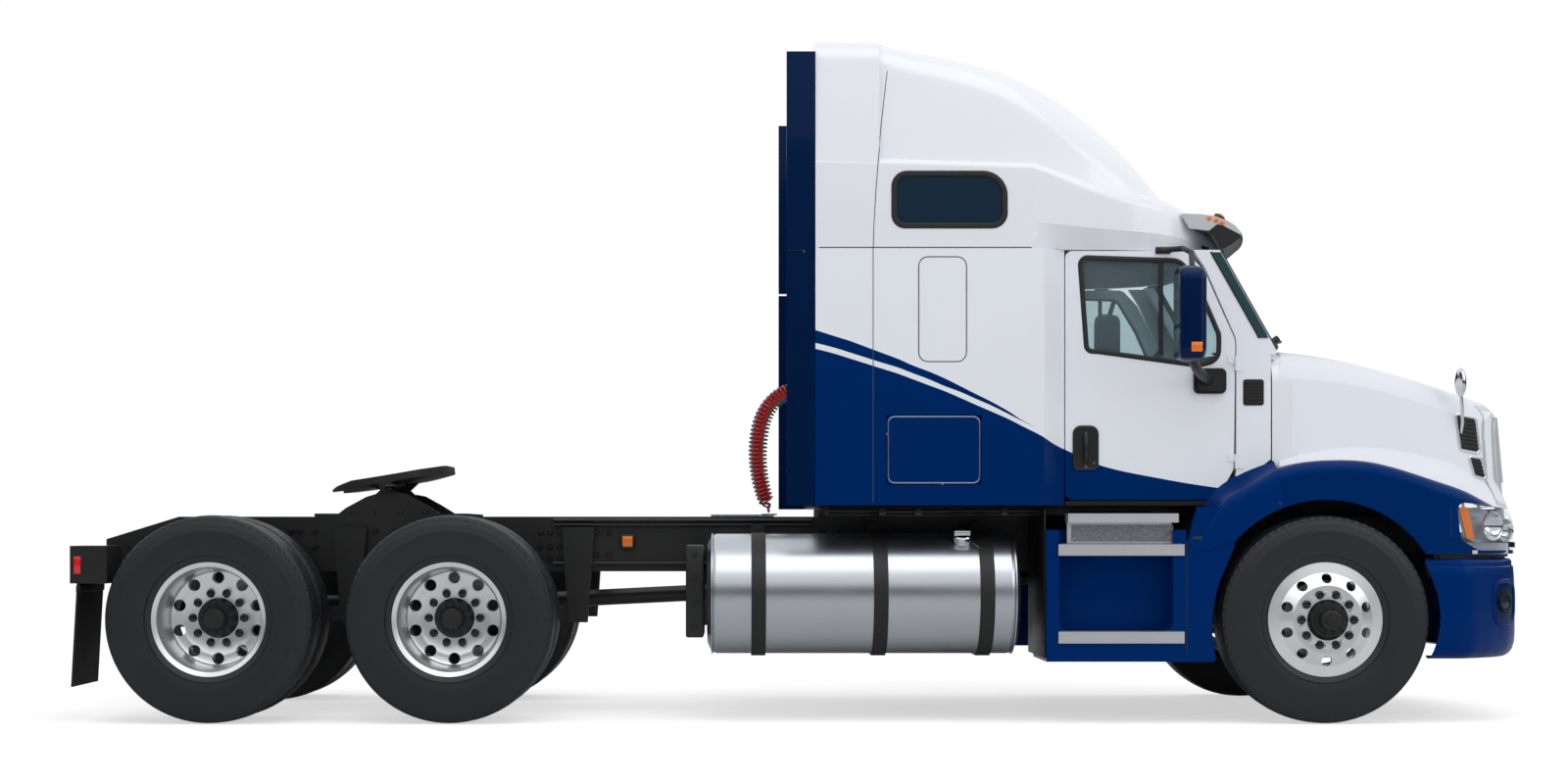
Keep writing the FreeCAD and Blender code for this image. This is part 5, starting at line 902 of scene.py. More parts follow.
# A twin wheel's section, from its pilot bore out to the rim's lip and back.
RIM_HALF = (
    (0.0, 0.1105), (0.022, 0.1105), (0.022, 0.186), (0.029, 0.2), (0.032, 0.214), (0.032, 0.244),
    (0.04, 0.259), (0.06, 0.266), (0.15, 0.269), (0.2, 0.2725), (0.235, 0.279), (0.258, 0.2855),
    (0.268, 0.2885), (0.274, 0.297), (0.279, 0.31), (0.281, 0.3135), (0.276, 0.3145), (0.2735, 0.306),
    (0.27, 0.2903), (0.24, 0.288), (0.22, 0.2795), (0.1, 0.2775), (0.072, 0.284), (0.0655, 0.2903),
    (0.061, 0.306), (0.058, 0.3135), (0.053, 0.3135), (0.056, 0.3), (0.056, 0.276), (0.045, 0.268),
    (0.03, 0.265), (0.014, 0.25), (0.008, 0.214), (0.0, 0.19), (0.0, 0.1105),
)
# The front hub with its oil cap, and the drive hub with its shaft flange.
FRONT_HUB = (
    (-0.004, 0.108), (0.004, 0.107), (0.012, 0.1), (0.02, 0.082), (0.03, 0.079), (0.034, 0.076),
    (0.036, 0.058), (0.072, 0.056), (0.08, 0.052), (0.083, 0.044), (0.083, 0.03), (0.088, 0.028),
    (0.09, 0.02), (0.09, 0.0),
)
DRIVE_HUB = (
    (-0.07, 0.1085), (-0.01, 0.107), (0.0, 0.102), (0.012, 0.1), (0.02, 0.099), (0.024, 0.095),
    (0.026, 0.07), (0.03, 0.066), (0.06, 0.06), (0.072, 0.054), (0.076, 0.04), (0.076, 0.0),
)
NUT_FLANGE = ((0, 0), (0, 0.024), (0.004, 0.0235), (0.007, 0.0205), (0.007, 0))
NUT_HEXAGON = ((0.006, 0), (0.006, 0.0206), (0.027, 0.0206), (0.031, 0.018), (0.032, 0.012), (0.032, 0))


@dataclass
class WheelSet:
    """One wheel set: its moulded tyres, nuts and hub, and the twin rims on a drive axle.

    Attributes:
        axle: The axle's word in names.
        x: The axle's place.
        middles: |y| of each tyre's middle.
        side: The side it is on.
    """

    axle: str
    x: float
    middles: tuple[float, ...]
    side: Side
    steps: int = 216
    notch: float = 0.009
    shoulder: tuple[int, int] = (16, 17)
    studs: int = 10
    nut_circle: float = 0.142875
    twin_plane: float = 0.9125
    hole_circle: float = 0.226

    def __post_init__(self) -> None:
        """Works out the body, the axis and the finish of the discs."""
        self.front = self.axle == "front"
        self.body = f"{self.axle}_{'wheel_' if self.front else ''}set_{self.side.word}"
        self.along = (0, self.side.value, 0)
        # Polished discs: soft metal that darkens where it faces the ground.
        self.alloy = WheelAlloy(
            f"forged_aluminium_{self.axle}", "#eff0f2", "#e2e4e7", 0.33, metallic=0.85, drift=0.3,
            centre_x=self.x,
        )

    def build(self) -> None:
        """Makes the tyres, nuts, hub and, on a drive axle, the rims."""
        self.tyres()
        self.nuts()
        self.hub()
        if not self.front:
            self.twin_rims()

    def notched(self, step: int, place: int) -> Flat:
        """Pulls in every third step along the two shoulders."""
        from_bead = min(place, len(TYRE_HALF) * 2 - 2 - place)
        return (0.0, -self.notch) if step % 3 == 0 and from_bead in self.shoulder else (0.0, 0.0)

    def tyres(self) -> None:
        """The tyre, or the twin tyres."""
        node = f"{self.axle}_{'tyre' if self.front else 'tyres'}_{self.side.word}"
        stock = Stock(f"{node}_moulded", TYRE, self.body)
        outline = [(-a, r) for a, r in TYRE_HALF] + list(TYRE_HALF[-2::-1])
        for y in self.middles:
            at = (self.x, y * self.side.value, HUB_Z)
            stock.lathe(outline, at, self.along, self.steps, ring=self.notched)
        stock.done(node, sharp=28)

    def nuts(self) -> None:
        """Flanged nuts on the disc."""
        face = (1.2479 if self.front else 0.9349) * self.side.value
        stock = Stock(f"{self.axle}_wheel_nuts_{self.side.word}", BOLT, self.body, "chrome")
        for angle, (x, z) in ring_of(self.studs, self.nut_circle, self.x, HUB_Z):
            stock.lathe(NUT_FLANGE, (x, face, z), self.along, 20)
            stock.lathe(NUT_HEXAGON, (x, face, z), self.along, 6, start=angle)
        stock.done()

    def hub(self) -> None:
        """Black hub with its flange bolts, and the oil cap or the shaft flange over it."""
        if self.front:
            finish, outline, face, bolts, circle, lift = PLASTIC, FRONT_HUB, 1.2515, 10, 0.069, 0.034
        else:
            finish, outline, face, bolts, circle, lift = CAST, DRIVE_HUB, 0.9825, 12, 0.083, 0.024
        stock = Stock(f"{self.axle}_hub_cap_{self.side.word}", finish, self.body, "frame_paint")
        stock.lathe(outline, (self.x, face * self.side.value, HUB_Z), self.along, 64)
        for _, (x, z) in ring_of(bolts, circle, self.x, HUB_Z):
            stock.bolt((x, (face + lift) * self.side.value, z), self.along, 0.014)
        stock.done()

    def twin_rims(self) -> None:
        """Two forged wheels back to back, with their hand holes."""
        plane = self.twin_plane * self.side.value
        rims = Stock(f"{self.axle}_twin_rims_{self.side.word}", self.alloy, self.body, "polished_aluminium")
        for way in (1, -1):
            rims.lathe(RIM_HALF, (self.x, plane + 0.0002 * way, HUB_Z), (0, way, 0), 96)
        holes = Stock("hand_hole_cutter", self.alloy, self.body)
        first = math.pi / self.studs
        for _, (x, z) in ring_of(self.studs, self.hole_circle, self.x, HUB_Z, first):
            holes.lathe([(0, 0), (0, 0.033), (0.18, 0.033), (0.18, 0)], (x, plane - 0.09, z), (0, 1, 0), 24)
        cutter = holes.done()
        wheel = rims.done(f"{self.axle}_wheel_{self.side.word}")
        cut = wheel.modifiers.new("hand_holes", "BOOLEAN")
        cut.object, cut.operation, cut.solver = cutter, "DIFFERENCE", "EXACT"
        pierced = applied(wheel)
        pierced.set_sharp_from_angle(angle=math.radians(32))
        bpy.data.objects.remove(cutter)
        LOG.info("%s: %d faces", wheel.name, len(pierced.polygons))


@dataclass
class RunningGear:
    """The six wheel sets."""

    # Each axle: (its word in names, x, |y| of each tyre's middle).
    axles: tuple[tuple[str, float, tuple[float, ...]], ...] = (
        ("front", FRONT_X, (1.08,)),
        ("forward_drive", -1.9645, (1.08, 0.745)),
        ("rear_drive", -3.2795, (1.08, 0.745)),
    )

    def build(self) -> None:
        """Makes the wheel sets and polishes the front discs."""
        for axle, x, middles in self.axles:
            for side in Side:
                wheels = WheelSet(axle, x, middles, side)
                wheels.build()
                if wheels.front:
                    dress(wheels.alloy, f"{axle}_wheel_{side.word}")


@dataclass
class FrameDetail:
    """Bolts, marker lamps and air pipes on the frame rails."""

    web: float = 0.4302
    # Each group of bolts: (first x, steps along x, heights).
    groups: tuple[tuple[float, tuple[float, ...], tuple[float, ...]], ...] = (
        (-3.98, (0.0, 0.09), (0.9, 0.96)),
        (-2.97, (0.0, 0.05, 0.14), (0.967, 1.06)),
        (-2.62, (0.0, 0.07, 0.14), (0.9, 0.967, 1.06)),
        (-2.26, (0.0, 0.07), (0.9, 0.98, 1.06)),
        (-1.525, (0.0, 0.055, 0.11), (0.9, 0.967, 1.05)),
        (-1.2, (0.0, 0.07), (0.92, 1.05)),
        (0.1, (0.0, 0.08), (0.92, 1.05)),
    )
    marker_x: tuple[float, float] = (-1.064, -0.979)
    marker_z: tuple[float, float] = (0.953, 1.039)

    def build(self) -> None:
        """Makes the bolts, the marker lamps and the pipes on both rails."""
        stock = Stock("frame_bolts", BOLT)
        for start, xs, zs in self.groups:
            for dx in xs:
                for z in zs:
                    stock.bolt((start + dx, -self.web, z), OUT, 0.027)
        stock.mirror().done()
        (x0, x1), (z0, z1) = self.marker_x, self.marker_z
        bezel = Stock("marker_bezels", PLASTIC)
        bezel.block((x0, -self.web - 0.028, z0), (x1, -self.web, z1), 0.008)
        bezel.mirror().done()
        lens = Stock("marker_lenses", AMBER)
        rim = 0.012
        lens.block((x0 + rim, -self.web - 0.036, z0 + rim), (x1 - rim, -self.web - 0.02, z1 - rim), 0.008)
        lens.mirror().done()
        lines = Stock("frame_air_pipes", PLASTIC)
        for z, r in ((1.118, 0.012), (1.092, 0.009), (0.87, 0.01)):
            path = [(x, -self.web - 0.016, z) for x in (-1.45, -0.9, -0.3, 0.05)]
            lines.tube(path, r, sides=10)
        lines.mirror().done()


@dataclass
class Tanks:
    """Fuel tanks with seams, caps and brackets, the steps' treads and the fairings' edges."""

    cap_lean: float = math.radians(28)
    cap_back: float = 0.32
    neck: tuple[Flat, ...] = (
        (0, 0), (0, 0.052), (0.02, 0.05), (0.024, 0.046), (0.024, 0.056), (0.05, 0.056), (0.056, 0.05),
        (0.058, 0),
    )
    teeth: int = 44

    def build(self) -> None:
        """Makes the end seams, the caps with their chains, and the other pieces in turn."""
        low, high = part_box("fuel_tanks")
        radius = (high[2] - low[2]) / 2
        y, z = low[1] + radius, (low[2] + high[2]) / 2
        x0, x1 = low[0], high[0]
        seams = Stock("tank_end_seams", TANK)
        for x in (x0 + 0.03, x1 - 0.04):
            bead = ((0, -0.004), (0.002, 0.003), (0.008, 0.003), (0.01, -0.004))
            outline = [(along, radius + out) for along, out in bead]
            seams.lathe(outline, (x, y, z), (1, 0, 0), 96)
        seams.mirror().done()
        caps = Stock("tank_filler_caps", CHROME)
        way = Vector((0, -math.sin(self.cap_lean), math.cos(self.cap_lean)))
        at = Vector((x1 - self.cap_back, y, z)) + way * (radius - 0.012)
        caps.lathe(self.neck, tuple(at), tuple(way), 40)
        top = at + way * self.neck[-1][0]
        grip = Vector((0.045, 0.008, 0.009))
        middle = top + Vector((0, 0, 0.005))
        caps.block(tuple(middle - grip), tuple(middle + grip), 0.004)
        caps.mirror().done()
        chain = Stock("tank_cap_chains", STEEL)
        links = []
        for i in range(17):
            t = i / 16
            angle = self.cap_lean + 0.05 + 0.22 * t + 0.06 * math.sin(math.pi * t)
            out = Vector((0, -math.sin(angle), math.cos(angle))) * (radius + 0.004)
            links.append((x1 - 0.27 + 0.09 * t, y + out.y, z + out.z))
        chain.tube(links, 0.003, sides=6)
        chain.mirror().done()
        self.end_bracket()
        self.treads()
        self.fairing_backs()

    def treads(self) -> None:
        """Tread plate on the kick board and teeth along the planks' edges."""
        skin = Skin("steps")
        board = Stock("step_kick_boards", TREAD)
        y = skin.side(1.7, 1.05)[1]
        board.prism(plate((1.44, 1.0), (2.0, 1.09), 0.01), y - 0.002, y)
        board.mirror().done()
        teeth = Stock("step_plank_teeth", STEEL, slot="polished_aluminium")
        low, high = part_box("steps")
        for z in (low[2] + 0.066, 0.985):
            for i in range(self.teeth):
                x = low[0] + 0.02 + (high[0] - low[0] - 0.04) * i / (self.teeth - 1)
                y = skin.side(x, z - 0.02)[1]
                teeth.block((x - 0.004, y, z - 0.004), (x + 0.004, y + 0.03, z + 0.004), 0.0015)
        teeth.mirror().done()

    def fairing_backs(self) -> None:
        """Black closing plates over the step fairings' rear ends: their black is painted shade, standing for
        the frame's shadow there.
        """
        # painted shade: black plates over the fairings' blue rear ends, for the frame's shadow there
        backs = Stock("fairing_closing_plates", PLASTIC)
        backs.block((1.292, -1.19, 0.36), (1.2985, -0.47, 1.175), 0.002)
        backs.mirror().done()
        skin = Skin("side_fairings")
        seams = Stock("fairing_seams", PLASTIC)
        upper = [(2.075 + 0.235 * k / 10, 1.016) for k in range(11)]
        upright = [(2.066, 1.0 - 0.62 * k / 20) for k in range(21)]
        seams.tube(skin.laid(upper, 0.001), 0.008, flat=0.35)
        seams.tube(skin.laid(upright, 0.0), 0.0035, flat=0.4)
        seams.mirror().done()

    def end_bracket(self) -> None:
        """Black bracket box with its bolts at the tanks' rear end."""
        box = Stock("tank_rear_brackets", CHASSIS)
        box.block((-0.672, -1.08, 0.468), (-0.572, -0.62, 0.979), 0.012)
        box.block((-0.66, -0.62, 0.82), (-0.585, -0.432, 0.96), 0.008)
        for z in (0.52, 0.66, 0.8, 0.93):
            box.bolt((-0.622, -1.08, z), OUT, 0.022)
        box.mirror().done()

    def dress(self) -> None:
        """Brushed drums in black straps."""
        dress(TANK, "fuel_tanks")
        dress(RUBBER, "tank_straps")
        dress(PLANK, "steps")
        dress(TREAD, "deck_plate")


# ---------------------------------------------------------------- cab


@dataclass
class CabDetail:
    """Seams, window rubbers, vents, door handles, rivets and underbody of the cab."""

    window: tuple[Point, ...] = (
        (1.5, 2.564, 0.04), (1.538, 2.048, 0.06), (1.6, 2.045, 0.06), (2.147, 1.97, 0.09),
        (2.265, 1.995, 0.09), (2.267, 2.14, 0.09), (2.182, 2.336, 0.09), (2.057, 2.546, 0.08),
    )
    sleeper: tuple[Point, ...] = (
        (0.47, 2.725, 0.06), (1.075, 2.725, 0.07), (1.075, 3.01, 0.12), (0.47, 3.01, 0.07),
    )
    access: tuple[Flat, Flat, float] = ((0.604, 1.982), (0.865, 2.555), 0.05)
    vent: tuple[Flat, Flat, float] = ((2.4, 1.748), (2.514, 1.892), 0.015)
    handle: tuple[Point, ...] = (
        (1.466, 1.397, 0.025), (1.598, 1.397, 0.025), (1.598, 1.632, 0.04), (1.466, 1.632, 0.04),
    )

    def build(self) -> None:
        """Makes the pieces on the cab."""
        self.skin = Skin("sleeper_side_right", "roof_fairing", "cab_cowl", "baggage_door_right")
        self.seams()
        self.rubbers()
        self.vents()
        self.handles()
        self.rivets()
        self.underbody()

    def seams(self) -> None:
        """Joint lines of the sleeper and its access panels, and the baggage doors' bright rims."""
        lines = Stock("sleeper_seams", SEAM)
        upright = [(0.355, 1.21 + 0.0498 * i) for i in range(29)]
        lines.tube(self.skin.laid(upright, 0.0004), 0.0024, flat=0.3)
        leaning = [(0.356 + 0.095 * (i / 24) ** 1.5, 2.606 + 0.0455 * i) for i in range(25)]
        lines.tube(self.skin.laid(leaning, 0.0006), 0.0022, flat=0.3)
        level = [(0.06 + 0.04 * i, 2.606) for i in range(34)]
        lines.tube(self.skin.laid(level, 0.0006), 0.003, flat=0.3)
        lines.tube(self.skin.laid(plate(*self.access), 0.0004), 0.003, closed=True, flat=0.3)
        lines.mirror().done()
        rims = Stock("baggage_door_rims", STRIP)
        low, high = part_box("baggage_door_right")
        inset = 0.003
        outline = plate((low[0] + inset, low[2] + inset), (high[0] - inset, high[2] - inset), 0.035)
        rims.tube([(x, -WALL_Y + 0.0002, z) for x, z in outline], inset, closed=True, flat=0.3)
        rims.mirror().done()

    def rubbers(self) -> None:
        """Window rubbers of the doors and the sleeper, and the sleeper's panes."""
        for side in Side:
            y = (DOOR_Y + 0.0005) * side.value
            bar_y = y - 0.006 * side.value
            frames = Stock(f"door_window_rubber_{side.word}", RUBBER, f"{side.word}_door")
            line = rounded(self.window, 8)
            frames.tube([(x, y, z) for x, z in line], 0.014, closed=True, flat=0.35)
            frames.tube([(1.948, bar_y, 2.03), (1.948, bar_y, 2.56)], 0.013, flat=0.5)
            frames.done()
        frames = Stock("sleeper_window_rubbers", RUBBER)
        outline = rounded(self.sleeper, 8)
        frames.tube([(x, -WALL_Y, z) for x, z in outline], 0.016, closed=True, flat=0.4)
        frames.mirror().done()
        panes = Stock("sleeper_window_panes", PRIVACY)
        panes.prism(outline, -1.196, -1.19)
        panes.mirror().done()

    def vents(self) -> None:
        """Louvred air vents in the cowl."""
        plates = Stock("cowl_vents", PLASTIC)
        plates.prism(plate(*self.vent), -DOOR_Y - 0.0035, -DOOR_Y + 0.0005)
        for i in range(7):
            z = 1.762 + 0.018 * i
            plates.block((2.41, -1.0975, z), (2.504, -1.0925, z + 0.008), 0.002)
        plates.mirror().done()

    def handles(self) -> None:
        """Door handles: a black pocket plate with an upright grip and the lock."""
        for side in Side:
            plates = Stock(f"door_handle_{side.word}", PLASTIC, f"{side.word}_door")
            outline = rounded(self.handle)
            near, far = (DOOR_Y - 0.0005) * side.value, (DOOR_Y + 0.007) * side.value
            plates.prism(outline, near, far)
            rim = [(x, near + 0.005 * side.value, z) for x, z in outline]
            plates.tube(rim, 0.006, closed=True, flat=0.8)
            grip = [
                (1.532, far + (0.02 * math.sin(math.pi * k / 10) - 0.004) * side.value, 1.43 + 0.017 * k)
                for k in range(11)
            ]
            plates.tube(grip, 0.014, sides=10)
            plates.done()
            locks = Stock(f"door_lock_{side.word}", STEEL, f"{side.word}_door")
            locks.drum((1.532, far, 1.408), (0, side.value, 0), 0.011, 0.005)
            locks.drum((1.578, far, 1.43), (0, side.value, 0), 0.008, 0.004)
            locks.done()

    def underbody(self) -> None:
        """Dark bearers, pipes and a latch between the cab and the frame."""
        bearers = Stock("cab_bearers", CHASSIS)
        bearers.block((0.1, -0.93, 1.143), (1.34, 0.93, 1.196), 0.006)
        bearers.block((1.34, -0.9, 1.143), (2.24, 0.9, 1.2), 0.006)
        bearers.done()
        fittings = Stock("cab_underside_fittings", BOLT)
        for z, r in ((1.17, 0.012), (1.15, 0.009)):
            path = [(0.12, -0.95, z), (0.6, -0.955, z - 0.004), (1.2, -0.95, z), (1.33, -0.95, z)]
            fittings.tube(path, r, sides=10)
        for x in (0.42, 0.62, 1.1):
            fittings.block((x - 0.02, -0.985, 1.14), (x + 0.02, -0.94, 1.19), 0.006)
        fittings.drum((0.46, -0.985, 1.165), (1, 0, 0), 0.01, 0.13)
        fittings.mirror().done()

    def rivets(self) -> None:
        """Two rows of rivets down each side extender."""
        low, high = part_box("side_extenders")
        heads = Stock("extender_rivets", NAVY)
        z = low[2] + 0.05
        while z < high[2] - 0.1:
            for x in (low[0] + 0.018, high[0] - 0.02):
                heads.lathe([(0, 0.006), (0.0015, 0.005), (0.0022, 0)], (x, low[1] - 0.0002, z), OUT, 10)
            z += 0.09
        heads.mirror().done()

    def dress(self) -> None:
        """Paint of the cab."""
        dress(BODY, "sleeper_side_right", "sleeper_side_left", "door_right", "door_left", "cab_cowl")
        dress(BODY, "baggage_door_right", "baggage_door_left")
        dress(UNDERSIDE, "cab_floor")


@dataclass
class RoofSkin:
    """The roof moulding with its rear crown drawn down to the deflector, so that they meet."""

    rear: float = 0.04
    seam: float = 0.39
    fall: float = 0.034
    swell: float = 0.012
    swell_length: float = 0.5
    swell_foot: float = 3.2

    def build(self) -> None:
        """Makes the roof from the carried-over shell."""
        self.top = max(vert.co.z for vert in frame["nodes"]["roof_fairing"].data.vertices)
        recut("roof_fairing", "roof_moulding", WHITE, "chassis", self.moved)

    def moved(self, at: Vector) -> Vector:
        """Where a point of the shell goes.

        Args:
            at: Its place in the carried-over shell.

        Returns:
            Its place in the moulding.
        """
        x, y, z = at
        if x <= self.seam + 0.004:
            crown = self.top - self.fall * max(0.0, (x - self.rear) / (self.seam - self.rear)) ** 1.3
            z = min(z, crown)
        elif z > self.swell_foot:
            near = max(0.0, 1 - (x - self.seam) / self.swell_length)
            z += self.swell * near * min(1.0, (z - self.swell_foot) / 0.4)
        return Vector((x, y, z))


@dataclass
class Windscreen:
    """The curved windscreen in its rubber, with wipers parked on it, and the sun visor over it."""

    pillar_x: float = 2.557
    pillar_z: float = 2.1
    rake: float = 0.565
    half: float = 1.045
    bulge: float = 0.165
    low: float = 2.1
    high: float = 2.69
    across: int = 32
    visor_shell: tuple[Flat, ...] = (
        (2.07, 2.818), (2.175, 2.815), (2.25, 2.804), (2.316, 2.78), (2.36, 2.752), (2.389, 2.72),
        (2.391, 2.7), (2.3, 2.748), (2.2, 2.778), (2.12, 2.775),
    )
    visor_under: tuple[Flat, ...] = (
        (2.125, 2.77), (2.2, 2.773), (2.3, 2.743), (2.39, 2.695), (2.387, 2.685), (2.345, 2.65),
        (2.286, 2.618), (2.254, 2.654), (2.207, 2.708), (2.129, 2.733),
    )
    visor_markers: tuple[float, ...] = (-0.94, -0.8, -0.62, 0.0, 0.62, 0.8, 0.94)
    visor_side_markers: tuple[Flat, ...] = ((2.232, 2.792), (2.27, 2.781), (2.305, 2.766))
    visor_end: tuple[Point, ...] = (
        (2.07, 2.818, 0.006), (2.25, 2.806, 0.02), (2.3, 2.78, 0.01), (2.23, 2.722, 0.02),
        (2.12, 2.735, 0.01),
    )

    def spot(self, y: float, z: float, proud: float = 0.0) -> Vector:
        """A point of the glass, lifted forward by proud."""
        share = min(1.0, abs(y) / self.half)
        x = self.pillar_x - self.rake * (z - self.pillar_z) + 0.008 + self.bulge * (1 - share**2.6)
        return Vector((x + proud, y, z))

    def build(self) -> None:
        """Makes the glass, its rubber and black border, the wipers and the visor."""
        self.pane()
        self.returns()
        self.border()
        self.wipers()
        self.visor()

    def pane(self) -> None:
        """The laminated pane."""
        pane = Stock("windscreen", GLASS)
        rows = [self.low + (self.high - self.low) * k / 6 for k in range(7)]
        ys = self.steps(-1, 1)
        for proud in (0.0, -0.006):
            pane.sheet([self.spot(y, z, proud) for z in rows for y in ys], len(ys))
        pane.done("cab_glass")

    def returns(self) -> None:
        """The glass's dark edge where it laps round the pillars."""
        skin = Skin("cab_cowl", "roof_fairing")
        edge = Stock("windscreen_returns", EDGE)
        seal = Stock("windscreen_pillar_seals", RUBBER)
        rows, columns = 18, 5
        points, line = [], []
        for k in range(rows):
            z = self.low + 0.02 + (2.655 - self.low - 0.02) * k / (rows - 1)
            front = skin.edge(self.pillar_x - self.rake * (z - self.pillar_z) + 0.03, z, 2.0, 0.003) - 0.003
            points += [Vector(skin.side(front - 0.05 * i / (columns - 1), z, 0.004)) for i in range(columns)]
            line.append(skin.side(front - 0.052, z, 0.003))
        edge.sheet(points, columns)
        seal.tube(line, 0.006, flat=0.6)
        edge.mirror().done()
        seal.mirror().done()

    def border(self) -> None:
        """Rubber round the pane, and the printed band inside it."""
        ring = Stock("windscreen_rubber", RUBBER)
        edge = [(y, self.low) for y in self.steps(-1, 1)] + [(y, self.high) for y in self.steps(1, -1)]
        ring.tube([self.spot(y, z) for y, z in edge], 0.012, closed=True)
        ring.done()
        band = Stock("windscreen_printed_band", PLASTIC)
        side, rise = 0.1, 0.06
        inner = [(y * (1 - side / self.half), z + (rise if z == self.low else -rise)) for y, z in edge]
        band.sheet([self.spot(y, z, -0.008) for y, z in edge + inner], len(edge), ring=True)
        band.done()

    def steps(self, start: int, end: int) -> list[float]:
        """Places across the glass from one edge to the other."""
        count = self.across
        return [self.half * (start + (end - start) * i / count) for i in range(count + 1)]

    def wipers(self) -> None:
        """Arms, blades and pivots parked along the foot of the glass."""
        arms = Stock("wiper_arms", PLASTIC)
        for start, end in ((-0.93, -0.12), (0.0, 0.8)):
            line, blade = [], []
            for i in range(13):
                t = i / 12
                y, z = start + (end - start) * t, self.low + 0.015 + 0.05 * t
                line.append(self.spot(y, z, 0.03 + 0.015 * math.sin(math.pi * t)))
                blade.append(self.spot(end + (start - end) * 0.75 * t, self.low + 0.075 - 0.045 * t, 0.012))
            arms.tube(line, 0.007)
            arms.tube(blade, 0.009)
            arms.drum(tuple(self.spot(start, self.low + 0.005, -0.01)), (0.8, 0, 0.6), 0.02, 0.045)
        arms.done()

    def visor(self) -> None:
        """Bright visor shell with a dark underside and its amber marker lamps."""
        for name, finish, outline, *nodes in (
            ("sun_visor_shell", SATIN, self.visor_shell, "sun_visor"),
            ("sun_visor_underside", PLASTIC, self.visor_under),
        ):
            ys = [y / self.half for y in self.steps(-1, 1)]
            points = [Vector((x + self.lead(y), y, z)) for y in ys for x, z in outline]
            stock = Stock(name, finish)
            stock.sheet(points, len(outline), ring=True, capped=True).done(*nodes)
        ends = Stock("sun_visor_ends", SATIN)
        ends.prism(rounded(self.visor_end), -1.004, -0.999)
        ends.mirror().done()
        lens = Stock("visor_marker_lenses", AMBER)
        base = Stock("visor_marker_bases", PLASTIC)
        way = Vector((0.55, 0, 0.83)).normalized()
        for y in self.visor_markers:
            at = Vector((2.268 + self.lead(y), y, 2.803))
            base.lathe([(-0.01, 0.034), (0.006, 0.034), (0.009, 0.028)], at, way, 24)
            lens.lathe([(0.002, 0.028), (0.012, 0.026), (0.02, 0.016), (0.022, 0)], at, way, 24)
        for x, z in self.visor_side_markers:
            lens.lathe([(0.0, 0.014), (0.008, 0.013), (0.011, 0.008), (0.011, 0)], (x, -1.004, z), OUT, 20)
        lens.mirror().done()
        base.done()

    def lead(self, y: float) -> float:
        """How far the visor's middle stands ahead of its ends."""
        return self.bulge * 0.85 * (1 - min(1.0, abs(y) / self.half) ** 2.6)


@dataclass
class DoorMirror:
    """Door mirrors: capsule heads on two black arms, with the glass and an amber lamp."""

    head_x: tuple[float, float] = (1.962, 2.124)
    head_y: tuple[float, float] = (1.3, 1.53)
    head_z: tuple[float, float] = (1.964, 2.484)
    flat: float = 0.43
    lower_arm: tuple[Point, ...] = (
        (2.2, 1.12, 1.885), (2.16, 1.2, 1.9), (2.1, 1.32, 1.935), (2.06, 1.4, 1.985),
    )
    upper_arm: tuple[Point, ...] = (
        (1.95, 1.1, 2.6), (1.99, 1.12, 2.604), (2.05, 1.2, 2.6), (2.075, 1.3, 2.565), (2.06, 1.4, 2.475),
    )

    def build(self) -> None:
        """Makes both mirrors."""
        for side in Side:
            self.head(side)
            self.arms(side)
            self.lenses(side)

    def head(self, side: Side) -> None:
        """The painted shell of one side's mirror: rows of a squared round that close at both ends."""
        shell = Stock(f"mirror_shell_{side.word}", NAVY, f"{side.word}_door")
        (x0, x1), (y0, y1), (z0, z1) = self.head_x, self.head_y, self.head_z
        rows, sides, end = 26, 40, 0.16
        points = []
        for k in range(rows + 1):
            t = k / rows
            near = min(t, 1 - t)
            size = (1 - (1 - min(1.0, near / end)) ** 2.6) ** (1 / 2.6) if near < end else 1.0
            size = max(size, 0.02)
            for i in range(sides):
                angle = 2 * math.pi * i / sides
                c, n = math.cos(angle), math.sin(angle)
                a = math.copysign(abs(c) ** 0.55, c) * (x1 - x0) / 2 * (0.35 + 0.65 * size)
                a = max(a, -self.flat * (x1 - x0))
                b = math.copysign(abs(n) ** 0.5, n) * (y1 - y0) / 2 * size
                y = ((y0 + y1) / 2 + b) * side.value
                points.append(Vector(((x0 + x1) / 2 + a, y, z0 + (z1 - z0) * t)))
        shell.sheet(points, sides, ring=True, capped=True)
        shell.done(f"door_mirror_{side.word}", sharp=50)

    def arms(self, side: Side) -> None:
        """The upper bracket, the lower arm and its foot on the door, of one side's mirror."""
        s = side.value
        arms = Stock(f"mirror_arms_{side.word}", PLASTIC, f"{side.word}_door")
        foot = plate((2.125, 1.812), (2.304, 1.952), 0.03)
        arms.prism(foot, 1.091 * s, 1.112 * s)
        arms.prism([(x * 0.8 + 0.44, z * 0.8 + 0.376) for x, z in foot], 1.11 * s, 1.13 * s)
        arms.tube([(x, y * s, z) for x, y, z in self.lower_arm], 0.028, sides=12)
        arms.tube([(x, y * s, z) for x, y, z in self.upper_arm], 0.016, sides=12)
        arms.block((1.915, min(1.088 * s, 1.104 * s), 2.582), (2.0, max(1.088 * s, 1.104 * s), 2.622), 0.006)
        arms.done()

    def lenses(self, side: Side) -> None:
        """The mirror glass, which faces back, and the amber lamp on the outer face."""
        s = side.value
        (x0, x1), (y0, y1), (z0, z1) = self.head_x, self.head_y, self.head_z
        back = (x0 + x1) / 2 - self.flat * (x1 - x0)
        glass = Stock(f"mirror_glass_{side.word}", CHROME, f"{side.word}_door")
        for low, high in ((z0 + 0.2, z1 - 0.05), (z0 + 0.05, z0 + 0.18)):
            outline = plate(((y0 + 0.03) * s, low), ((y1 - 0.03) * s, high), 0.03)
            glass.prism(outline, back - 0.001, back + 0.004, axis=0)
        glass.done()
        lamp = Stock(f"mirror_marker_{side.word}", AMBER, f"{side.word}_door")
        outer = (y1 - 0.004) * s, (y1 + 0.006) * s
        lamp.block((2.03, min(outer), 2.012), (2.09, max(outer), 2.064), 0.004)
        lamp.done()


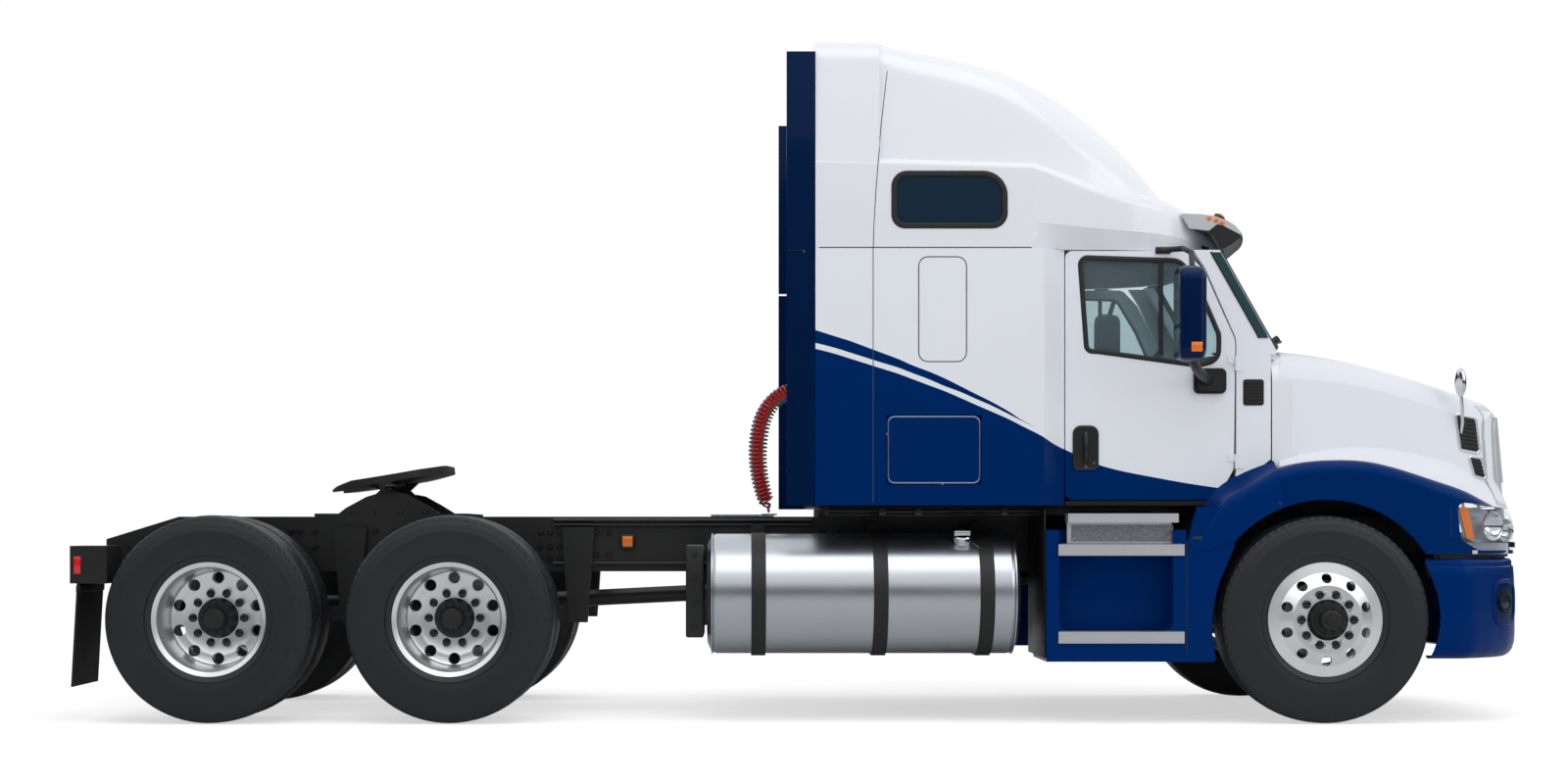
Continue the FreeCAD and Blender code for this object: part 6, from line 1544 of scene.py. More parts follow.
@dataclass
class AirLines:
    """The three curly lines from the cab's back wall to the deck."""

    route: tuple[Flat, ...] = (
        (0.018, 1.905), (-0.076, 1.897), (-0.173, 1.845), (-0.24, 1.746), (-0.267, 1.619),
        (-0.272, 1.489), (-0.256, 1.36), (-0.226, 1.254), (-0.197, 1.168),
    )
    # Each line: (node, y at the wall, y at the deck, share of the bulge, outside diameter of the coil).
    lines: tuple[tuple[str, float, float, float, float], ...] = (
        ("red_air_coil", -0.15, -0.105, 1.0, 0.084),
        ("green_electric_coil", 0.0, 0.0, 0.92, 0.1),
        ("blue_air_coil", 0.15, 0.105, 1.05, 0.084),
    )
    hose: float = 0.012
    pitch: float = 0.024
    lead_pitch: float = 0.17
    lead: float = 0.09
    steps: int = 14

    def points(self, y_wall: float, y_deck: float, share: float) -> list[Vector]:
        """The route's control points of one line.

        Args:
            y_wall: Its place across the truck at the cab's wall.
            y_deck: Its place across the truck at the deck.
            share: How far it bulges, as a share of the route's bulge.

        Returns:
            The control points.
        """
        count = len(self.route) - 1
        (x0, _), (x1, _) = self.route[0], self.route[-1]
        points = []
        for i, (x, z) in enumerate(self.route):
            straight = x0 + (x1 - x0) * i / count
            bulge = x if i in (0, count) else straight + (x - straight) * share
            points.append(Vector((bulge, y_wall + (y_deck - y_wall) * i / count, z)))
        return points

    def spline(self, name: str, points: Iterable[Vector], radius: float) -> bpy.types.Object:
        """A curve of one NURBS spline.

        Args:
            name: The curve's name.
            points: Its control points.
            radius: Its radius; 0 for a bare guide, which is drawn finer.

        Returns:
            The curve.
        """
        points = list(points)
        curve = bpy.data.curves.new(name, "CURVE")
        curve.dimensions = "3D"
        curve.bevel_depth = radius
        curve.bevel_resolution = 3
        curve.resolution_u = 3 if radius else 24
        line = curve.splines.new("NURBS")
        line.points.add(len(points) - 1)
        for spot, point in zip(line.points, points):
            spot.co = (*point, 1.0)
        line.order_u = 3
        line.use_endpoint_u = True
        return shown(name, curve)

    def build(self) -> None:
        """Winds each line round its route."""
        for name, y_wall, y_deck, share, outside in self.lines:
            guide = self.spline(f"{name}_guide", self.points(y_wall, y_deck, share), 0.0)
            bpy.context.view_layer.update()
            mesh = bpy.data.meshes.new_from_object(guide)
            path = [vert.co.copy() for vert in mesh.vertices]
            bpy.data.objects.remove(guide)
            bpy.data.meshes.remove(mesh)
            wound, length = self.wound(path, outside)
            hose = self.spline(f"{name}_wound", wound, self.hose / 2)
            hose.data.materials.append(HOSES[name].material())
            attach(hose, "chassis")
            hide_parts(name)
            LOG.info("%s: %.2f m of hose", name, length)

    def wound(self, path: Sequence[Vector], outside: float) -> tuple[list[Vector], float]:
        """Turns of a helix along a path; it opens out gently at both ends.

        Args:
            path: Points along the coil's axis.
            outside: The turns' outside diameter.

        Returns:
            The helix's points and its length.
        """
        gaps = [(b - a).length for a, b in zip(path, path[1:])]
        whole = sum(gaps)
        full = (outside - self.hose) / 2
        wound: list[Vector] = []
        at, gone, place, angle, side = 0, 0.0, 0.0, 0.0, Vector((0, 1, 0))
        while place < whole:
            near = min(1.0, min(place, whole - place) / self.lead)
            share = near * near * (3 - 2 * near)
            while at < len(gaps) - 1 and gone + gaps[at] < place:
                gone += gaps[at]
                at += 1
            way = (path[at + 1] - path[at]).normalized()
            middle = path[at] + way * (place - gone)
            side = (side - way * side.dot(way)).normalized()
            high = way.cross(side)
            wound.append(middle + (side * math.cos(angle) + high * math.sin(angle)) * full * share)
            angle += 2 * math.pi / self.steps
            place += (self.lead_pitch + (self.pitch - self.lead_pitch) * share) / self.steps
        wound.append(path[-1].copy())
        return wound, sum((b - a).length for a, b in zip(wound, wound[1:]))


@dataclass
class BonnetDetail:
    """Vents, lamps, mirrors, strips, liners and rear panels of the bonnet."""

    upper_vent: tuple[Point, ...] = (
        (3.633, 1.713, 0.012), (3.665, 1.51, 0.015), (3.788, 1.492, 0.02), (3.762, 1.69, 0.02),
    )
    lower_vent: tuple[Point, ...] = (
        (3.716, 1.477, 0.012), (3.796, 1.466, 0.012), (3.83, 1.345, 0.015), (3.752, 1.366, 0.015),
    )
    bowls: tuple[Point, ...] = ((3.79, 1.085, 0.075), (3.89, 1.06, 0.06))
    turn_lamp: tuple[Flat, ...] = ((3.57, 1.185), (3.622, 1.187), (3.665, 1.012), (3.617, 1.012))
    lamp_back: tuple[Flat, ...] = (
        (3.575, 1.19), (3.75, 1.18), (3.86, 1.13), (3.86, 1.0), (3.7, 0.99), (3.62, 1.03),
    )
    wing_rear_edge: tuple[Flat, ...] = (
        (2.112, 1.004), (2.166, 1.107), (2.259, 1.24), (2.398, 1.323), (2.57, 1.388),
    )
    wing_crown: tuple[Flat, ...] = (
        (-1.088, 0.056), (-1.125, 0.03), (-1.18, 0.012), (-1.205, -0.002), (-1.216, -0.014),
        (-WING_Y, -0.03),
    )
    door_room: float = 0.036  # how far the wing's rear end is lowered for the open door
    arch_radius: float = 0.655
    liner_radius: float = 0.712
    nose: tuple[float, float] = (4.04, 3.6)  # the nose's edge lies between these

    def build(self) -> None:
        """Makes the pieces on the bonnet."""
        self.skin = Skin("hood")
        self.vents()
        self.headlamps()
        self.mirrors()
        self.seam()
        self.wing_rear()
        self.rear_flange()
        self.nose_strip()
        self.liners()

    def vents(self) -> None:
        """Louvred vents in the bonnet's sides, in raised rims."""
        louvres = Stock("hood_vent_louvres", PLASTIC, "bonnet")
        rims = Stock("hood_vent_rims", SATIN, "bonnet")
        for corners in (self.upper_vent, self.lower_vent):
            outline = rounded(corners)
            on = self.skin.laid(outline, 0.0015)
            off = self.skin.laid(outline, -0.002)
            louvres.sheet([Vector(p) for p in off + on], len(on), ring=True)
            louvres.add([Vector(p) for p in on], [range(len(on))])
            rims.tube(self.skin.laid(outline, 0.003), 0.008, closed=True, flat=0.6)
            z0, z1 = min(p[1] for p in corners), max(p[1] for p in corners)
            for i in range(1, int((z1 - z0) / 0.022)):
                z = z0 + 0.022 * i
                xs = crossings(outline, z)
                if len(xs) == 2:
                    line = [(xs[0] + (xs[1] - xs[0]) * k / 4, z - 0.004 * k) for k in range(5)]
                    louvres.tube(self.skin.laid(line, 0.003), 0.004, flat=0.8)
        louvres.mirror().done()
        rims.mirror().done()

    def headlamps(self) -> None:
        """Reflectors, housings and turn lamps behind the lenses, and the bright strip below."""
        skin = Skin("headlamps")
        bowls = Stock("headlamp_reflectors", CHROME, "bonnet")
        amber = Stock("headlamp_turn_lamps", AMBER, "bonnet")
        housings = Stock("headlamp_housings", SATIN, "bonnet")
        way = Vector((0.55, -0.83, 0)).normalized()
        for x, z, r in self.bowls:
            spot = skin.side(x, z, -0.035)
            outline = [(0.0, r), (-0.02, r * 0.9), (-0.045, r * 0.6), (-0.06, r * 0.25), (-0.062, 0)]
            bowls.lathe(outline, spot, way, 40)
            bowls.lathe([(0.0, r), (0.004, r * 1.08), (-0.004, r * 1.1)], spot, way, 40)
        lens = skin.laid(self.turn_lamp, -0.028) + skin.laid(self.turn_lamp, -0.06)
        amber.sheet([Vector(p) for p in lens], len(self.turn_lamp), ring=True, capped=True)
        rear = [Vector(p) for p in skin.laid(self.lamp_back, -0.11)]
        housings.add(rear, [range(len(rear))])
        bezel = Stock("headlamp_bezels", BRIGHT, "bonnet")
        spots = [(3.64 + 0.25 * i / 15, 0.93 + 0.062 * k / 3) for i in range(16) for k in range(4)]
        bezel.sheet([Vector(p) for p in self.skin.laid(spots, 0.004)], 4)
        for stock in (bowls, amber, housings, bezel):
            stock.mirror().done()

    def seam(self) -> None:
        """Joint between the wing and the bonnet's rear corner."""
        lines = Stock("wing_seams", SEAM, "bonnet")
        path = [(2.493 + 0.086 * i / 8, 1.333 - 0.133 * i / 8) for i in range(9)]
        lines.tube(self.skin.laid(path, 0.0005), 0.003, flat=0.4)
        lines.mirror().done()

    def mirrors(self) -> None:
        """Slim convex mirrors on bright stalks."""
        stalks = Stock("hood_mirror_stalks", CHROME, "bonnet")
        foot = self.skin.side(3.672, 1.6)
        path = [
            (3.672, foot[1] + 0.01, 1.6), (3.668, -0.9, 1.66), (3.658, -0.925, 1.74), (3.65, -0.93, 1.82),
        ]
        stalks.tube(path, 0.009, sides=12)
        sides, rows, middle = 32, 12, (3.648, -0.93, 1.885)
        rings = [(math.sin(math.pi * k / rows), math.cos(math.pi * k / rows)) for k in range(rows + 1)]
        points = [
            Vector(middle) + Vector((0.024 * out * a, 0.072 * out * b, 0.082 * up))
            for out, up in rings for _, (a, b) in ring_of(sides, 1.0, 0.0, 0.0)
        ]
        stalks.sheet(points, sides, ring=True)
        stalks.mirror().done("hood_mirrors", sharp=60)

    def door_way(self, x: float) -> float:
        """How far the wing's rear end is lowered to let the open door's lower corner pass."""
        return self.door_room * min(1.0, max(0.0, (2.56 - x) / 0.15))

    def wing_rear(self) -> None:
        """The part of each wing that runs down behind the wheel to the step fairing.

        Its crown is laid row by row along the upper edge; below it the flank is one strip down to the
        arch, with the arch's lip turned in.
        """
        panel = Stock("wing_rear_panels", BLUE, "bonnet")
        upper = smooth(self.wing_rear_edge)
        lower = self.arch(2.335, 2.6, len(upper))  # down to the fairing, from where the bonnet takes over
        points = []
        for x, z in upper:
            for y, rise in self.wing_crown:
                low = self.door_way(x) if y < -1.1 else 0.0
                points.append(Vector((x, y, z + rise - low)))
        panel.sheet(points, len(self.wing_crown))
        outer = [Vector((x, -WING_Y, z - 0.03 - self.door_way(x))) for x, z in upper]
        arch = [Vector((x, -WING_Y, z)) for x, z in lower]
        inner = [Vector((x, -1.17, z + 0.004)) for x, z in lower]
        panel.sheet(outer + arch + inner, len(upper))
        panel.mirror().done(sharp=40)

    def arch(self, start: float, end: float, count: int) -> list[Flat]:
        """Points of the wheel arch's edge.

        Args:
            start: Where the first point is, along the truck.
            end: Where the last one is.
            count: How many points.

        Returns:
            The (x, z) of each.
        """
        xs = [start + (end - start) * i / (count - 1) for i in range(count)]
        return [(x, HUB_Z + math.sqrt(self.arch_radius**2 - (x - FRONT_X) ** 2)) for x in xs]

    def nose_strip(self) -> None:
        """Bright strip down the nose's edge, and one that bridges it to the grille."""
        strip = Stock("nose_bright_strips", BRIGHT, "bonnet")
        start, least = self.nose
        heights = [0.965 + 0.8 * k / 27 for k in range(28)]
        edges = [(self.skin.edge(start, z, least, 0.004), z) for z in heights]
        near = self.skin.laid([(x - 0.008, z) for x, z in edges], 0.004)
        far = self.skin.laid([(x - 0.085, z) for x, z in edges], 0.004)
        strip.sheet([Vector(p) for p in near + far], len(near))
        strip.mirror().done()
        face = Skin("grille")
        bridge = Stock("grille_edge_strips", BRIGHT, "bonnet")
        heights = [1.33 + 0.37 * k / 18 for k in range(19)]
        edges = [(self.skin.edge(start, z, least, 0.004), z) for z in heights]
        outer = self.skin.laid([(x - 0.012, z) for x, z in edges], 0.003)
        inner = [face.front(-0.69, z, 0.012) for z in heights]
        bridge.sheet([Vector(p) for p in outer + inner], len(heights))
        bridge.mirror().done()

    def liners(self) -> None:
        """Black wheel house liners under the wings."""
        liner = Stock("wheel_house_liners", PLASTIC, "bonnet")
        turns = [math.radians(18 + 140 * i / 36) for i in range(37)]
        spots = [(self.liner_radius * math.cos(turn), self.liner_radius * math.sin(turn)) for turn in turns]
        ys = (-1.185, -1.0, -0.8)
        liner.sheet([Vector((FRONT_X + x, y, HUB_Z + z)) for x, z in spots for y in ys], len(ys))
        liner.mirror().done()

    def rear_flange(self) -> None:
        """The bonnet's side behind the wheel house, up to the cowl."""
        panel = Stock("hood_rear_sides", WHITE, "bonnet")
        columns = ((2.5605, 1.0885), (2.6, 1.0835), (2.65, 1.0785), (2.705, 1.0715))
        heights = [1.385 + 0.0295 * k for k in range(24)]
        points = []
        for z in heights:
            fall = max(0.0, 1.071 + self.skin.side(2.71, max(z, 1.47))[1])
            points += [Vector((x, -(y - fall), z)) for x, y in columns]
        panel.sheet(points, len(columns))
        panel.mirror().done()

    def dress(self) -> None:
        """Paint of the bonnet."""
        dress(BRIGHT, "grille")
        dress(WINGS, "hood")
        dress(BLUE, "side_fairings")


@dataclass
class Bumper:
    """The bumper with the dark filler over it and the fog lamps in its corners.

    Attributes:
        plan: (y, x) round its right half, from its rear edge to the middle.
        section: (inset from the plan, z) from its lower lip to its ledge.
        filler_rear: Where the filler ends, clear of the steered tyre.
    """

    fog_at: Flat = (3.85, 0.662)
    fog_half: Flat = (0.078, 0.118)
    plan: tuple[Flat, ...] = (
        (-1.205, 3.376), (-1.21, 3.5), (-1.2, 3.62), (-1.15, 3.715), (-1.1, 3.79), (-1.0, 3.9),
        (-0.85, 3.976), (-0.6, 4.022), (-0.3, 4.041), (0.0, 4.045),
    )
    section: tuple[Flat, ...] = (
        (0.14, 0.37), (0.085, 0.355), (0.055, 0.36), (0.032, 0.375), (0.014, 0.4), (0.003, 0.44),
        (0.0, 0.48), (0.0, 0.54), (0.0, 0.6), (0.0, 0.7), (0.004, 0.8), (0.008, 0.855), (0.011, 0.862),
        (0.016, 0.864), (0.017, 0.87), (0.018, 0.89), (0.028, 0.903), (0.05, 0.906), (0.14, 0.906),
    )
    filler_rear: float = 3.43

    def build(self) -> None:
        """Makes the shell, the filler, the blank plate and the fog lamps."""
        self.shell()
        self.fog_lamps()

    def shell(self) -> None:
        """The bumper with its ledge and rolled lower edge, and the dark filler over it."""
        plan = smooth(self.plan, 54)
        plan += [(-y, x) for y, x in plan[-2::-1]]
        shell = Stock("bumper_shell", BLUE)
        points = []
        for i, (y, x) in enumerate(plan):
            before, after = Vector(plan[max(0, i - 1)]), Vector(plan[min(len(plan) - 1, i + 1)])
            along = (after - before).normalized()
            for inset, z in self.section:
                back = max(x - along.x * inset, self.rear(z))
                points.append(Vector((back, y + along.y * inset, z)))
        shell.sheet(points, len(self.section))
        shell.done("bumper", sharp=50)
        filler = Stock("bumper_top_filler", PLASTIC)
        inner = [(max(x - 0.045, self.filler_rear), y * 0.965) for y, x in plan]
        filler.prism(inner, 0.88, 0.935, axis=2)
        filler.done()
        blank = Stock("number_plate_blank", SATIN)
        blank.prism(plate((-0.17, 0.56), (0.17, 0.72), 0.01), 4.036, 4.045, axis=0)
        blank.done()

    def rear(self, z: float) -> float:
        """Where the bumper's rear edge stands at a height; it is hollowed round the tyre."""
        share = min(1.0, max(0.0, (z - 0.355) / 0.52))
        return self.plan[0][1] + 0.03 * (1 - share) + 0.062 * math.sin(math.pi * share)

    def fog_lamps(self) -> None:
        """Recesses in the bumper's corners with their lamps; each recess is the bumper's blue paint drawn in
        navy, as painted shade.
        """
        skin = Skin("bumper")
        # painted shade: the recess is the bumper's blue paint (its slot), drawn in the darker navy
        recess = Stock("fog_lamp_recesses", NAVY, slot="blue_paint")
        rims = Stock("fog_lamp_rims", BLUE)
        lamps = Stock("fog_lamps", PRIVACY)
        bodies = Stock("fog_lamp_bodies", PLASTIC)
        sides, rings = 40, []
        for share, proud in ((1.0, 0.003), (0.8, 0.005), (0.55, 0.005), (0.3, 0.005), (0.02, 0.005)):
            for _, unit in ring_of(sides, 1.0, 0.0, 0.0):
                squared = [math.copysign(abs(u) ** 0.6, u) * share for u in unit]
                x, z = (at + half * u for at, half, u in zip(self.fog_at, self.fog_half, squared))
                rings.append(Vector(skin.side(x, z, proud)))
        recess.sheet(rings, sides, ring=True)
        rims.tube(rings[:sides], 0.012, closed=True, flat=0.7)
        spot = skin.side(self.fog_at[0] - 0.004, self.fog_at[1], 0.004)
        way = Vector((0.62, -0.78, 0)).normalized()
        bodies.lathe([(-0.01, 0.052), (0.014, 0.05), (0.014, 0.042), (0.004, 0.04)], spot, way, 40)
        lamps.lathe([(0.004, 0.04), (0.011, 0.036), (0.014, 0.02), (0.015, 0)], spot, way, 32)
        for stock in (recess, rims, lamps, bodies):
            stock.mirror().done()


def smooth(corners: Sequence[Flat], steps: int = 16) -> list[Flat]:
    """A smooth line through given points.

    Args:
        corners: The points.
        steps: How many pieces the line has.

    Returns:
        The line's points.
    """
    points = [Vector(corner) for corner in corners]
    points = [points[0] * 2 - points[1], *points, points[-1] * 2 - points[-2]]
    line = []
    for i in range(steps + 1):
        place = min(i / steps * (len(corners) - 1), len(corners) - 1 - 1e-6)
        k, t = int(place), place - int(place)
        a, b, c, d = points[k : k + 4]
        square, cube = 2 * a - 5 * b + 4 * c - d, 3 * b - a - 3 * c + d
        spot = 0.5 * (2 * b + (c - a) * t + square * t**2 + cube * t**3)
        line.append((spot.x, spot.y))
    return line


def crossings(outline: Sequence[Flat], height: float) -> list[float]:
    """Where a closed outline crosses a height.

    Args:
        outline: The outline's (x, z) points.
        height: The height.

    Returns:
        The crossings' x, in rising order.
    """
    found = []
    for (x0, z0), (x1, z1) in zip(outline, list(outline[1:]) + [outline[0]]):
        if (z0 - height) * (z1 - height) < 0:
            found.append(x0 + (x1 - x0) * (height - z0) / (z1 - z0))
    return sorted(found)


# ---------------------------------------------------------------- rear end and inside


@dataclass
class RearEnd:
    """Tail lamps, mud flaps, and the fifth wheel's plate, cheeks and lever."""

    pivot_x: float = -2.36
    front_share: float = 0.74
    lens: tuple[Flat, ...] = ((0.004, 0.052), (0.016, 0.048), (0.021, 0.035), (0.022, 0))
    bezel: tuple[Flat, ...] = ((-0.002, 0.062), (0.008, 0.06), (0.008, 0.05), (0.0, 0.05))
    cheek: tuple[Point, ...] = (
        (-2.72, 1.143, 0.01), (-2.66, 1.19, 0.02), (-2.54, 1.255, 0.03), (-2.42, 1.292, 0.03),
        (-2.3, 1.27, 0.03), (-2.2, 1.215, 0.03), (-2.12, 1.165, 0.02), (-2.1, 1.143, 0.01),
    )
    flap: tuple[Flat, ...] = ((-4.014, 0.772), (-4.004, 0.772), (-4.036, 0.2), (-4.046, 0.2))
    flap_strip: tuple[Point, ...] = (
        (-4.022, 0.72, 0.003), (-3.998, 0.72, 0.003), (-3.996, 0.76, 0.003), (-4.02, 0.76, 0.003),
    )
    lever: tuple[Point, ...] = (
        (-2.35, -0.2, 1.33), (-2.36, -0.36, 1.322), (-2.37, -0.46, 1.318), (-2.42, -0.5, 1.315),
    )

    def build(self) -> None:
        """Makes the lamps, the cheeks, the plate and the flaps."""
        low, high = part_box("rear_light_bar")
        red, amber = Stock("tail_lamp_lenses", RED), Stock("tail_turn_lenses", AMBER)
        dark = Stock("tail_lamp_bezels", PLASTIC)
        x, z = low[0], (low[2] + high[2]) / 2
        for y, stock in ((-1.03, red), (-0.88, red), (-0.73, amber)):
            stock.lathe(self.lens, (x, y, z), (-1, 0, 0), 40)
            dark.lathe(self.bezel, (x, y, z), (-1, 0, 0), 40)
        red.block((x + 0.022, low[1] - 0.007, z - 0.05), (x + 0.06, low[1] + 0.004, z + 0.045), 0.004)
        dark.block((x + 0.014, low[1] - 0.003, z - 0.058), (x + 0.068, low[1] + 0.004, z + 0.053), 0.004)
        for stock in (red, amber, dark):
            stock.mirror().done()
        self.brackets()
        self.plate()
        self.flaps()

    def flaps(self) -> None:
        """Mud flaps that hang from the light bar, with their holding strips."""
        flaps = Stock("mud_flap_sheets", RUBBER)
        flaps.prism(self.flap, -1.14, -0.62)
        flaps.prism(rounded(self.flap_strip), -1.13, -0.63)
        flaps.mirror().done("mud_flaps")

    def brackets(self) -> None:
        """Cheek plates that carry the fifth wheel on its base."""
        cheeks = Stock("fifth_wheel_cheeks", CHASSIS)
        cheeks.prism(rounded(self.cheek), -0.4, -0.385)
        for x in (-2.64, -2.5, -2.34, -2.2):
            cheeks.bolt((x, -0.4, 1.168), OUT, 0.024)
        cheeks.mirror().done()

    def plate(self) -> None:
        """The plate, its lead-in shortened ahead of the pivot, and the jaw's lever."""
        recut("fifth_wheel_plate", "fifth_wheel_top", CAST, "coupling_plate", self.shortened)
        lever = Stock("fifth_wheel_lever", CHASSIS, "coupling_plate")
        lever.tube(self.lever, 0.009)
        lever.drum((-2.42, -0.435, 1.322), OUT, 0.04, 0.02)
        lever.drum((-2.42, -0.455, 1.322), OUT, 0.022, 0.014)
        lever.done()

    def shortened(self, at: Vector) -> Vector:
        """Where a point of the carried-over plate goes."""
        ahead = at.x - self.pivot_x
        return Vector((self.pivot_x + ahead * (self.front_share if ahead > 0 else 1.0), at.y, at.z))


@dataclass
class Inside:
    """What shows through the glass: the seats and the bunk."""

    seat_x: float = 1.56
    seat_ys: tuple[float, float] = (-0.48, 0.48)
    voxel: float = 0.012
    pressure: float = 4.0

    def build(self) -> None:
        """Makes the seats and the bunk."""
        for y, word in zip(self.seat_ys, ("right", "left")):
            self.seat(y, word)
        self.bunk()

    def padded(self, stock: Stock, cap: float, fill: float, *stands_for: str) -> bpy.types.Object:
        """Blows a pad up as sewn cloth round foam.

        Args:
            stock: Its starting form, a little small.
            cap: How far a point may move.
            fill: Not used.
            stands_for: Carried-over nodes that it replaces.

        Returns:
            The padded piece.
        """
        pad = stock.done(*stands_for, sharp=60)
        bpy.context.view_layer.objects.active = pad
        remesh = pad.modifiers.new("voxels", "REMESH")
        remesh.mode, remesh.voxel_size = "VOXEL", self.voxel
        start = [vert.co.copy() for vert in applied(pad).vertices]
        cloth = pad.modifiers.new("cover", "CLOTH")
        cloth.settings.use_pressure = True
        cloth.settings.uniform_pressure_force = self.pressure
        cloth.settings.quality = 5
        cloth.settings.effector_weights.gravity = 0.0
        cloth.point_cache.frame_start, cloth.point_cache.frame_end = 1, 20
        scene = bpy.context.scene
        for step in range(1, 21):
            scene.frame_set(step)
        blown = applied(pad)
        for vert, was in zip(blown.vertices, start):
            moved = vert.co - was
            if moved.length > cap:
                vert.co = was + moved.normalized() * cap
        blown.materials.clear()
        blown.materials.append(CLOTH.material())
        blown.shade_smooth()
        scene.frame_set(1)
        smooth = pad.modifiers.new("rounding", "SUBSURF")
        smooth.levels = smooth.render_levels = 1
        return pad

    def seat(self, y: float, word: str) -> None:
        """A driver's or mate's seat: cushion and back rest on a bellows base.

        Args:
            y: Its middle across the truck.
            word: Its side's word.
        """
        x = self.seat_x
        cushion = Stock(f"seat_cushion_{word}", CLOTH)
        cushion.block((x, y - 0.24, 1.66), (x + 0.5, y + 0.24, 1.78), 0.04)
        stands = ("seats",) if word == "right" else ()
        self.padded(cushion, 0.012, 0.7, *stands)
        back = Stock(f"seat_back_{word}", CLOTH)
        outline = rounded([
            (x - 0.03, 1.72, 0.03), (x + 0.1, 1.72, 0.04), (x + 0.02, 2.22, 0.05), (x - 0.07, 2.24, 0.05),
        ], 4)
        back.prism(outline, y - 0.23, y + 0.23)
        self.padded(back, 0.012, 0.7)
        base = Stock(f"seat_base_{word}", TRIM)
        base.block((x + 0.03, y - 0.19, 1.226), (x + 0.44, y + 0.19, 1.3), 0.01)
        for k in range(6):
            base.block((x + 0.06, y - 0.16, 1.31 + 0.05 * k), (x + 0.41, y + 0.16, 1.35 + 0.05 * k), 0.015)
        base.block((x + 0.01, y - 0.22, 1.6), (x + 0.47, y + 0.22, 1.645), 0.01)
        base.done()

    def bunk(self) -> None:
        """The sleeper's mattress."""
        low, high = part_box("bunk_mattress")
        edge = Vector((0.012, 0.012, 0.012))
        pad = Stock("bunk_mattress_padded", CLOTH)
        foot = Vector((low[0] + edge.x, low[1] + edge.y, low[2] + 0.002))
        pad.block(tuple(foot), tuple(Vector(high) - edge), 0.03)
        coarse = Inside(voxel=0.025)
        coarse.padded(pad, 0.011, 0.6, "bunk_mattress")


# ---------------------------------------------------------------- studio


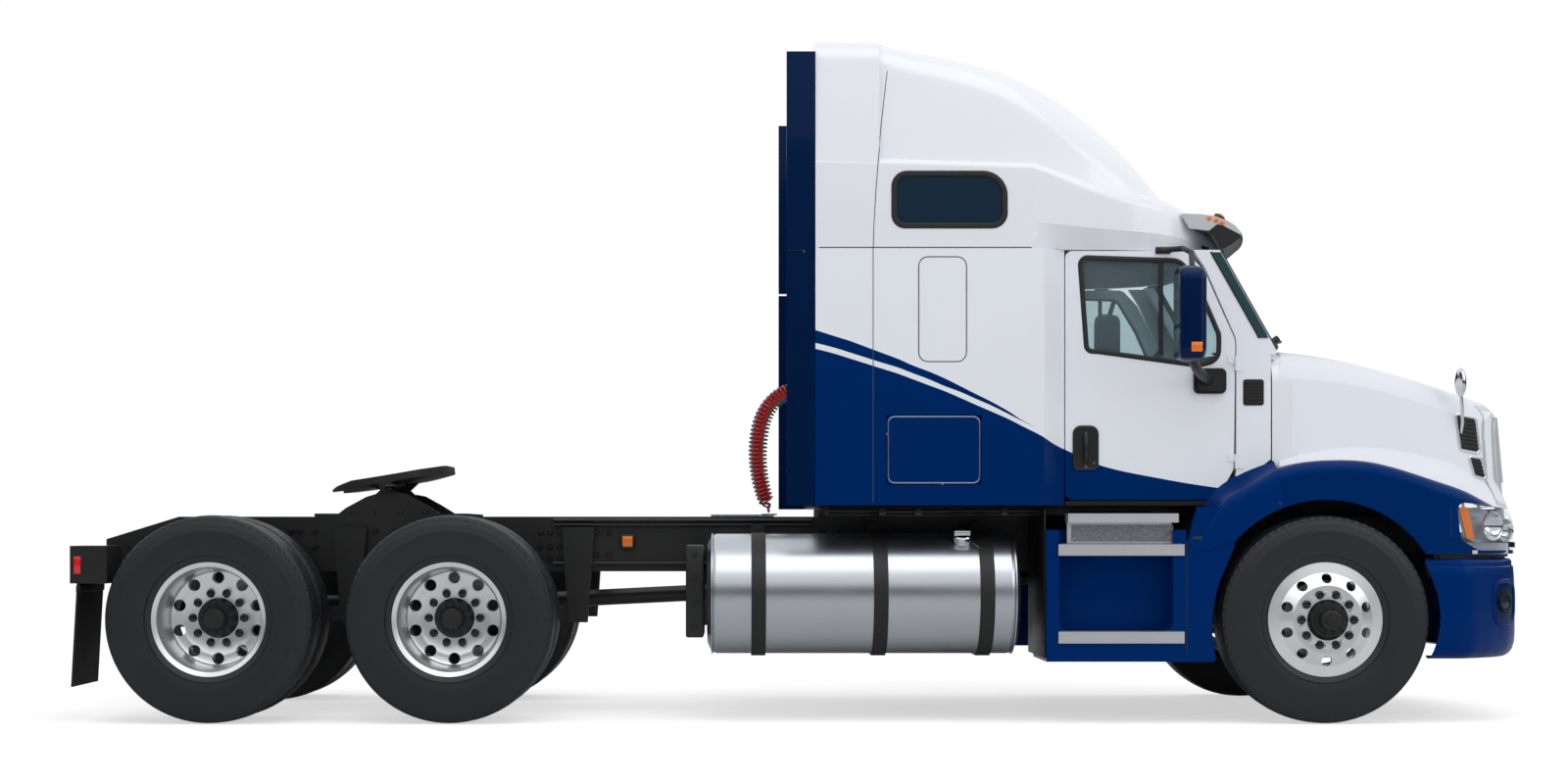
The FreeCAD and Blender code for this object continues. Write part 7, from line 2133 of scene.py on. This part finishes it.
@dataclass
class Studio:
    """Pale floor, soft light and the camera square to the truck's right side."""

    camera_at: Point = (-0.40, -14.10, 1.05)
    lens: float = 54.2
    shift: Flat = (0.03125, 0.0894)
    floor_half: float = 60.0
    skirt_radius: float = 24.0
    skirt_height: float = 7.0
    # Each lamp: (name, place, width and height, watts).
    lamps: tuple[tuple[str, Point, Flat, float], ...] = (
        ("overhead", (1.0, -5.0, 9.0), (10.0, 6.0), 240.0),
        ("front", (9.0, -6.0, 5.0), (5.0, 5.0), 110.0),
    )
    floor_glow: float = 0.57

    def build(self) -> None:
        """Makes the camera, the lamps, the sky and the floor."""
        scene = bpy.context.scene
        scene.view_settings.view_transform = "Standard"
        data = bpy.data.cameras.new("camera")
        data.lens = self.lens
        data.shift_x, data.shift_y = self.shift
        camera = shown("camera", data)
        camera.location = self.camera_at
        camera.rotation_euler = (math.pi / 2, 0, 0)
        scene.camera = camera
        for name, at, size, watts in self.lamps:
            self.lamp(name, at, size, watts)
        self.sky()
        self.floor()
        self.skirt()

    def lamp(self, name: str, at: Point, size: Flat, watts: float) -> None:
        """An area lamp that looks at the middle of the truck.

        Args:
            name: Its name.
            at: Its place.
            size: Its width and height.
            watts: Its power.
        """
        data = bpy.data.lights.new(name, "AREA")
        data.shape = "RECTANGLE"
        data.size, data.size_y = size
        data.energy = watts
        lamp = shown(name, data)
        lamp.location = at
        lamp.rotation_euler = (Vector((0, 0, 1.6)) - Vector(at)).to_track_quat("-Z", "Y").to_euler()

    def sky(self) -> None:
        """A sky that is white where it is seen; in what it lights it is darker at the horizon."""
        world = bpy.data.worlds.new("sky")
        world.use_nodes = True
        tree = world.node_tree
        tree.nodes.clear()
        most = {"operation": "MAXIMUM"}
        path = add_node(tree, "LightPath").outputs
        straight = add_node(
            tree, "Math", most, i0=path["Is Camera Ray"], i1=path["Is Transmission Ray"]
        ).outputs[0]
        seen = add_node(tree, "Math", most, i0=straight, i1=path["Is Glossy Ray"]).outputs[0]
        way = add_node(tree, "SeparateXYZ", Vector=add_node(tree, "TexCoord").outputs["Generated"])
        rise = add_node(
            tree, "MapRange", {"interpolation_type": "SMOOTHSTEP"}, Value=way.outputs["Z"],
            From_Min=0.02, From_Max=0.45, To_Min=1.05, To_Max=0.62,
        )
        strength = add_node(tree, "Mix", i0=seen, i2=rise.outputs[0], i3=1.0).outputs[0]
        sky = add_node(tree, "Background", Color=(1, 1, 1, 1), Strength=strength).outputs[0]
        add_node(tree, "OutputWorld", Surface=sky)
        bpy.context.scene.world = world

    def floor(self) -> None:
        """A matt floor that is white where nothing shades it."""
        half = self.floor_half
        mesh = bpy.data.meshes.new("floor")
        corners = [(-half, -half, 0), (half, -half, 0), (half, half, 0), (-half, half, 0)]
        mesh.from_pydata(corners, [], [(0, 1, 2, 3)])
        floor = shown("floor", mesh)
        made = bpy.data.materials.new("studio_floor")
        made.use_nodes = True
        tree = made.node_tree
        tree.nodes.clear()
        path = add_node(tree, "LightPath").outputs
        seen = add_node(
            tree, "Math", {"operation": "MAXIMUM"}, i0=path["Is Camera Ray"], i1=path["Is Transmission Ray"]
        ).outputs[0]
        share = add_node(tree, "Math", {"operation": "MULTIPLY"}, i0=seen, i1=self.floor_glow).outputs[0]
        glow = add_node(tree, "Emission", Strength=share).outputs[0]
        matt = add_node(tree, "BsdfDiffuse", Color=(0.75, 0.75, 0.75, 1)).outputs[0]
        both = add_node(tree, "AddShader", i0=glow, i1=matt).outputs[0]
        add_node(tree, "OutputMaterial", Surface=both)
        mesh.materials.append(made)

    def skirt(self) -> None:
        """A dark cloth round the studio, seen only in gloss, that gives metal and paint their depth."""
        cloth = Finish("studio_cloth", "#2b2e33", "#25282c", 0.9)
        ring = Stock("studio_skirt", cloth)
        wall = ((0.02, self.skirt_radius), (self.skirt_height, self.skirt_radius))
        ring.lathe(wall, (0, 0, 0), (0, 0, 1), 64)
        mesh = bpy.data.meshes.new("studio_skirt")
        ring.form.to_mesh(mesh)
        ring.form.free()
        mesh.materials.append(cloth.material())
        skirt = shown("studio_skirt", mesh)
        skirt.visible_camera = skirt.visible_diffuse = skirt.visible_shadow = False
        skirt.visible_transmission = False


def main() -> None:
    """Builds the truck's sub-assemblies in order and reports each."""
    slots = {
        "white_paint": WHITE, "blue_paint": BLUE, "dark_blue_paint": NAVY, "frame_paint": CHASSIS,
        "cast_metal": CAST, "polished_aluminium": ALUMINIUM, "chrome": CHROME, "tyre": TYRE,
        "rubber": RUBBER, "glass": GLASS, "lamp_glass": LAMP, "black_plastic": PLASTIC,
        "interior_plastic": TRIM, "upholstery": CLOTH,
    }
    for entry in frame["record"]["subparts"]:
        finish = slots.get(entry["material_slot"]) or HOSES[entry["node"]]
        dress(finish, entry["node"])
    for assembly in (
        RunningGear(), FrameDetail(), Tanks(), CabDetail(), BonnetDetail(), Bumper(), RoofSkin(),
        Windscreen(), DoorMirror(), AirLines(), RearEnd(), Inside(),
    ):
        assembly.build()
        if hasattr(assembly, "dress"):
            assembly.dress()
        LOG.info("%s built", type(assembly).__name__)
    Studio().build()


if __name__ == "__main__":
    logging.basicConfig(level=logging.INFO, format="%(name)s: %(message)s")
    main()
